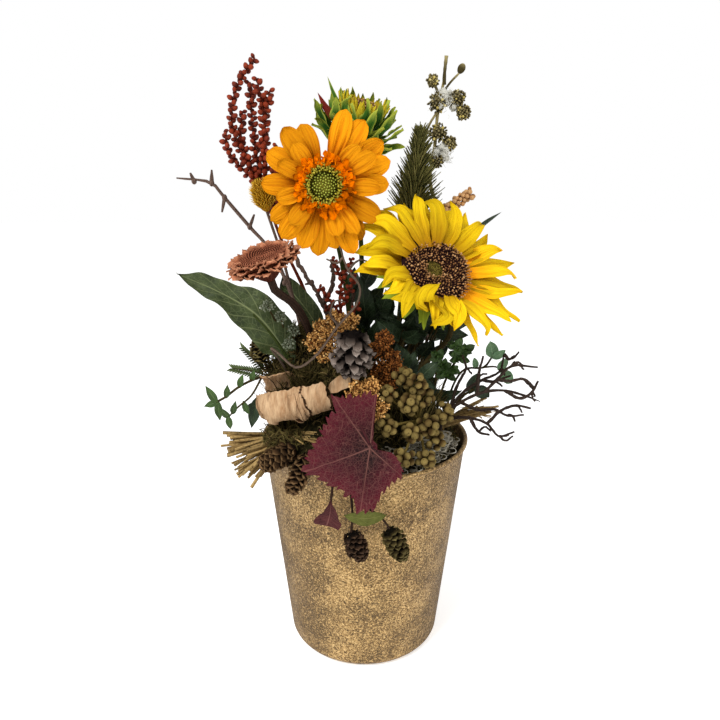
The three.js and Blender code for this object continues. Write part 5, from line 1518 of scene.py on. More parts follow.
@dataclass
class OrangeBloom(Head):
    """The orange bloom that faces the viewer."""

    centre: Spot = (-28, -30, 374)
    axis: Spot = (0.03, -0.99, 0.1)
    outer: Rows = (
        (2, 45), (20, 48), (37, 50), (58, 50), (72, 52), (111, 44), (127, 46), (151, 45), (180, 43), (212, 45),
        (230, 46), (248, 45), (265, 48), (278, 44), (292, 50), (307, 45), (329, 45))
    inner: Rows = ((-4, 38), (30, 40), (48, 35), (129, 34), (155, 34), (194, 34), (228, 35), (285, 35), (306, 40))

    def petals(self) -> None:
        """Two layers of broad petals with soft creases along them."""
        clay = Clay(3)
        for layer, rows in enumerate((self.outer, self.inner)):
            for i, (turn, reach) in enumerate(rows):
                low = 2.6 if layer else (-2.0, -0.6, -3.0)[i % 3]
                tip = reach * clay.draw(0.98, 1.02)
                sway, droop = clay.draw(-1.4, 1.4), clay.draw(-3.6, 1.6)
                rib = [(8, 0, low), (8 + (tip - 8) * 0.5, sway * 0.4, low + clay.draw(1.0, 2.4)),
                       (tip, sway, low + droop + layer * 2)]
                lift = creased(clay.draw(0.9, 1.6), clay.draw(-0.8, 2.0), clay.draw(-0.6, 0.6), 4.2, 1.05, lambda t: t)
                width = (6.2 if layer else 7.7) * clay.draw(0.9, 1.06)
                clay.blade(rib, rounded(width, 0.36, clay.draw(0.58, 0.7)), lift=lift, rows=18, columns=18,
                           twist=clay.draw(-0.3, 0.3), place=self.at(math.radians(turn)))
        clay.turned([(0, -3), (11, -3), (11, 3.9), (0, 3.9)], 28, self.at(), tint=0.3)
        clay.cast("orange_bloom_petals", ORANGE_PETAL)

    def frill(self) -> None:
        """The crinkled ring of small petals round the disc."""
        clay = Clay(4)
        # The ring under the frill's petals has the darkest tint: painted shade.
        clay.turned([(9.6, 4.0), (14, 4.0), (14, 5.0), (9.6, 6.0), (9.55, 4.1)], 40, self.at(), tint=0.0)
        rows = ((24, 22.4, 6.0, 5.0), (24, 20.0, 8.0, 5.6), (22, 17.8, 9.6, 6.2), (20, 16.0, 10.6, 6.6))
        for count, reach, high, low in rows:
            for place in self.ring(count, clay.draw()):
                tip = reach * clay.draw(0.84, 1.06)
                rib = [(11, 0, low), ((11 + tip) / 2, clay.draw(-1, 1), high + 0.6),
                       (tip, clay.draw(-1.8, 1.8), high + clay.draw(-1.6, 1.8))]
                clay.blade(rib, rounded(clay.draw(1.5, 2.8), 0.5, 0.75), rows=9, columns=7, thick=0.35,
                           lift=lambda t, u: 0.9 * u * u * t, twist=clay.draw(-1.5, 1.5), wave=1.2, place=place)
        clay.cast("orange_bloom_frill", ORANGE_FRILL)

    def disc(self) -> None:
        """A fringe of green points round a dotted dome."""
        clay = Clay(6)
        # The dome under the dots has the darkest tint: painted shade between the dots.
        clay.turned([(0, 4.5), (10.4, 4.5), (10.4, 6.6), (8.6, 7.6), (5, 8.0), (0, 8.4)], 40, self.at(), tint=0.0)
        rows = ((48, 10.4, 14.8, 6.2, 8.8), (44, 9.8, 13.4, 6.8, 10.2), (40, 9.4, 11.8, 7.2, 11.2),
                (34, 9.0, 10.2, 7.4, 11.6))
        for count, root, tip, low, high in rows:
            for place in self.ring(count, clay.draw()):
                end = tip + clay.draw(-1.2, 1.0)
                point = (end, clay.draw(-1.2, 1.2), high + clay.draw(-1.0, 1.4))
                clay.tube([(root, 0, low), ((root + end) / 2, 0, high), point], (0.5, 0.5), 5, 3, place=place)
                clay.ball((end, 0, high), clay.draw(0.4, 0.9), level=1, place=place)
        self.sow(clay, 64, 8.4, lambda r: 9.6 - 0.012 * r ** 2, (0.64, 0.64, 1.3), 2)
        clay.cast("orange_bloom_disc", LIME, LIME_DOT)

    def stalk(self) -> None:
        """The stem with its cup of sepals."""
        clay = Clay(7)
        stem(clay, "orange", 12)
        clay.turned([(0, -3.6), (9, -3.6), (8, -5.4), (3.2, -11), (0, -11)], 28, self.at(), tint=0.4)
        for layer, (count, reach) in enumerate(((14, 17), (12, 13))):
            for place in self.ring(count, layer * 0.5):
                clay.blade([(7, 0, -4.6 - layer), (12, 0, -4.4 - layer * 1.4), (reach, 0, -4.8 - layer * 2)],
                           pointed(2.6), rows=6, columns=4, place=place, slot=1)
        clay.cast("orange_bloom_stem", STEM_GREEN, SEPAL)

    def build(self) -> None:
        """Builds the whole bloom."""
        self.petals()
        self.frill()
        self.disc()
        self.stalk()


@dataclass
class Sunflower(Head):
    """The yellow sunflower that looks up and to the right."""

    centre: Spot = (47, -30, 314)
    axis: Spot = (0.373, -0.659, 0.653)
    curl_side: float = math.radians(229)
    top: float = 0.15
    rim: float = 26.0
    florets: int = 640

    def petals(self) -> None:
        """Two full layers of pointed petals, the near ones curled over the disc."""
        clay = Clay(9)
        layers = ((19, -1.9, -1.0, (55, 61), 0.0), (18, 0.2, 6.0, (49, 56), 0.5))
        for layer, (count, low, high, reaches, offset) in enumerate(layers):
            for i, place in enumerate(self.ring(count, offset)):
                angle = (i + offset) * math.tau / count
                near = math.cos(angle - self.curl_side)
                far = max(math.cos(angle + 0.3), 0) ** 2
                foot = low + (0.5 if i % 2 else -0.4)
                above = max(math.sin(angle - self.top), 0)
                reach = clay.draw(*reaches) + far * 19 + 5 * above
                width = clay.draw(5.4, 6.8) * (1 + 0.08 * above)
                sway = clay.draw(-4, 4) * (1 + 0.6 * above)
                if near > 0.6 and (i + layer) % 3:
                    width *= 0.92
                    rib = [(20, 0, foot), (25, 0, foot + 8), (32, clay.draw(-3, 3), foot + 13 - layer * 2),
                           (39, clay.draw(-6, 6), foot + 10),
                           (46 + layer * 2, clay.draw(-9, 9), foot + clay.draw(-2, 6))]
                elif near > 0.6:
                    rib = [(20, 0, foot), (31, 0, foot + 4), (38, clay.draw(-2, 2), foot + 12),
                           (34, clay.draw(-4, 4), foot + 20), (25, clay.draw(-5, 5), foot + 22)]
                elif near > 0.25 and layer:
                    rib = [(20, 0, foot), (34, 0, foot + 7), (reach - 4, clay.draw(-3, 3), foot + 10),
                           (reach, clay.draw(-5, 5), foot + clay.draw(-3, 6))]
                else:
                    inner = 20 - (4.6 * above if layer else 0)
                    root = foot + (9.4 if layer else 3) * above
                    rib = [(inner, 0, root), (inner + (reach - inner) * 0.5, -sway * 0.4, root + clay.draw(2, 4.5)),
                           (reach * 0.86, sway * 0.4, high + 2 + foot * 0.2 + root * 0.8),
                           (reach, sway * 1.6, foot + high + clay.draw(-5, 5))]
                lift = creased(clay.draw(0.8, 1.3), clay.draw(0.2, 2.0), clay.draw(-0.5, 0.5), 3.6, 1.0,
                               lambda t: eased(t * 2))
                clay.blade(rib, pointed(width, 0.5, 0.42, 2.2), lift=lift, rows=20, columns=14,
                           twist=clay.draw(-0.6, 0.6), wave=0.8, place=place, slot=1 if far > 0.55 and layer else 0)
        clay.turned([(0, -3), (24, -3), (24, 1.9), (0, 1.9)], 36, self.at(), tint=0.3)
        clay.cast("sunflower_petals", YELLOW_PETAL, YELLOW_BLUSH)

    def disc(self) -> None:
        """A ring of brown florets with tan points round a dip with an olive middle."""
        clay = Clay(10)
        dish = [(0, 2.3), (22, 2.3), (25.6, 4.4), (25, 6.2), (22.4, 7.6), (17, 8.0), (12, 6.6), (8, 3.4), (6.6, 2.9),
                (0, 2.8)]
        # The dish under the florets has the darkest tint: painted shade between the florets.
        clay.turned(dish, 48, self.at(), tint=0.0)
        for i in range(self.florets):
            radius = math.sqrt(7.4 ** 2 + (self.rim ** 2 - 7.4 ** 2) * (i + 0.5) / self.florets)
            if radius > self.rim - 8 * max(math.sin(i * GOLDEN - self.top), 0):
                continue
            height = float(np.interp(radius, (7, 9, 12, 17, 22, 26), (3.4, 4.4, 6.8, 8.4, 7.6, 4.6)))
            lean = float(np.interp(radius, (7, 14, 20, 26), (-1.4, -0.6, 1.2, 3.0)))
            place = self.at(i * GOLDEN)
            tall = clay.draw(1.6, 3.4) * (0.8 if radius < 9 else 1)
            tip = (radius + lean + clay.draw(-0.5, 0.5), clay.draw(-0.7, 0.7),
                   height + tall * (0.7 if radius > 23 else 1))
            rows = [(radius, 0, height - 1), (radius + lean / 2, 0, height + tall * 0.5), tip]
            clay.tube(rows, (0.6, 0.5, 0.3), 4, 2, place=place)
            if clay.draw() < (0.75 if radius > 19 or radius < 11 else 0.4):
                clay.ball(tip, clay.draw(0.5, 0.85), level=1, place=place, slot=1)
        self.sow(clay, 150, 7.6, lambda r: 3.4, (0.5, 0.5, 0.9), slot=2)
        clay.cast("sunflower_disc", SEED_BROWN, SEED_TIP, SEED_OLIVE)

    def stalk(self) -> None:
        """The stem and the two rows of sepals behind the petals."""
        clay = Clay(11)
        stem(clay, "sunflower", 12)
        cup = [(0, -3.6), (20, -3.6), (19, -5.6), (9, -10), (4, -12.6), (0, -12.6)]
        clay.turned(cup, 36, self.at(), tint=0.4, slot=1)
        for layer, (count, reach) in enumerate(((18, 43), (14, 38))):
            for place in self.ring(count, layer * 0.5):
                rib = [(16, 0, -4.8 - layer), (28, 0, -4.6 - layer * 2),
                       (reach, clay.draw(-4, 4), -7 - layer * 5 + clay.draw(-2, 2))]
                clay.blade(rib, pointed(4.8), rows=9, wave=0.7, twist=clay.draw(-0.5, 0.5), place=place, slot=1)
        clay.cast("sunflower_stem", STEM_BROWN, SEPAL)

    def build(self) -> None:
        """Builds the whole sunflower."""
        self.petals()
        self.disc()
        self.stalk()


@dataclass
class OpeningBud(Head):
    """The half-open sunflower bud at the top."""

    centre: Spot = (-4, 25, 419)
    axis: Spot = (0.26, -0.2, 0.94)
    rows: Sequence[tuple[int, Rows, float, float]] = (
        (11, ((8, -17), (20, -18), (30, -13), (37, -9)), 6.6, 0.0),
        (11, ((9, -15), (21, -12), (30, -4), (36, 3)), 6.4, 0.5),
        (11, ((9, -12), (20, -6), (26, 4), (28, 13)), 5.8, 0.2),
        (9, ((9, -9), (17, -1), (20, 8), (20, 17)), 4.6, 0.6))

    def bracts(self) -> None:
        """Flared outer bracts and upright inner ones."""
        clay = Clay(14)
        cup = [(0, -20), (5, -20), (9, -17), (12.6, -10), (12.6, -3), (10, -3), (9.4, -10.8), (0, -11)]
        clay.turned(cup, 32, self.at(), tint=0.3)
        for count, path, width, offset in self.rows:
            for place in self.ring(count, offset):
                grow = clay.draw(0.86, 1.06)
                rib = [(r * grow, clay.draw(-1.5, 1.5) * k * 0.6, z + clay.draw(-1.6, 1.6))
                       for k, (r, z) in enumerate(path)]
                half = pointed(width * clay.draw(0.85, 1.05), 0.5, 0.4, 1.8)
                clay.blade(rib, half, (-0.4, 0, 1.0), cupped(1.2), 12, 8, twist=clay.draw(-0.8, 0.8), wave=0.9,
                           place=place)
        clay.blade([(-15, 18, 412), (-27, 15, 424), (-34, 12, 436)], pointed(2.8), FRONT, rows=10, columns=4, slot=1)
        clay.blade([(-14, 20, 420), (-22, 17, 434), (-27, 16, 447)], pointed(1.6), FRONT, rows=12, columns=4, tint=0.3)
        clay.cast("bud_bracts", BRACT, BRACT_RED)

    def petals(self) -> None:
        """The short yellow petals that stand round the disc."""
        clay = Clay(15)
        clay.turned([(0, -10.6), (8.2, -10.4), (8.6, -3.6), (7.4, -3), (0, -3)], 24, self.at(), tint=0.2)
        for layer, (count, reach, top) in enumerate(((15, 19.5, 13.5), (14, 16.5, 15.0), (13, 13.5, 13.6))):
            for place in self.ring(count, layer * 0.5):
                rib = [(8, 0, -5), (reach / 2 + 6, 0, 3),
                       (reach + clay.draw(-1, 1), clay.draw(-2, 2), top + clay.draw(-2, 2))]
                clay.blade(rib, pointed(3.2), (-1.0, 0, 0.2), cupped(0.8), 10, twist=clay.draw(-0.3, 0.3), place=place)
        clay.cast("bud_petals", BUD_YELLOW)

    def disc(self) -> None:
        """The small dark disc with tan florets."""
        clay = Clay(16)
        # The disc under the florets has the darkest tint: painted shade between the florets.
        clay.turned([(0, -2.6), (6, -2.6), (10, 4), (10.4, 7), (7, 9), (0, 10)], 28, self.at(), tint=0.0)
        for i in range(190):
            radius = 10.4 * math.sqrt((i + 0.5) / 190)
            place = self.at(i * GOLDEN)
            height = 10 - 0.026 * radius ** 2
            tip = (radius * 1.08, 0, height + clay.draw(1.4, 4.0))
            clay.tube([(radius, 0, height - 0.6), tip], (0.5, 0.25), 4, 2, place=place)
            if i % 2:
                clay.ball(tip, 0.55, level=1, place=place, slot=1)
        clay.cast("bud_disc", SEED_BROWN, SEED_TIP)

    def build(self) -> None:
        """Builds the whole bud on its stem."""
        self.bracts()
        self.petals()
        self.disc()
        lone_stem("bud_stem", "bud", STEM_GREEN, 17, 12)


# ---------------------------------------------------------------- berried sprays and bristles


@dataclass
class RedSprays:
    """Rust-red branchlets beset with small pointed berries."""

    tall: Sequence[Rows] = (
        ((-72, 22, 350), (-84, 22, 378), (-98, 23, 414), (-94, 22, 438), (-79, 21, 460)),
        ((-71, 22, 350), (-82, 26, 396), (-84, 26, 444)),
        ((-70, 23, 350), (-76, 22, 400), (-69, 21, 438)),
        ((-69, 21, 348), (-66, 20, 400)),
        ((-80, 23, 372), (-92, 24, 402), (-90, 24, 424)),
        ((-74, 22, 384), (-74, 20, 420), (-78, 20, 446)),
        ((-82, 22, 374), (-100, 22, 392), (-104, 22, 410)), ((-76, 22, 366), (-62, 20, 384), (-60, 20, 396)),
    )
    low: Sequence[Rows] = (
        ((-19, -12, 288), (-17, -13, 304), (-9, -14, 322)),
        ((-18, -12, 284), (-7, -12, 308)),
        ((-19, -12, 280), (-34, -11, 300)), ((-16, -12, 270), (-4, -12, 288)), ((-18, -12, 276), (-30, -12, 284)),
        ((-17, -13, 304), (-24, -13, 322)),
    )

    def branchlet(self, clay: Clay, rows: Rows, spacing: float, size: float) -> None:
        """Adds a branchlet with berries on all its sides.

        Args:
            clay: The piece to add to.
            rows: The branchlet's route.
            spacing: How far apart its berries are.
            size: The radius of its berries.
        """
        route = clay.tube(rows, (1.0, 0.7), 6, 12, 0.1, tint=0.4, slot=1)
        track = Track(route)
        count = int(np.linalg.norm(np.diff(route, axis=0), axis=1).sum() / spacing)
        for i in range(count):
            place = (0.06 + 0.94 * (i + 0.5) / count) * (len(route) - 1)
            k, spot, out = track.at(place, i * 2.4 + clay.draw(-0.4, 0.4))
            out = unit(out + track.ahead[k] * clay.draw(0.3, 0.9))
            radius = size * clay.draw(0.8, 1.12) * (0.8 if i > count - 3 else 1)
            clay.ball(spot + out * radius * clay.draw(0.9, 1.5), (radius, radius, radius * 1.2), out,
                      shape=lambda d: 1 + 0.9 * np.clip(d[:, 2] - 0.72, 0, 1))

    def build(self) -> None:
        """Builds the tall spray and the low one."""
        for node, name, crown, spacing, size in (
                ("red_spray_tall", "redTall", self.tall, 1.9, 2.0), ("red_spray_low", "redLow", self.low, 2.0, 1.65)):
            clay = Clay(21)
            stem(clay, name, 8, 0.1, slot=1)
            for rows in crown:
                self.branchlet(clay, rows, spacing, size)
            clay.cast(node, RUST, RUST_STEM)


@dataclass
class Bristles:
    """The mustard-coloured bristly head."""

    low: Spot = (-71.6, 0, 352)
    high: Spot = (-76, 0, 377)
    bristles: int = 420

    def build(self) -> None:
        """Builds the head and its stem."""
        clay = Clay(23)
        head = Head(tuple(np.add(self.low, self.high) / 2), tuple(np.subtract(self.high, self.low)))
        clay.ball((0, 0, 0), (5.8, 5.8, 11.4), level=3, place=head.at(), tint=0.2)
        for i in range(self.bristles):
            height = -0.94 + 1.9 * i / (self.bristles - 1)
            girth = math.sqrt(max(1 - height * height, 0.01))
            root, reach = girth * 4.6, girth * clay.draw(8.6, 11.4)
            rows = [(root, 0, height * 10), ((root + reach) / 2 + 0.4, 0, height * 10.6 + 1.2),
                    (reach, clay.draw(-1, 1), height * 11 + 3)]
            clay.tube(rows, (0.5, 0.46, 0.1), 3, 2, place=head.at(i * GOLDEN))
        clay.cast("bristle_head", MUSTARD)
        lone_stem("bristle_stem", "bristle", TWIG, 24, 8)


# ---------------------------------------------------------------- woody stems and their heads


@dataclass
class Protea(Head):
    """The dried protea: ragged bracts round a dotted dish, on a grooved stem."""

    centre: Spot = (-67, -64, 328)
    axis: Spot = (-0.27, -0.22, 0.94)
    rows: Rows = (
        (24, 14, 26, -3.6, 0.2, 3.0), (24, 13, 25, -2.4, 2.6, 3.0), (22, 12, 22.6, -0.8, 5.2, 3.0),
        (22, 12, 19, 0.4, 5.4, 2.4))

    def build(self) -> None:
        """Builds the head and its stem."""
        clay = Clay(31)
        cup = [(0, -14), (3.4, -14), (6, -11.5), (11, -6.4), (15, -3), (17, -1), (16.4, 1.6), (11, 1.6), (5, 0.8),
               (0, 0.6)]
        clay.turned(cup, 44, self.at(), tint=0.4,
                    warp=lambda a, r, z: (np.where((z < -2) & (z > -13), 0.5 * np.cos(a * 22), 0), 0 * z))
        for layer, (count, root, reach, low, high, width) in enumerate(self.rows):
            for place in self.ring(count, layer * 0.5):
                tip = reach * clay.draw(0.9, 1.05)
                rib = [(root - 3, 0, low), ((root + tip) / 2, 0, low + (high - low) * 0.55),
                       (tip, clay.draw(-1.6, 1.6), high + clay.draw(-1.8, 1.2))]
                clay.blade(rib, rounded(width * clay.draw(0.7, 1.25), 0.7, 0.75, 3.0), rows=8, columns=7, thick=0.7,
                           twist=clay.draw(-0.7, 0.7), wave=1.2, place=place)
        self.sow(clay, 340, 16.4, lambda r: 0.9 + 0.012 * r ** 2 + 1.4 * math.exp(-(r / 5) ** 2), (0.62, 0.62, 0.8))
        clay.cast("protea_head", COPPER, COPPER_DISH)
        lone_stem("protea_stem", "protea", DARK_STEM, 32, 14, 0.04)


@dataclass
class Branches:
    """The bare twig, the pine sprig, the cotton branch and the tan spike."""

    nubs: Sequence[Rows] = (
        ((-83, -13, 344), (-79, -16, 353)), ((-99, -18, 365), (-101, -20, 355)), ((-107, -20, 375), (-106, -22, 384)),
        ((-60, -7, 302), (-57, -9, 309)), ((-119, -20.6, 376.4), (-121, -22, 382)),
        ((-52, -4, 322), (-56, -6, 330)), ((-40, -1, 301), (-45, -3, 300)), ((-30, 1, 280), (-24, -1, 286)))
    forks: Sequence[Rows] = (
        ((-37, 1, 225), (-27, 2, 258), (-32, 1, 284), (-44, -2, 306), (-54, -4, 325)),
        ((-32, 1, 284), (-24, 0, 300), (-25, 0, 318)), ((-27, 2, 258), (-14, 2, 272), (-8, 3, 292)))
    pods: Rows = (
        (56, 52, 431, 7.4), (71, 53, 434, 6.6), (57, 52, 409, 6.8), (52, 54, 447, 4.4), (76, 52, 424, 5.6),
        (66, 51, 401, 5.4), (56, 50, 388, 5.6))
    fluffs: Sequence[tuple[str, Spot, Spot]] = (
        ("cotton_fluff_a", (61.5, 51, 433), (10.0, 4.6, 7.0)), ("cotton_fluff_b", (61.0, 51, 394), (7.4, 5.0, 7.0)))
    needles: int = 560
    knobs: int = 90
    buds: int = 46

    def twig(self) -> None:
        """A crooked twig with nubs."""
        clay = Clay(33)
        radii, rows = STEMS["twig"]
        clay.tube(rows, [*spread(radii, np.linspace(0, 1, 13)), 0.5], 9, 44, 0.14, tint=0.6)
        for rows in self.forks:
            clay.tube(rows, (2.0, 1.8, 1.5), 8, 9 * len(rows), 0.16, 0.4, tint=0.2)
        for root, tip in self.nubs:
            clay.tube([root, np.add(root, tip) / 2, tip], (1.6, 1.2, 0.7), 6, 4, 0.1, tint=0.5)
            clay.ball(root, (1.9, 1.9, 2.4), tint=0.4)
        clay.cast("twig_branch", TWIG)

    def pine(self) -> None:
        """A sprig with rising needles on all sides and a bud at its tip."""
        clay = Clay(41)
        stem(clay, "pine", 8, tip=0.5)
        route = smooth(STEMS["pine"][1][2:], 40)
        track = Track(route)
        for i in range(self.needles):
            t = i / (self.needles - 1)
            k, root, out = track.at(t * 39, i * GOLDEN)
            ahead = unit(route[k + 1] - route[k])
            length = (25 - 16 * t ** 1.2) * clay.draw(0.75, 1.1)
            out = out * length * (clay.draw(0.85, 1.2) * (1 - 0.35 * t))
            rows = [root, root + out * 0.4 + ahead * length * 0.22, root + out * 0.82 + ahead * length * 0.66]
            clay.tube(rows, (0.62, 0.6, 0.2), 4, 2)
        clay.cast("pine_sprig", PINE)

    def cotton(self) -> None:
        """The golden-olive branch with knobbly pods and a pointed bud."""
        clay = Clay(43)
        stem(clay, "cotton", 8, 0.16)
        clay.tube([(61, 55, 444), (61, 55, 452), (62, 55, 464.6)], (1.6, 1.3, 1.5), 8, 9, 0.16, tint=0.9)
        clay.tube([(60, 55, 438), (66, 55, 446), (72, 55, 452)], (1.0, 0.8), 6, 6, 0.1, tint=0.9)
        clay.ball((74, 55, 456), (3.0, 3.0, 4.6), (0.5, 0, 1), 3, lambda d: 1 - 0.25 * np.clip(d[:, 2], 0, 1), tint=0.8)
        clay.tube([(58, 55, 428), (65, 55, 430), (71, 55, 434)], (1.3, 1.1), 6, 6)
        clay.tube([(54, 55, 385), (46, 54, 398), (50, 54, 414), (56, 54, 424)], (1.1, 0.9), 6, 12, 0.1)
        clay.tube([(58, 55, 430), (55.5, 54, 440), (52, 54, 447)], (1.2, 0.9), 6, 6, 0.1, tint=0.9)
        clay.tube([(56, 55, 398), (61, 53, 399), (66, 51, 401)], (1.2, 0.9), 6, 6)
        for *centre, size in self.pods:
            # The pod's core under its knobs has the darkest tint: painted shade between the knobs.
            clay.ball(centre, size * 0.7, tint=0.0)
            for i in range(self.knobs):
                out = strewn(i, self.knobs)
                spot = np.add(centre, out * size * clay.draw(0.6, 1.05))
                knob = clay.draw(0.7, 1.15)
                clay.ball(spot, (knob, knob, knob * 1.5), out, 1, slot=1 if clay.draw() < 0.12 else 0)
        clay.cast("cotton_branch", GOLDEN_OLIVE, FLECK_GOLD)

    def fluff(self, clay: Clay, centre: Spot, radii: Spot) -> None:
        """Adds a tuft of cotton: soft lumps with fine strands over them."""
        for _ in range(11):
            middle = np.add(centre, clay.chance.uniform(-0.8, 0.8, 3) * np.array(radii))
            waves = clay.chance.uniform(0, 6.3, 4)
            clay.ball(middle, clay.draw(2.2, 3.8), level=3, tint=0.4, shape=lambda d: (
                0.85 + 0.16 * np.sin(d[:, 0] * 6 + waves[0]) * np.sin(d[:, 1] * 6 + waves[1])
                + 0.1 * np.sin(d[:, 2] * 11 + waves[2])))
        for _ in range(260):
            root = np.add(centre, clay.chance.normal(0, 0.46, 3) * np.array(radii))
            lean = unit(clay.chance.uniform(-1, 1, 3))
            tip = root + lean * 3 + clay.chance.uniform(-2, 2, 3)
            clay.tube([root, root + lean * 2.0, tip], (0.12, 0.16, 0.06), 3, 2)

    def spike(self) -> None:
        """The tan spike of small dry buds."""
        clay = Clay(45)
        stem(clay, "spike", 7, slot=1)
        rows = ((60, 40, 345), (66, 40, 352), (74, 40, 358), (83, 40, 364))
        track = Track(clay.tube(rows, (1.2, 0.8), 6, 12, slot=1))
        for i in range(self.buds):
            k, spot, out = track.at(i / self.buds * 12, i * GOLDEN)
            out = unit(out + track.ahead[k] * 0.5)
            size = clay.draw(1.4, 2.3)
            clay.ball(spot + out * clay.draw(2.2, 4.2), (size, size, size * 1.2), out)
        clay.cast("tan_spike", TAN, TWIG)

    def build(self) -> None:
        """Builds the twig, the sprig, the branch with its cotton, and the spike."""
        self.twig()
        self.pine()
        self.cotton()
        for number, (node, centre, radii) in enumerate(self.fluffs):
            clay = Clay(47 + number)
            self.fluff(clay, centre, radii)
            clay.cast(node, COTTON)
        self.spike()


# ---------------------------------------------------------------- single leaves


@dataclass
class SingleLeaf:
    """A leaf on a stalk of its own."""

    node: str
    route: str
    finish: Finish
    stalk: Finish
    seed: int
    rib: Rows
    widths: Sequence[float]
    up: Spot
    lift: Shape
    rows: int
    columns: int
    tint: float = 0.5
    wave: float = 0.0
    thick: float = 0.5
    sides: int = 7
    keel: Rows = ()

    def build(self) -> None:
        """Builds the leaf on its stalk, and the keel below its midrib if it has one."""
        clay = Clay(self.seed)
        stem(clay, self.route, self.sides, slot=1)
        clay.blade(self.rib, profile(self.widths), self.up, self.lift, self.rows, self.columns, self.thick,
                   wave=self.wave, tint=self.tint)
        if self.keel:
            clay.tube(self.keel, (1.2, 0.8), 6, 8, slot=1)
        clay.cast(self.node, self.finish, self.stalk)


LEAVES: Sequence[SingleLeaf] = (
    SingleLeaf("large_leaf", "largeLeaf", OLIVE_LEAF, STEM_GREEN, 61,
               [(-55, -24, 244), (-66, -27, 266), (-80, -29, 284), (-106, -28, 300), (-135, -25, 312)],
               (1.6, 9.5, 16.5, 15.5, 15, 10.5, 8.5, 5.5, 0), (0.25, -0.86, 0.45),
               lambda t, u: (2.4 * u * u + 2.0 * np.sin(t * 17) * u + 1.1 * np.sin(t * 31) * u ** 2
                             + 0.8 * np.sin(t * 43 + u * 3) * np.abs(u)),
               52, 18, 0.7, thick=0.6, sides=8, keel=[(-57, -25.2, 248), (-68, -28.4, 267), (-81, -30, 283.6)]),
    SingleLeaf("back_leaf", "backLeaf", OLIVE_LEAF, STEM_GREEN, 62,
               [(-34, 15, 256), (-46, 16, 276), (-60, 18, 294), (-64, 14, 306)],
               (1.2, 9, 8.4, 0), (0.2, -0.95, 0.2), cupped(2), 24, 12, 0.3, 0.6),
    SingleLeaf("narrow_leaf", "narrow", DARK_LEAF, STEM_BROWN, 63,
               [(80, 33.4, 326), (86, 34, 334), (95, 34, 342), (107, 34, 350)],
               (0.6, 1.9, 1.5, 0), (0.1, -0.95, 0.3), cupped(0.8), 18, 6, 0.4),
    SingleLeaf("small_maroon_leaf", "smallMaroon", MAROON_SMALL, DARK_STEM, 64,
               [(-24, -91, 167), (-24.6, -92.6, 157), (-27, -93, 148)],
               (0.4, 1.8, 3.6, 5.6, 7.6, 9.8, 8.6), FRONT, lambda t, u: 1.6 * u * u + 0.6 * np.sin(t * 9) * u,
               22, 12, wave=0.9),
    SingleLeaf("small_green_leaf", "smallGreen", SMALL_GREEN, STEM_BROWN, 65,
               [(-15, -90.6, 155), (0, -91, 152.6), (15, -90.6, 155.4)],
               (0, 4.2, 5.6, 4.2, 0), FRONT, cupped(0.6), 18, 8, wave=0.4),
)


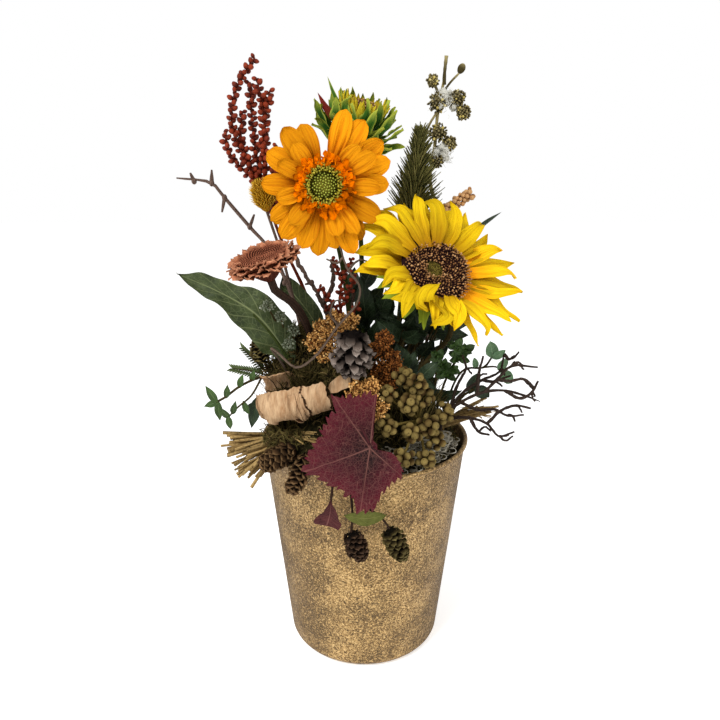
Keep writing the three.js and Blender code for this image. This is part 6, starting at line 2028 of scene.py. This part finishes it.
@dataclass
class LobedLeaf:
    """The maroon lobed leaf that drapes over the rim."""

    junction: Spot = (3, -88.6, 205)
    lobes: Rows = ((126, 45), (203, 53), (262, 49), (316, 33), (84, 36))
    edge: Rows = (
        (5, -1), (16, -4), (22, -14), (23, -21), (15, -28), (8, -35), (4, -45), (-3, -48), (-10, -48), (-11, -36),
        (-17, -37), (-20, -31), (-26, -31), (-37, -23), (-49, -20), (-43, -12), (-45, -7), (-40, -2), (-38, 4),
        (-33, 6), (-34, 11), (-30, 15), (-29, 21), (-24, 24), (-26, 36), (-20, 33), (-15, 36), (-8, 34), (0, 37),
        (5, 34), (4, 24), (2.4, 12), (2, 5))
    sides: int = 360
    rings: int = 34

    def reach(self, angle: np.ndarray) -> np.ndarray:
        """How far the leaf's edge stands from the junction in each direction, in degrees.

        Args:
            angle: The directions.

        Returns:
            The distances.
        """
        spots = sorted((math.degrees(math.atan2(z, x)) % 360, math.hypot(x, z)) for x, z in self.edge)
        turns, reaches = zip(*spots)
        teeth = ((angle + 3 * np.sin(np.radians(angle) * 4)) / 8.0) % 1
        return np.interp(angle % 360, turns, reaches, period=360) * (1.03 - 0.1 * teeth)

    def veins(self, x: np.ndarray, z: np.ndarray) -> np.ndarray:
        """How strongly a vein shows at a place on the leaf.

        Args:
            x: The places along X.
            z: The places along Z.

        Returns:
            The strength from 0 to 1.
        """
        found = np.zeros_like(x)
        heading = np.degrees(np.arctan2(z, x)) % 360
        gaps = np.stack([np.abs((heading - turn + 180) % 360 - 180) for turn, _ in self.lobes])
        nearest = gaps.argmin(axis=0)
        for i, (turn, reach) in enumerate(self.lobes):
            a = math.radians(turn)
            along, off = x * math.cos(a) + z * math.sin(a), np.abs(z * math.cos(a) - x * math.sin(a))
            width = 0.62 - 0.4 * np.clip(along / reach, 0, 1)
            main = np.clip(1.35 - off / width, 0, 1) * (along > -0.5) * 0.85
            beat = np.abs(((along - off * 0.85 + 1.2 * np.sin(off * 0.5 + i)) / 8.5) % 1 - 0.5) * 8.5
            side = np.clip(1 - beat / 0.5, 0, 1) * 0.45 * (along > 2) * (nearest == i)
            found = np.maximum(found, np.maximum(main, side))
        return found

    def build(self) -> None:
        """Builds the leaf as rings that grow from the junction to the edge and back below."""
        clay = Clay(66)
        stem(clay, "maroon", 8, slot=1)
        stamp = tube_stamp(2 * self.rings, self.sides)
        step = np.rint(stamp.spots[:, 2]).astype(int)
        share = np.maximum(1 - np.abs(step / self.rings - 1), 0.001)
        angle = np.arctan2(stamp.spots[:, 1], stamp.spots[:, 0]) % math.tau
        radius = self.reach(np.degrees(angle)) * share
        x, z = np.cos(angle) * radius, np.sin(angle) * radius
        veins = self.veins(x, z) * 0.75
        lean = np.where(z > 0, 0.28 * z, 0.045 * z) + 0.0024 * x * x
        pucker = 1.4 * np.sin(angle * 5 + 0.6) * share ** 2 + 0.9 * np.sin(x * 0.36) * np.sin(z * 0.33) * share
        face = np.where(step < self.rings, -0.3, 0.3) * (1 - share ** 8)
        clay.lay(stamp, np.stack([x, lean + pucker + face + 0.35 * veins, z], axis=1) + self.junction, tint=veins)
        clay.cast("maroon_leaf", MAROON, MAROON_STALK)


# ---------------------------------------------------------------- filler flowers and leafy sprigs


Leaf = tuple[Sequence[float], Sequence[float], float]


@dataclass
class Filler:
    """A spray of knobbly tufts on short stalks."""

    node: str
    route: str
    places: Rows
    size: float
    finish: Finish
    seed: int
    florets: int = 240

    def build(self) -> None:
        """Builds the spray."""
        clay = Clay(self.seed)
        route = stem(clay, self.route, 7, slot=1)
        low, high = np.array(STEMS[self.route][1][-2], float), route[-1]
        for i, centre in enumerate(self.places):
            root = low + (high - low) * (0.98 - 0.48 * i / len(self.places))
            clay.tube([root, (root + centre) / 2 + (1, 0, -1), centre], (0.8, 0.6), 5, 5, slot=1)
            size = self.size * clay.draw(0.9, 1.12)
            tilt = facing(np.subtract(centre, root))[:3, :3]
            for k in range(self.florets):
                x, y, z = out = tilt @ strewn(k, self.florets, 1.75)
                bump = 1 + 0.34 * math.sin(x * 6 + i) * math.sin(z * 5 + i * 2) + 0.14 * math.sin(y * 9 + i)
                spot = np.add(centre, out * size * bump * clay.draw(0.7, 1.06))
                grain = clay.draw(0.45, 0.9)
                # Painted light and shade: florets that stand out on the lumps are lighter, and those in the dips
                # darker.
                shade = min(max(bump - 0.75 + clay.draw(-0.25, 0.35), 0), 1)
                clay.ball(spot, (grain, grain, grain * 1.2), out, 1, tint=shade)
        clay.cast(self.node, self.finish, STEM_BROWN)


@dataclass
class Sprig:
    """A stem with side stalks and oval leaves."""

    node: str
    route: str
    finish: Finish
    leaves: Sequence[Leaf]
    stalks: Sequence[Rows] = ()
    seed: int = 70
    up: Spot = FRONT
    plump: float = 1.0
    wild: int = 0
    right: int = 0
    dense: int = 0

    def scattered(self, clay: Clay) -> list[Leaf]:
        """Stalked leaves that close the gaps between the stems, by a seeded rule.

        Args:
            clay: The piece that gets their stalks.

        Returns:
            The leaves.
        """
        found = []
        for i in range(self.wild + self.right):
            x = clay.draw(-46, 60) if i < self.wild else clay.draw(18, 62)
            root = np.array([x, clay.draw(-6, 46), clay.draw(198, 290 - 0.9 * max(-x, 0))])
            if i >= self.wild:
                root[1:] = root[1] * 0.4, 250 + 0.35 * (root[2] - 198)
            heading = unit(np.array([clay.draw(-1, 1), clay.draw(-0.6, 0.2), clay.draw(-0.1, 1.0)]))
            foot = np.array([root[0] * 0.6, root[1] * 0.7 + 8, max(190.0, root[2] - 60)])
            clay.tube([foot, (foot + root) / 2 + (0, 3, 0), root], (0.9, 0.7), 5, 5, slot=1)
            found.append((root, root + heading * clay.draw(18, 28), clay.draw(4.8, 7.4)))
        for i in range(self.dense):
            root = np.array(self.leaves[i % len(self.leaves)][0]) + clay.chance.uniform(-1.2, 1.2, 3)
            heading = unit(np.array([clay.draw(-1, 1), clay.draw(-1, 0.1), clay.draw(-0.5, 1)]))
            found.append((root, root + heading * clay.draw(5, 7.5), clay.draw(1.9, 2.5)))
        return found

    def build(self) -> None:
        """Builds the sprig."""
        clay = Clay(self.seed)
        stem(clay, self.route, 7, slot=1)
        for rows in self.stalks:
            clay.tube(rows, (0.85, 0.6), 6, slot=1)
        for root, tip, half in (*self.leaves, *self.scattered(clay)):
            start, end = np.array(root, float), np.array(tip, float)
            length = np.linalg.norm(end - start)
            bow = (np.multiply(self.up, 0.12) + clay.chance.uniform(-0.05, 0.05, 3)) * length
            rib = [start - (end - start) / length * 1.2, start + (end - start) * 0.5 + bow, end]
            wide = half * self.plump
            widths = (0.3, wide * 0.72, wide, wide * 0.92, half * 0.5 * self.plump ** 3, 0)
            clay.blade(rib, profile(widths), self.up, cupped(0.22 * half), 14, 8, wave=0.06 * half,
                       twist=clay.draw(-0.2, 0.2))
        clay.cast(self.node, self.finish, STEM_BROWN)


SPRIGS: Sequence[Sprig] = (
    Sprig("tendril_left", "tendrilLeft", FRESH_LEAF, (
        ((-108, -46, 222), (-115, -47, 235), 3), ((-107, -46, 222.5), (-117, -47, 219), 2.6),
        ((-107, -46, 222.4), (-106, -47, 208), 3), ((-99, -50, 212), (-104, -52, 220), 2.6),
        ((-96, -49.2, 215), (-93, -51, 225), 2.4), ((-99.5, -50, 211.7), (-98, -51, 203), 2.6),
        ((-91, -43, 233), (-88, -44, 243), 2.4), ((-83, -38, 236), (-80, -40, 245), 2.2),
        ((-88, -46.4, 222), (-84, -48, 213), 2.4), ((-101, -46, 226), (-99, -47, 236), 2.4)),
        (((-76, -34, 237), (-83, -44, 226), (-92, -48, 219), (-100, -50, 211)),), seed=71),
    Sprig("tendril_right", "tendrilRight", PALE_LEAF, (
        ((98, -10, 245.6), (95, -11, 258), 4.4), ((98, -10, 245), (107, -11, 251), 3.0),
        ((103, -10.8, 236), (109, -12, 245), 3.0), ((105.6, -12, 234.2), (113, -13, 225), 4.2),
        ((86, -7, 236), (84, -8, 244), 2.2)),
        (((91, -8, 236), (101, -10, 237), (106, -12, 234)),), seed=72, plump=1.15),
    Sprig("boxwood_sprig", "boxwood", BOX_LEAF, (
        ((56, -15, 246), (50, -17, 252), 3), ((56, -15, 245.6), (58, -17, 254), 3),
        ((60, -12.8, 237.6), (52, -16, 239), 2.8),
        ((68, -16, 255), (62, -17, 259), 3), ((68, -16, 255.6), (73, -17, 262), 3), ((76, -14, 252), (83, -15, 256), 3),
        ((72.2, -13.2, 246), (80, -15, 243), 2.8), ((66, -12, 236), (73, -14, 234), 2.8),
        ((62, -12, 232), (54, -14, 231), 2.8),
        ((74, -14, 249), (73, -16, 257), 2.6), ((69, -15, 249), (63, -16, 250), 2.6),
        ((60, -13.2, 239), (66, -16, 242), 2.8), ((70, -13.6, 245), (64, -15, 244), 2.6),
        ((64, -11, 233), (70, -15, 228), 2.8)),
        (((64, -10.8, 230), (60, -12.9, 238), (56, -15, 246)), ((70, -13, 243), (68, -16, 256))),
        seed=73, plump=1.12, dense=70),
    Sprig("dark_leaf_sprig", "darkSprig", DARK_LEAF, (
        ((29, -31, 243), (23, -33, 263), 7), ((30, -26.4, 230), (37, -25, 255), 6.5),
        ((41, -34, 237), (53, -36, 250), 5.6), ((39, -32.6, 233), (52, -38, 230), 5),
        ((30.4, -24, 224), (20, -28, 236), 5)),
        (((30.4, -23.5, 222), (38, -32, 230), (41, -34, 238)),), seed=74),
    Sprig("ivy_right", "ivyRight", DARK_LEAF,
          (((84, -22, 224), (94.6, -22, 217), 5.4), ((80, -18.5, 219.5), (87, -20, 237), 5)), seed=75),
    Sprig("leaf_left", "leafLeft", DARK_LEAF,
          (((-79, -36, 222), (-84, -42, 200), 4.6), ((-76, -33, 216.8), (-91, -36, 211), 3.8)), seed=76),
    Sprig("back_greens", "backGreens", DARK_LEAF, (
        ((-12, 66, 275), (-8, 70, 300), 7), ((-11, 62.7, 258), (12, 68, 273), 6.8),
        ((-10.6, 61.5, 250), (-34, 68, 264), 6.8),
        ((-9.6, 58.5, 230), (16, 65, 240), 6.8), ((-9.3, 57, 221), (-34, 64, 231), 6.8),
        ((2, 20, 262), (-3, 4, 306), 8), ((6, 20, 268), (19, 4, 296), 7), ((-2, 22, 292), (8, 10, 322), 6.4),
        ((4, 20, 240), (22, 4, 262), 7), ((20, 8, 250), (10, -6, 274), 6.4)), seed=77, wild=64, right=22),
    Sprig("back_greens_right", "backRight", DARK_LEAF, (
        ((58, 70, 249), (64, 74, 273), 6.8), ((55, 67.6, 238), (77, 70, 247), 6.4),
        ((52.5, 65.6, 226), (34, 74, 239), 6.4)), up=BACK, seed=78),
)

FILLERS: Sequence[Filler] = (
    Filler("yarrow_left", "yarrowLeft", ((-24, -38, 267), (-36, -40, 266), (-22, -37, 281), (-12, -35, 279),
                                         (-31, -39, 275), (-28, -38, 256), (-17, -37, 271)), 6.4, YARROW, 51),
    Filler("yarrow_right", "yarrowRight", ((11, -38, 260), (19, -40, 253), (10, -45, 245), (18, -45, 240),
                                           (14, -42, 268), (14, -48, 232), (22, -44, 246)), 6.4, YARROW_BROWN, 52),
    Filler("yarrow_low", "yarrowLow", ((-5, -63, 239), (4, -63, 240), (3, -67, 231), (9, -67, 224), (-8, -62, 231)),
           5.8, YARROW, 53),
    Filler("statice", "statice", ((-61, -32, 282), (-70, -32, 290), (-52, -30, 272), (-56, -32, 262)), 4.2, SILVER,
           55, 60),
)


@dataclass
class Feathery:
    """The fine greens low at the left."""

    tips: Rows = ((-91, -24, 256), (-99, -26, 241))

    def build(self) -> None:
        """Builds two fronds of thin leaflets."""
        clay = Clay(56)
        route = stem(clay, "feathery", 7, slot=1)
        top = route[-1]
        for tip in self.tips:
            heading = np.subtract(tip, top)
            clay.tube([top, top + heading * 0.5 + (0, 0, 1), tip], (0.7, 0.3), 5, 8, slot=1)
            for i in range(26):
                share = 0.12 + 0.86 * i / 25
                side = -1 if i % 2 else 1
                root = top + heading * share
                reach = unit(heading) * 5 + np.array([0, side * 3.2, side * 4.4]) * (1.15 - share * 0.6)
                clay.blade([root, root + reach * 0.5 + (0, -0.4, 0.3), root + reach], pointed(0.85), FRONT, rows=5,
                           columns=2, thick=0.35)
        clay.cast("feathery_greens", FEATHER, STEM_BROWN)


# ---------------------------------------------------------------- cones, bark, straw, berries and twigs


@dataclass
class Cone:
    """A cone of woody scales set in a spiral."""

    node: str
    base: Spot
    tip: Spot
    girth: float
    finish: Finish
    scales: int
    width: float
    droop: float
    route: str
    seed: int
    ragged: float
    girths: Sequence[float] = (0.8, 1.0, 0.92, 0.45)

    def build(self) -> None:
        """Builds the cone, on its stalk if it has one."""
        clay = Clay(self.seed)
        head = Head(self.base, tuple(np.subtract(self.tip, self.base)))
        length = float(np.linalg.norm(head.axis))
        if self.route:
            stem(clay, self.route, 7, slot=1)
        core = [(self.girth * 0.4 * float(spread(self.girths, t)), length * t) for t in np.linspace(0, 1, 7)]
        # The core under the scales has the darkest tint: painted shade between the scales.
        clay.turned([(0, 0), *core, (0, length)], 16, head.at(), tint=0.0)
        for i in range(self.scales):
            t = (i + 0.3) / self.scales
            reach = self.girth * float(spread(self.girths, t)) * clay.draw(0.86, 1.08)
            place = head.at(i * GOLDEN + clay.draw(-0.15, 0.15))
            low = length * t * 0.94
            rise = self.droop * reach * clay.draw(0.7, 1.25)
            rib = [(reach * 0.2, 0, low - rise * 0.3), (reach * 0.62, clay.draw(-0.3, 0.3), low + rise * 0.25),
                   (reach, clay.draw(-0.8, 0.8), min(low + rise, length))]
            clay.blade(rib, rounded(self.girth * self.width * clay.draw(0.8, 1.15), 0.4, 0.72, 2.6), rows=8,
                       lift=lambda t, u: self.girth * (0.1 * (1 - u * u) + 0.05 * np.sin(u * 9)) * t,
                       thick=self.girth * 0.1, wave=self.ragged, twist=clay.draw(-0.35, 0.35), place=place)
        clay.cast(self.node, self.finish, DARK_STEM)


CONES: Sequence[Cone] = (
    Cone("grey_cone", (-9.2, -57.5, 278), (-9, -59, 246), 15.6, CONE_GREY, 56, 0.22, 0.4, "greyCone", 91, 1.3),
    Cone("left_cone", (-76, -24, 245), (-80, -26, 263), 7.6, CONE_MOSSY, 48, 0.36, 0.3, "leftCone", 92, 0.5),
    Cone("mossy_cone", (-51, -55, 190.2), (-75, -67, 180.2), 9.2, CONE_BROWN, 64, 0.34, 0.62, "", 93, 0.5),
    Cone("rim_cone", (-40, -64, 188.5), (-52, -88, 170.5), 8.2, CONE_BROWN, 60, 0.36, 0.62, "", 94, 0.5),
    Cone("alder_cone_a", (-10, -88, 139), (-2, -91, 119), 8.6, CONE_DARK, 62, 0.32, 0.2, "", 95, 0.6),
    Cone("alder_cone_b", (17, -88.5, 142), (28, -89, 118), 9, CONE_MOSSY, 70, 0.3, 0.2, "", 96, 0.6),
)


@dataclass
class BarkRoll:
    """The curl of thin pale bark, open at the top, with a smaller curl inside its left end."""

    left: Spot = (-73, -44, 219)
    right: Spot = (-26, -46, 230)
    thick: float = 1.0
    slope: float = 0.14
    # Where along the roll a thin dark line runs across its outer face: a painted shadow of the roll, drawn like a split
    # in the bark.
    painted_shadow_line: float = 0.66
    flap: float = math.radians(378)

    def curl(self, clay: Clay, radii: Sequence[float], turns: tuple[float, float], reach: tuple[float, float],
             tear: float) -> None:
        """Adds one curled sheet with torn edges.

        Args:
            clay: The piece.
            radii: Evenly spaced radii from its first edge to its last.
            turns: Where it starts and ends round the roll, in degrees: 90 is up and 180 is the front.
            reach: Where it starts and ends along the roll, as shares of its length.
            tear: How deep its tears are, in millimetres.
        """
        axis = np.subtract(self.right, self.left)
        length = float(np.linalg.norm(axis))
        stamp = sheet_stamp(64, 84)
        share, t, face = (stamp.spots[:, 0] + 1) / 2, (stamp.spots[:, 1] + 1) / 2, stamp.spots[:, 2]
        waves = clay.chance.uniform(0, 6.3, 8)
        ragged = 0.5 * np.sin(t * 19 + waves[3]) + 0.35 * np.sin(t * 43 + waves[4]) + 0.2 * np.sin(t * 90 + waves[6])
        start, end = (math.radians(turn) for turn in turns)
        turn = start + share * (end - start) * (1 - self.slope * eased((t - 0.3) / 0.25))
        turn = turn + ragged * tear * 0.07 * np.abs(share * 2 - 1) ** 6
        folds = zip((1.2, 0.8, 0.5), (3, 7, 17), waves)
        crumple = sum(high * np.sin(turn * often + wave) for high, often, wave in folds)
        along = length * (reach[0] + (reach[1] - reach[0]) * t) + crumple * tear * 0.5 * np.abs(t * 2 - 1) ** 5
        along = along + 0.16 * length * tear / 1.4 * np.clip(np.sin(turn * 1.5 + 1.2), 0, 1) ** 2 * (1 - t) ** 8
        swell = 1 + 0.16 * (1 - t) ** 14 + 0.05 * np.sin(t * math.tau + waves[5])
        swell = swell + 0.012 * np.sin(t * 60 + 2 * np.sin(turn)) + 0.02 * np.sin(turn * 5 + t * 9)
        radius = spread(radii, share) * swell - (1 - face) * self.thick
        spots = np.stack([np.cos(turn) * radius, np.sin(turn) * radius, along], axis=1)
        # The painted shadow line, at the darkest tint on the outer face only.
        painted_shadow_line = np.abs(t - self.painted_shadow_line - 0.03 * np.sin(turn * 2) - 0.012 * np.sin(turn * 9)) < 0.014
        shade = np.where(turn > self.flap, 1.0, 0.5 + 0.5 * face)
        clay.lay(stamp, spots, facing(axis, self.left), tint=np.where(painted_shadow_line & (face > 0.5), 0.0, shade))

    def build(self) -> None:
        """Rolls the outer sheet, the inner curl and a torn flap."""
        clay = Clay(97)
        self.curl(clay, (13.4, 14.4, 14.6, 14, 14, 15.5, 20), (128, 436), (0.0, 1.0), 1.3)
        self.curl(clay, (11.8, 10.4, 8.6, 6.8, 4.6), (120, 620), (-0.06, 0.34), 0.6)
        self.curl(clay, (15.6, 15.4, 16.4), (150, 262), (0.42, 0.62), 0.8)
        clay.blade([(-25, -50, 232), (-17, -51, 238), (-7, -50, 240)], profile((2, 4.6, 5.2, 4.4, 1.6)), (0, -0.8, 0.6),
                   cupped(1.8), 14, 8, 0.8, wave=0.8, tint=1.0)
        clay.cast("bark_roll", BARK_TAN)


@dataclass
class DryStuff:
    """Straw, raffia and lichen, laid on the moss at the rim."""

    tie: Spot = (-58, -44, 193)
    tips: Rows = (
        (-82, -68, 164), (-90, -62, 164), (-98, -54, 170), (-104, -46, 178), (-88, -66, 172), (-98, -58, 180),
        (-107, -48, 186), (-108, -40, 190), (-96, -60, 186), (-107, -52, 193), (-113, -44, 197))

    def straw(self) -> None:
        """A bundle of thick dry straws bound at its middle, with moss caught on it."""
        clay = Clay(101)
        clay.ball(self.tie, (9, 7, 4.2), level=3, tint=0.1)
        for i in range(52):
            count = len(self.tips)
            mix = clay.draw()
            tip = np.array(self.tips[i % count], float)
            if i >= count:
                tip = tip * (1 - mix) + np.array(self.tips[(i + 1) % count]) * mix
            start = np.add(self.tie, (clay.draw(-3, 8), clay.draw(-5, 5), clay.draw(-2.6, 4.2)))
            end = start + (tip - start) * clay.draw(0.7, 1.0)
            bow = clay.chance.uniform(-1, 1, 3)
            width = clay.draw(0.8, 1.5)
            clay.tube([start, (start + end) / 2 + bow, end], (width * 0.9, width), 7, 5)
            ahead = unit(end - start)
            clay.tube([end - ahead * 0.4, end + ahead * 0.05], (width * 0.7, width * 0.7), 7, 2, slot=1)
        for i in range(26):
            start = np.add(self.tie, (clay.draw(0, 6), clay.draw(-5, 6), clay.draw(-2, 3)))
            end = start + (clay.draw(10, 24), clay.draw(-14, 2), clay.draw(-3, 5))
            clay.tube([start, (start + end) / 2 + (0, 0, 1.4), end], (0.9, 0.6), 5, 4)
        for i in range(420):
            root = np.add(self.tie, (clay.draw(-16, 12), clay.draw(-12, 6), clay.draw(-2, 6)))
            lean = clay.chance.uniform(-1, 1, 3) * 6
            clay.tube([root, root + lean * 0.5 + (0, 0, 1.5), root + lean], (0.5, 0.4, 0.12), 3, 3, slot=2,
                      tint=clay.draw(0, 0.8))
        clay.cast("straw_bundle", STRAW, STRAW_END, MOSS)

    def raffia(self) -> None:
        """A few flat strands that stand out at the right."""
        clay = Clay(102)
        stem(clay, "raffia", 7)
        clay.tube([(64, -12, 194), (80, -15, 206), (94, -17, 214)], (1.1, 0.6), 6, 8)
        for bend, wide in ((0.0, 3.4), (2.4, 2.4)):
            clay.blade([(58, -14, 190 + bend), (72, -20, 198 + bend), (86, -22, 203 + bend), (97, -21, 205 + bend)],
                       profile((wide, wide, wide * 0.8, wide * 0.5)), (0, -0.8, 0.6), lambda t, u: 0.5 * np.sin(u * 12),
                       14, 12, 0.6, wave=0.7)
        for i in range(16):
            tip = (clay.draw(84, 103), clay.draw(-28, -13), clay.draw(196, 214))
            rib = [(63, -12, 193), (76, clay.draw(-20, -13), clay.draw(199, 207)), tip]
            clay.blade(rib, lambda t: 0.9 - 0.3 * t, rows=10, columns=2, thick=0.3, twist=clay.draw(-1.5, 1.5))
        clay.cast("raffia", STRAW)

    def lichen(self) -> None:
        """Grey curls along the front right of the rim."""
        clay = Clay(103)
        bedding = Bedding()
        for i in range(330):
            turn = -1.65 + 1.35 * clay.draw()
            radius = clay.draw(58, 75)
            x, y = math.cos(turn) * radius, math.sin(turn) * radius
            z = float(bedding.height(x, y)) + clay.draw(-1, 5)
            swing = clay.draw(0, 6.3)
            loop = np.array([(math.cos(a * 1.3 + swing), math.sin(a * 1.3 + swing), a * 0.3) for a in range(5)])
            clay.tube((loop - loop[0]) * clay.draw(1.2, 3.2) + (x, y, z), (0.45, 0.4, 0.2), 4, 10)
        clay.cast("lichen", LICHEN)

    def build(self) -> None:
        """Builds all three."""
        self.straw()
        self.raffia()
        self.lichen()


@dataclass
class BerryBunch:
    """The olive-gold berries on their branching stalk."""

    clusters: Rows = (
        (28, -50, 242), (15, -59, 232), (42, -53, 229), (57, -49, 215), (16, -69, 213), (33, -64, 206), (50, -57, 198),
        (27, -72, 191), (43, -67, 188), (30, -60, 226), (45, -61, 211), (36, -56, 240))
    heart: Spot = (34, -34, 208)
    berries: int = 11

    def build(self) -> None:
        """Builds the stalks, and a dozen berries or so at the end of each."""
        clay = Clay(81)
        top = stem(clay, "berries", 8, slot=1)[-1]
        for centre in self.clusters:
            out = unit(np.subtract(centre, self.heart))
            clay.tube([top, (top + centre) / 2 + out, centre], (1.2, 0.9), 6, 6, slot=1)
            tilt = facing(out)[:3, :3]
            for k in range(self.berries):
                way = tilt @ strewn(k, self.berries, 1.5)
                spot = np.add(centre, way * clay.draw(4.6, 7.2))
                clay.tube([centre, spot], (0.5, 0.4), 4, 2, slot=1)
                radius = clay.draw(2.4, 3.1)
                navel = unit(way + clay.chance.uniform(-0.8, 0.8, 3))
                clay.ball(spot, (radius, radius, radius * 0.96), navel, 3 if k < 8 else 2)
        clay.cast("berry_bunch", BERRY, BERRY_STEM)


@dataclass
class Twigs:
    """The curly twigs, the looping vine and the fork that bears the hanging cones."""

    curls: Sequence[Rows] = (
        ((104, -33, 226), (115, -36, 221), (123, -37, 226), (127, -37, 235)),
        ((60, -24, 201), (74, -26, 222), (88, -26, 232), (101, -24, 238), (104, -22, 251)),
        ((89, -33, 225), (98, -31, 234), (108, -30, 244), (128, -29, 243)),
        ((60, -24, 200), (78, -40, 207), (90, -44, 204), (99, -46, 195), (110, -47, 199)),
        ((90, -44, 204), (99, -44, 214), (110, -43, 218), (122, -41, 215)),
        ((84, -32.4, 222), (84, -31, 236), (87, -30, 252)),
        ((72, -31, 216), (84, -36, 212), (96, -38, 213), (106, -38, 208), (118, -39, 209)),
        ((98, -31, 234), (108, -29, 232), (118, -30, 234), (126, -31, 228)),
        ((88, -26, 232), (96, -24, 230), (110, -22, 234)),
        ((78, -40, 207), (84, -45, 198), (92, -46, 196)),
        ((104, -22, 251), (108, -22, 247), (112, -22, 250)),
        ((64, -26, 205), (70, -22, 226), (76, -22, 240), (73, -21, 250)),
    )
    tendrils: Sequence[Rows] = (
        ((-15, -37, 326), (-20, -37, 322), (-27, -38, 325)), ((-12, -37, 317), (-4, -37, 324), (4, -36, 322)),
        ((-19, -54, 281), (-24, -52, 290), (-21, -50, 298), (-14, -49, 297)))

    def build(self) -> None:
        """Builds all three."""
        clay = Clay(111)
        stem(clay, "curly", 7, 0.14, tip=0.4)
        for rows in self.curls:
            clay.tube(rows, (1.45, 1.15, 0.75), 6, 5 * len(rows), 0.12, 0.1)
        for i in range(16):
            root = np.array(self.curls[i % len(self.curls)][-2], float)
            end = root + (clay.draw(2, 12), clay.draw(-4, 3), clay.draw(-9, 9))
            end[0] = min(end[0], 126)
            clay.tube([root, (root + end) / 2 + (0, 0, clay.draw(-4, 4)), end], (1.0, 0.7), 6, 7, 0.12, 0.15)
        clay.cast("curly_twigs", CURL)
        clay = Clay(112)
        stem(clay, "grapevine", 7, 0.1, tip=0.5)
        for rows in self.tendrils:
            clay.tube(rows, (0.9, 0.5), 6, 12, 0.1, 0.2)
        clay.cast("grapevine", VINE)
        clay = Clay(113)
        stem(clay, "alder", 7, 0.12)
        clay.tube([(-10, -85, 167), (2, -86.4, 158), (12, -87.4, 150), (17, -88.4, 143)], (0.9, 0.8), 6, 14, 0.12)
        clay.cast("alder_sprig", DARK_STEM)


# ---------------------------------------------------------------- studio


@dataclass
class Studio:
    """A pale floor, soft light and the photograph's view."""

    lens: float = 35.0
    eye: Spot = (-3.7, -522.0, 405.0)
    pitch: float = 72.4
    sky: float = 0.6

    def light(self, name: str, place: Sequence[float], aim: Sequence[float], size: float, power: float) -> None:
        """Hangs one soft lamp.

        Args:
            name: Its name.
            place: Where it hangs, in metres.
            aim: Where it looks, in metres.
            size: Its width, in metres.
            power: Its strength, in watts.
        """
        bpy.ops.object.light_add(type="AREA", location=place)
        lamp = bpy.context.object
        lamp.name = name
        lamp.data.size = size
        lamp.data.energy = power
        turn = facing(np.subtract(place, aim))[:3, :3]
        lamp.rotation_euler = Matrix(turn.tolist()).to_euler()

    def build(self) -> None:
        """Sets the floor, the lamps, the sky and the camera."""
        bpy.ops.object.select_all(action="DESELECT")
        bpy.ops.mesh.primitive_plane_add(size=6, location=(0, 0, 0))
        floor = bpy.context.object
        floor.name = "floor"
        floor.data.materials.append(FLOOR.material())
        self.light("key", (-0.7, -0.9, 1.4), (0, 0, 0.24), 0.6, 20.0)
        self.light("fill", (1.1, -0.7, 0.8), (0, 0, 0.24), 0.8, 5.0)
        world = bpy.data.worlds.new("sky")
        bpy.context.scene.world = world
        world.use_nodes = True
        tree = world.node_tree
        sky = tree.nodes["Background"]
        sky.inputs["Color"].default_value = (1.0, 1.0, 1.0, 1.0)
        seen = tree.nodes.new("ShaderNodeLightPath")
        strength = tree.nodes.new("ShaderNodeMapRange")
        strength.inputs["To Min"].default_value = self.sky
        strength.inputs["To Max"].default_value = 1.0
        tree.links.new(strength.inputs["Value"], seen.outputs["Is Camera Ray"])
        tree.links.new(sky.inputs["Strength"], strength.outputs[0])
        bpy.ops.object.camera_add(location=[c * MM for c in self.eye], rotation=(math.radians(self.pitch), 0, 0))
        camera = bpy.context.object
        camera.name = "view"
        camera.data.lens = self.lens
        camera.data.sensor_width = 36.0
        camera.data.clip_start = 0.01
        bpy.context.scene.camera = camera
        bpy.context.scene.view_settings.view_transform = "Standard"


def main() -> None:
    """Builds the studio and the arrangement."""
    logging.basicConfig(level=logging.INFO, format="%(message)s")
    Studio().build()
    assemblies = (
        Bucket(), Bedding(), OrangeBloom(), Sunflower(), OpeningBud(), RedSprays(), Bristles(), Protea(), Branches(),
        *LEAVES, LobedLeaf(), *FILLERS, *SPRIGS, Feathery(), *CONES, BarkRoll(), DryStuff(), BerryBunch(), Twigs())
    for assembly in assemblies:
        assembly.build()
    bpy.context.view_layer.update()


if __name__ == "__main__":
    main()
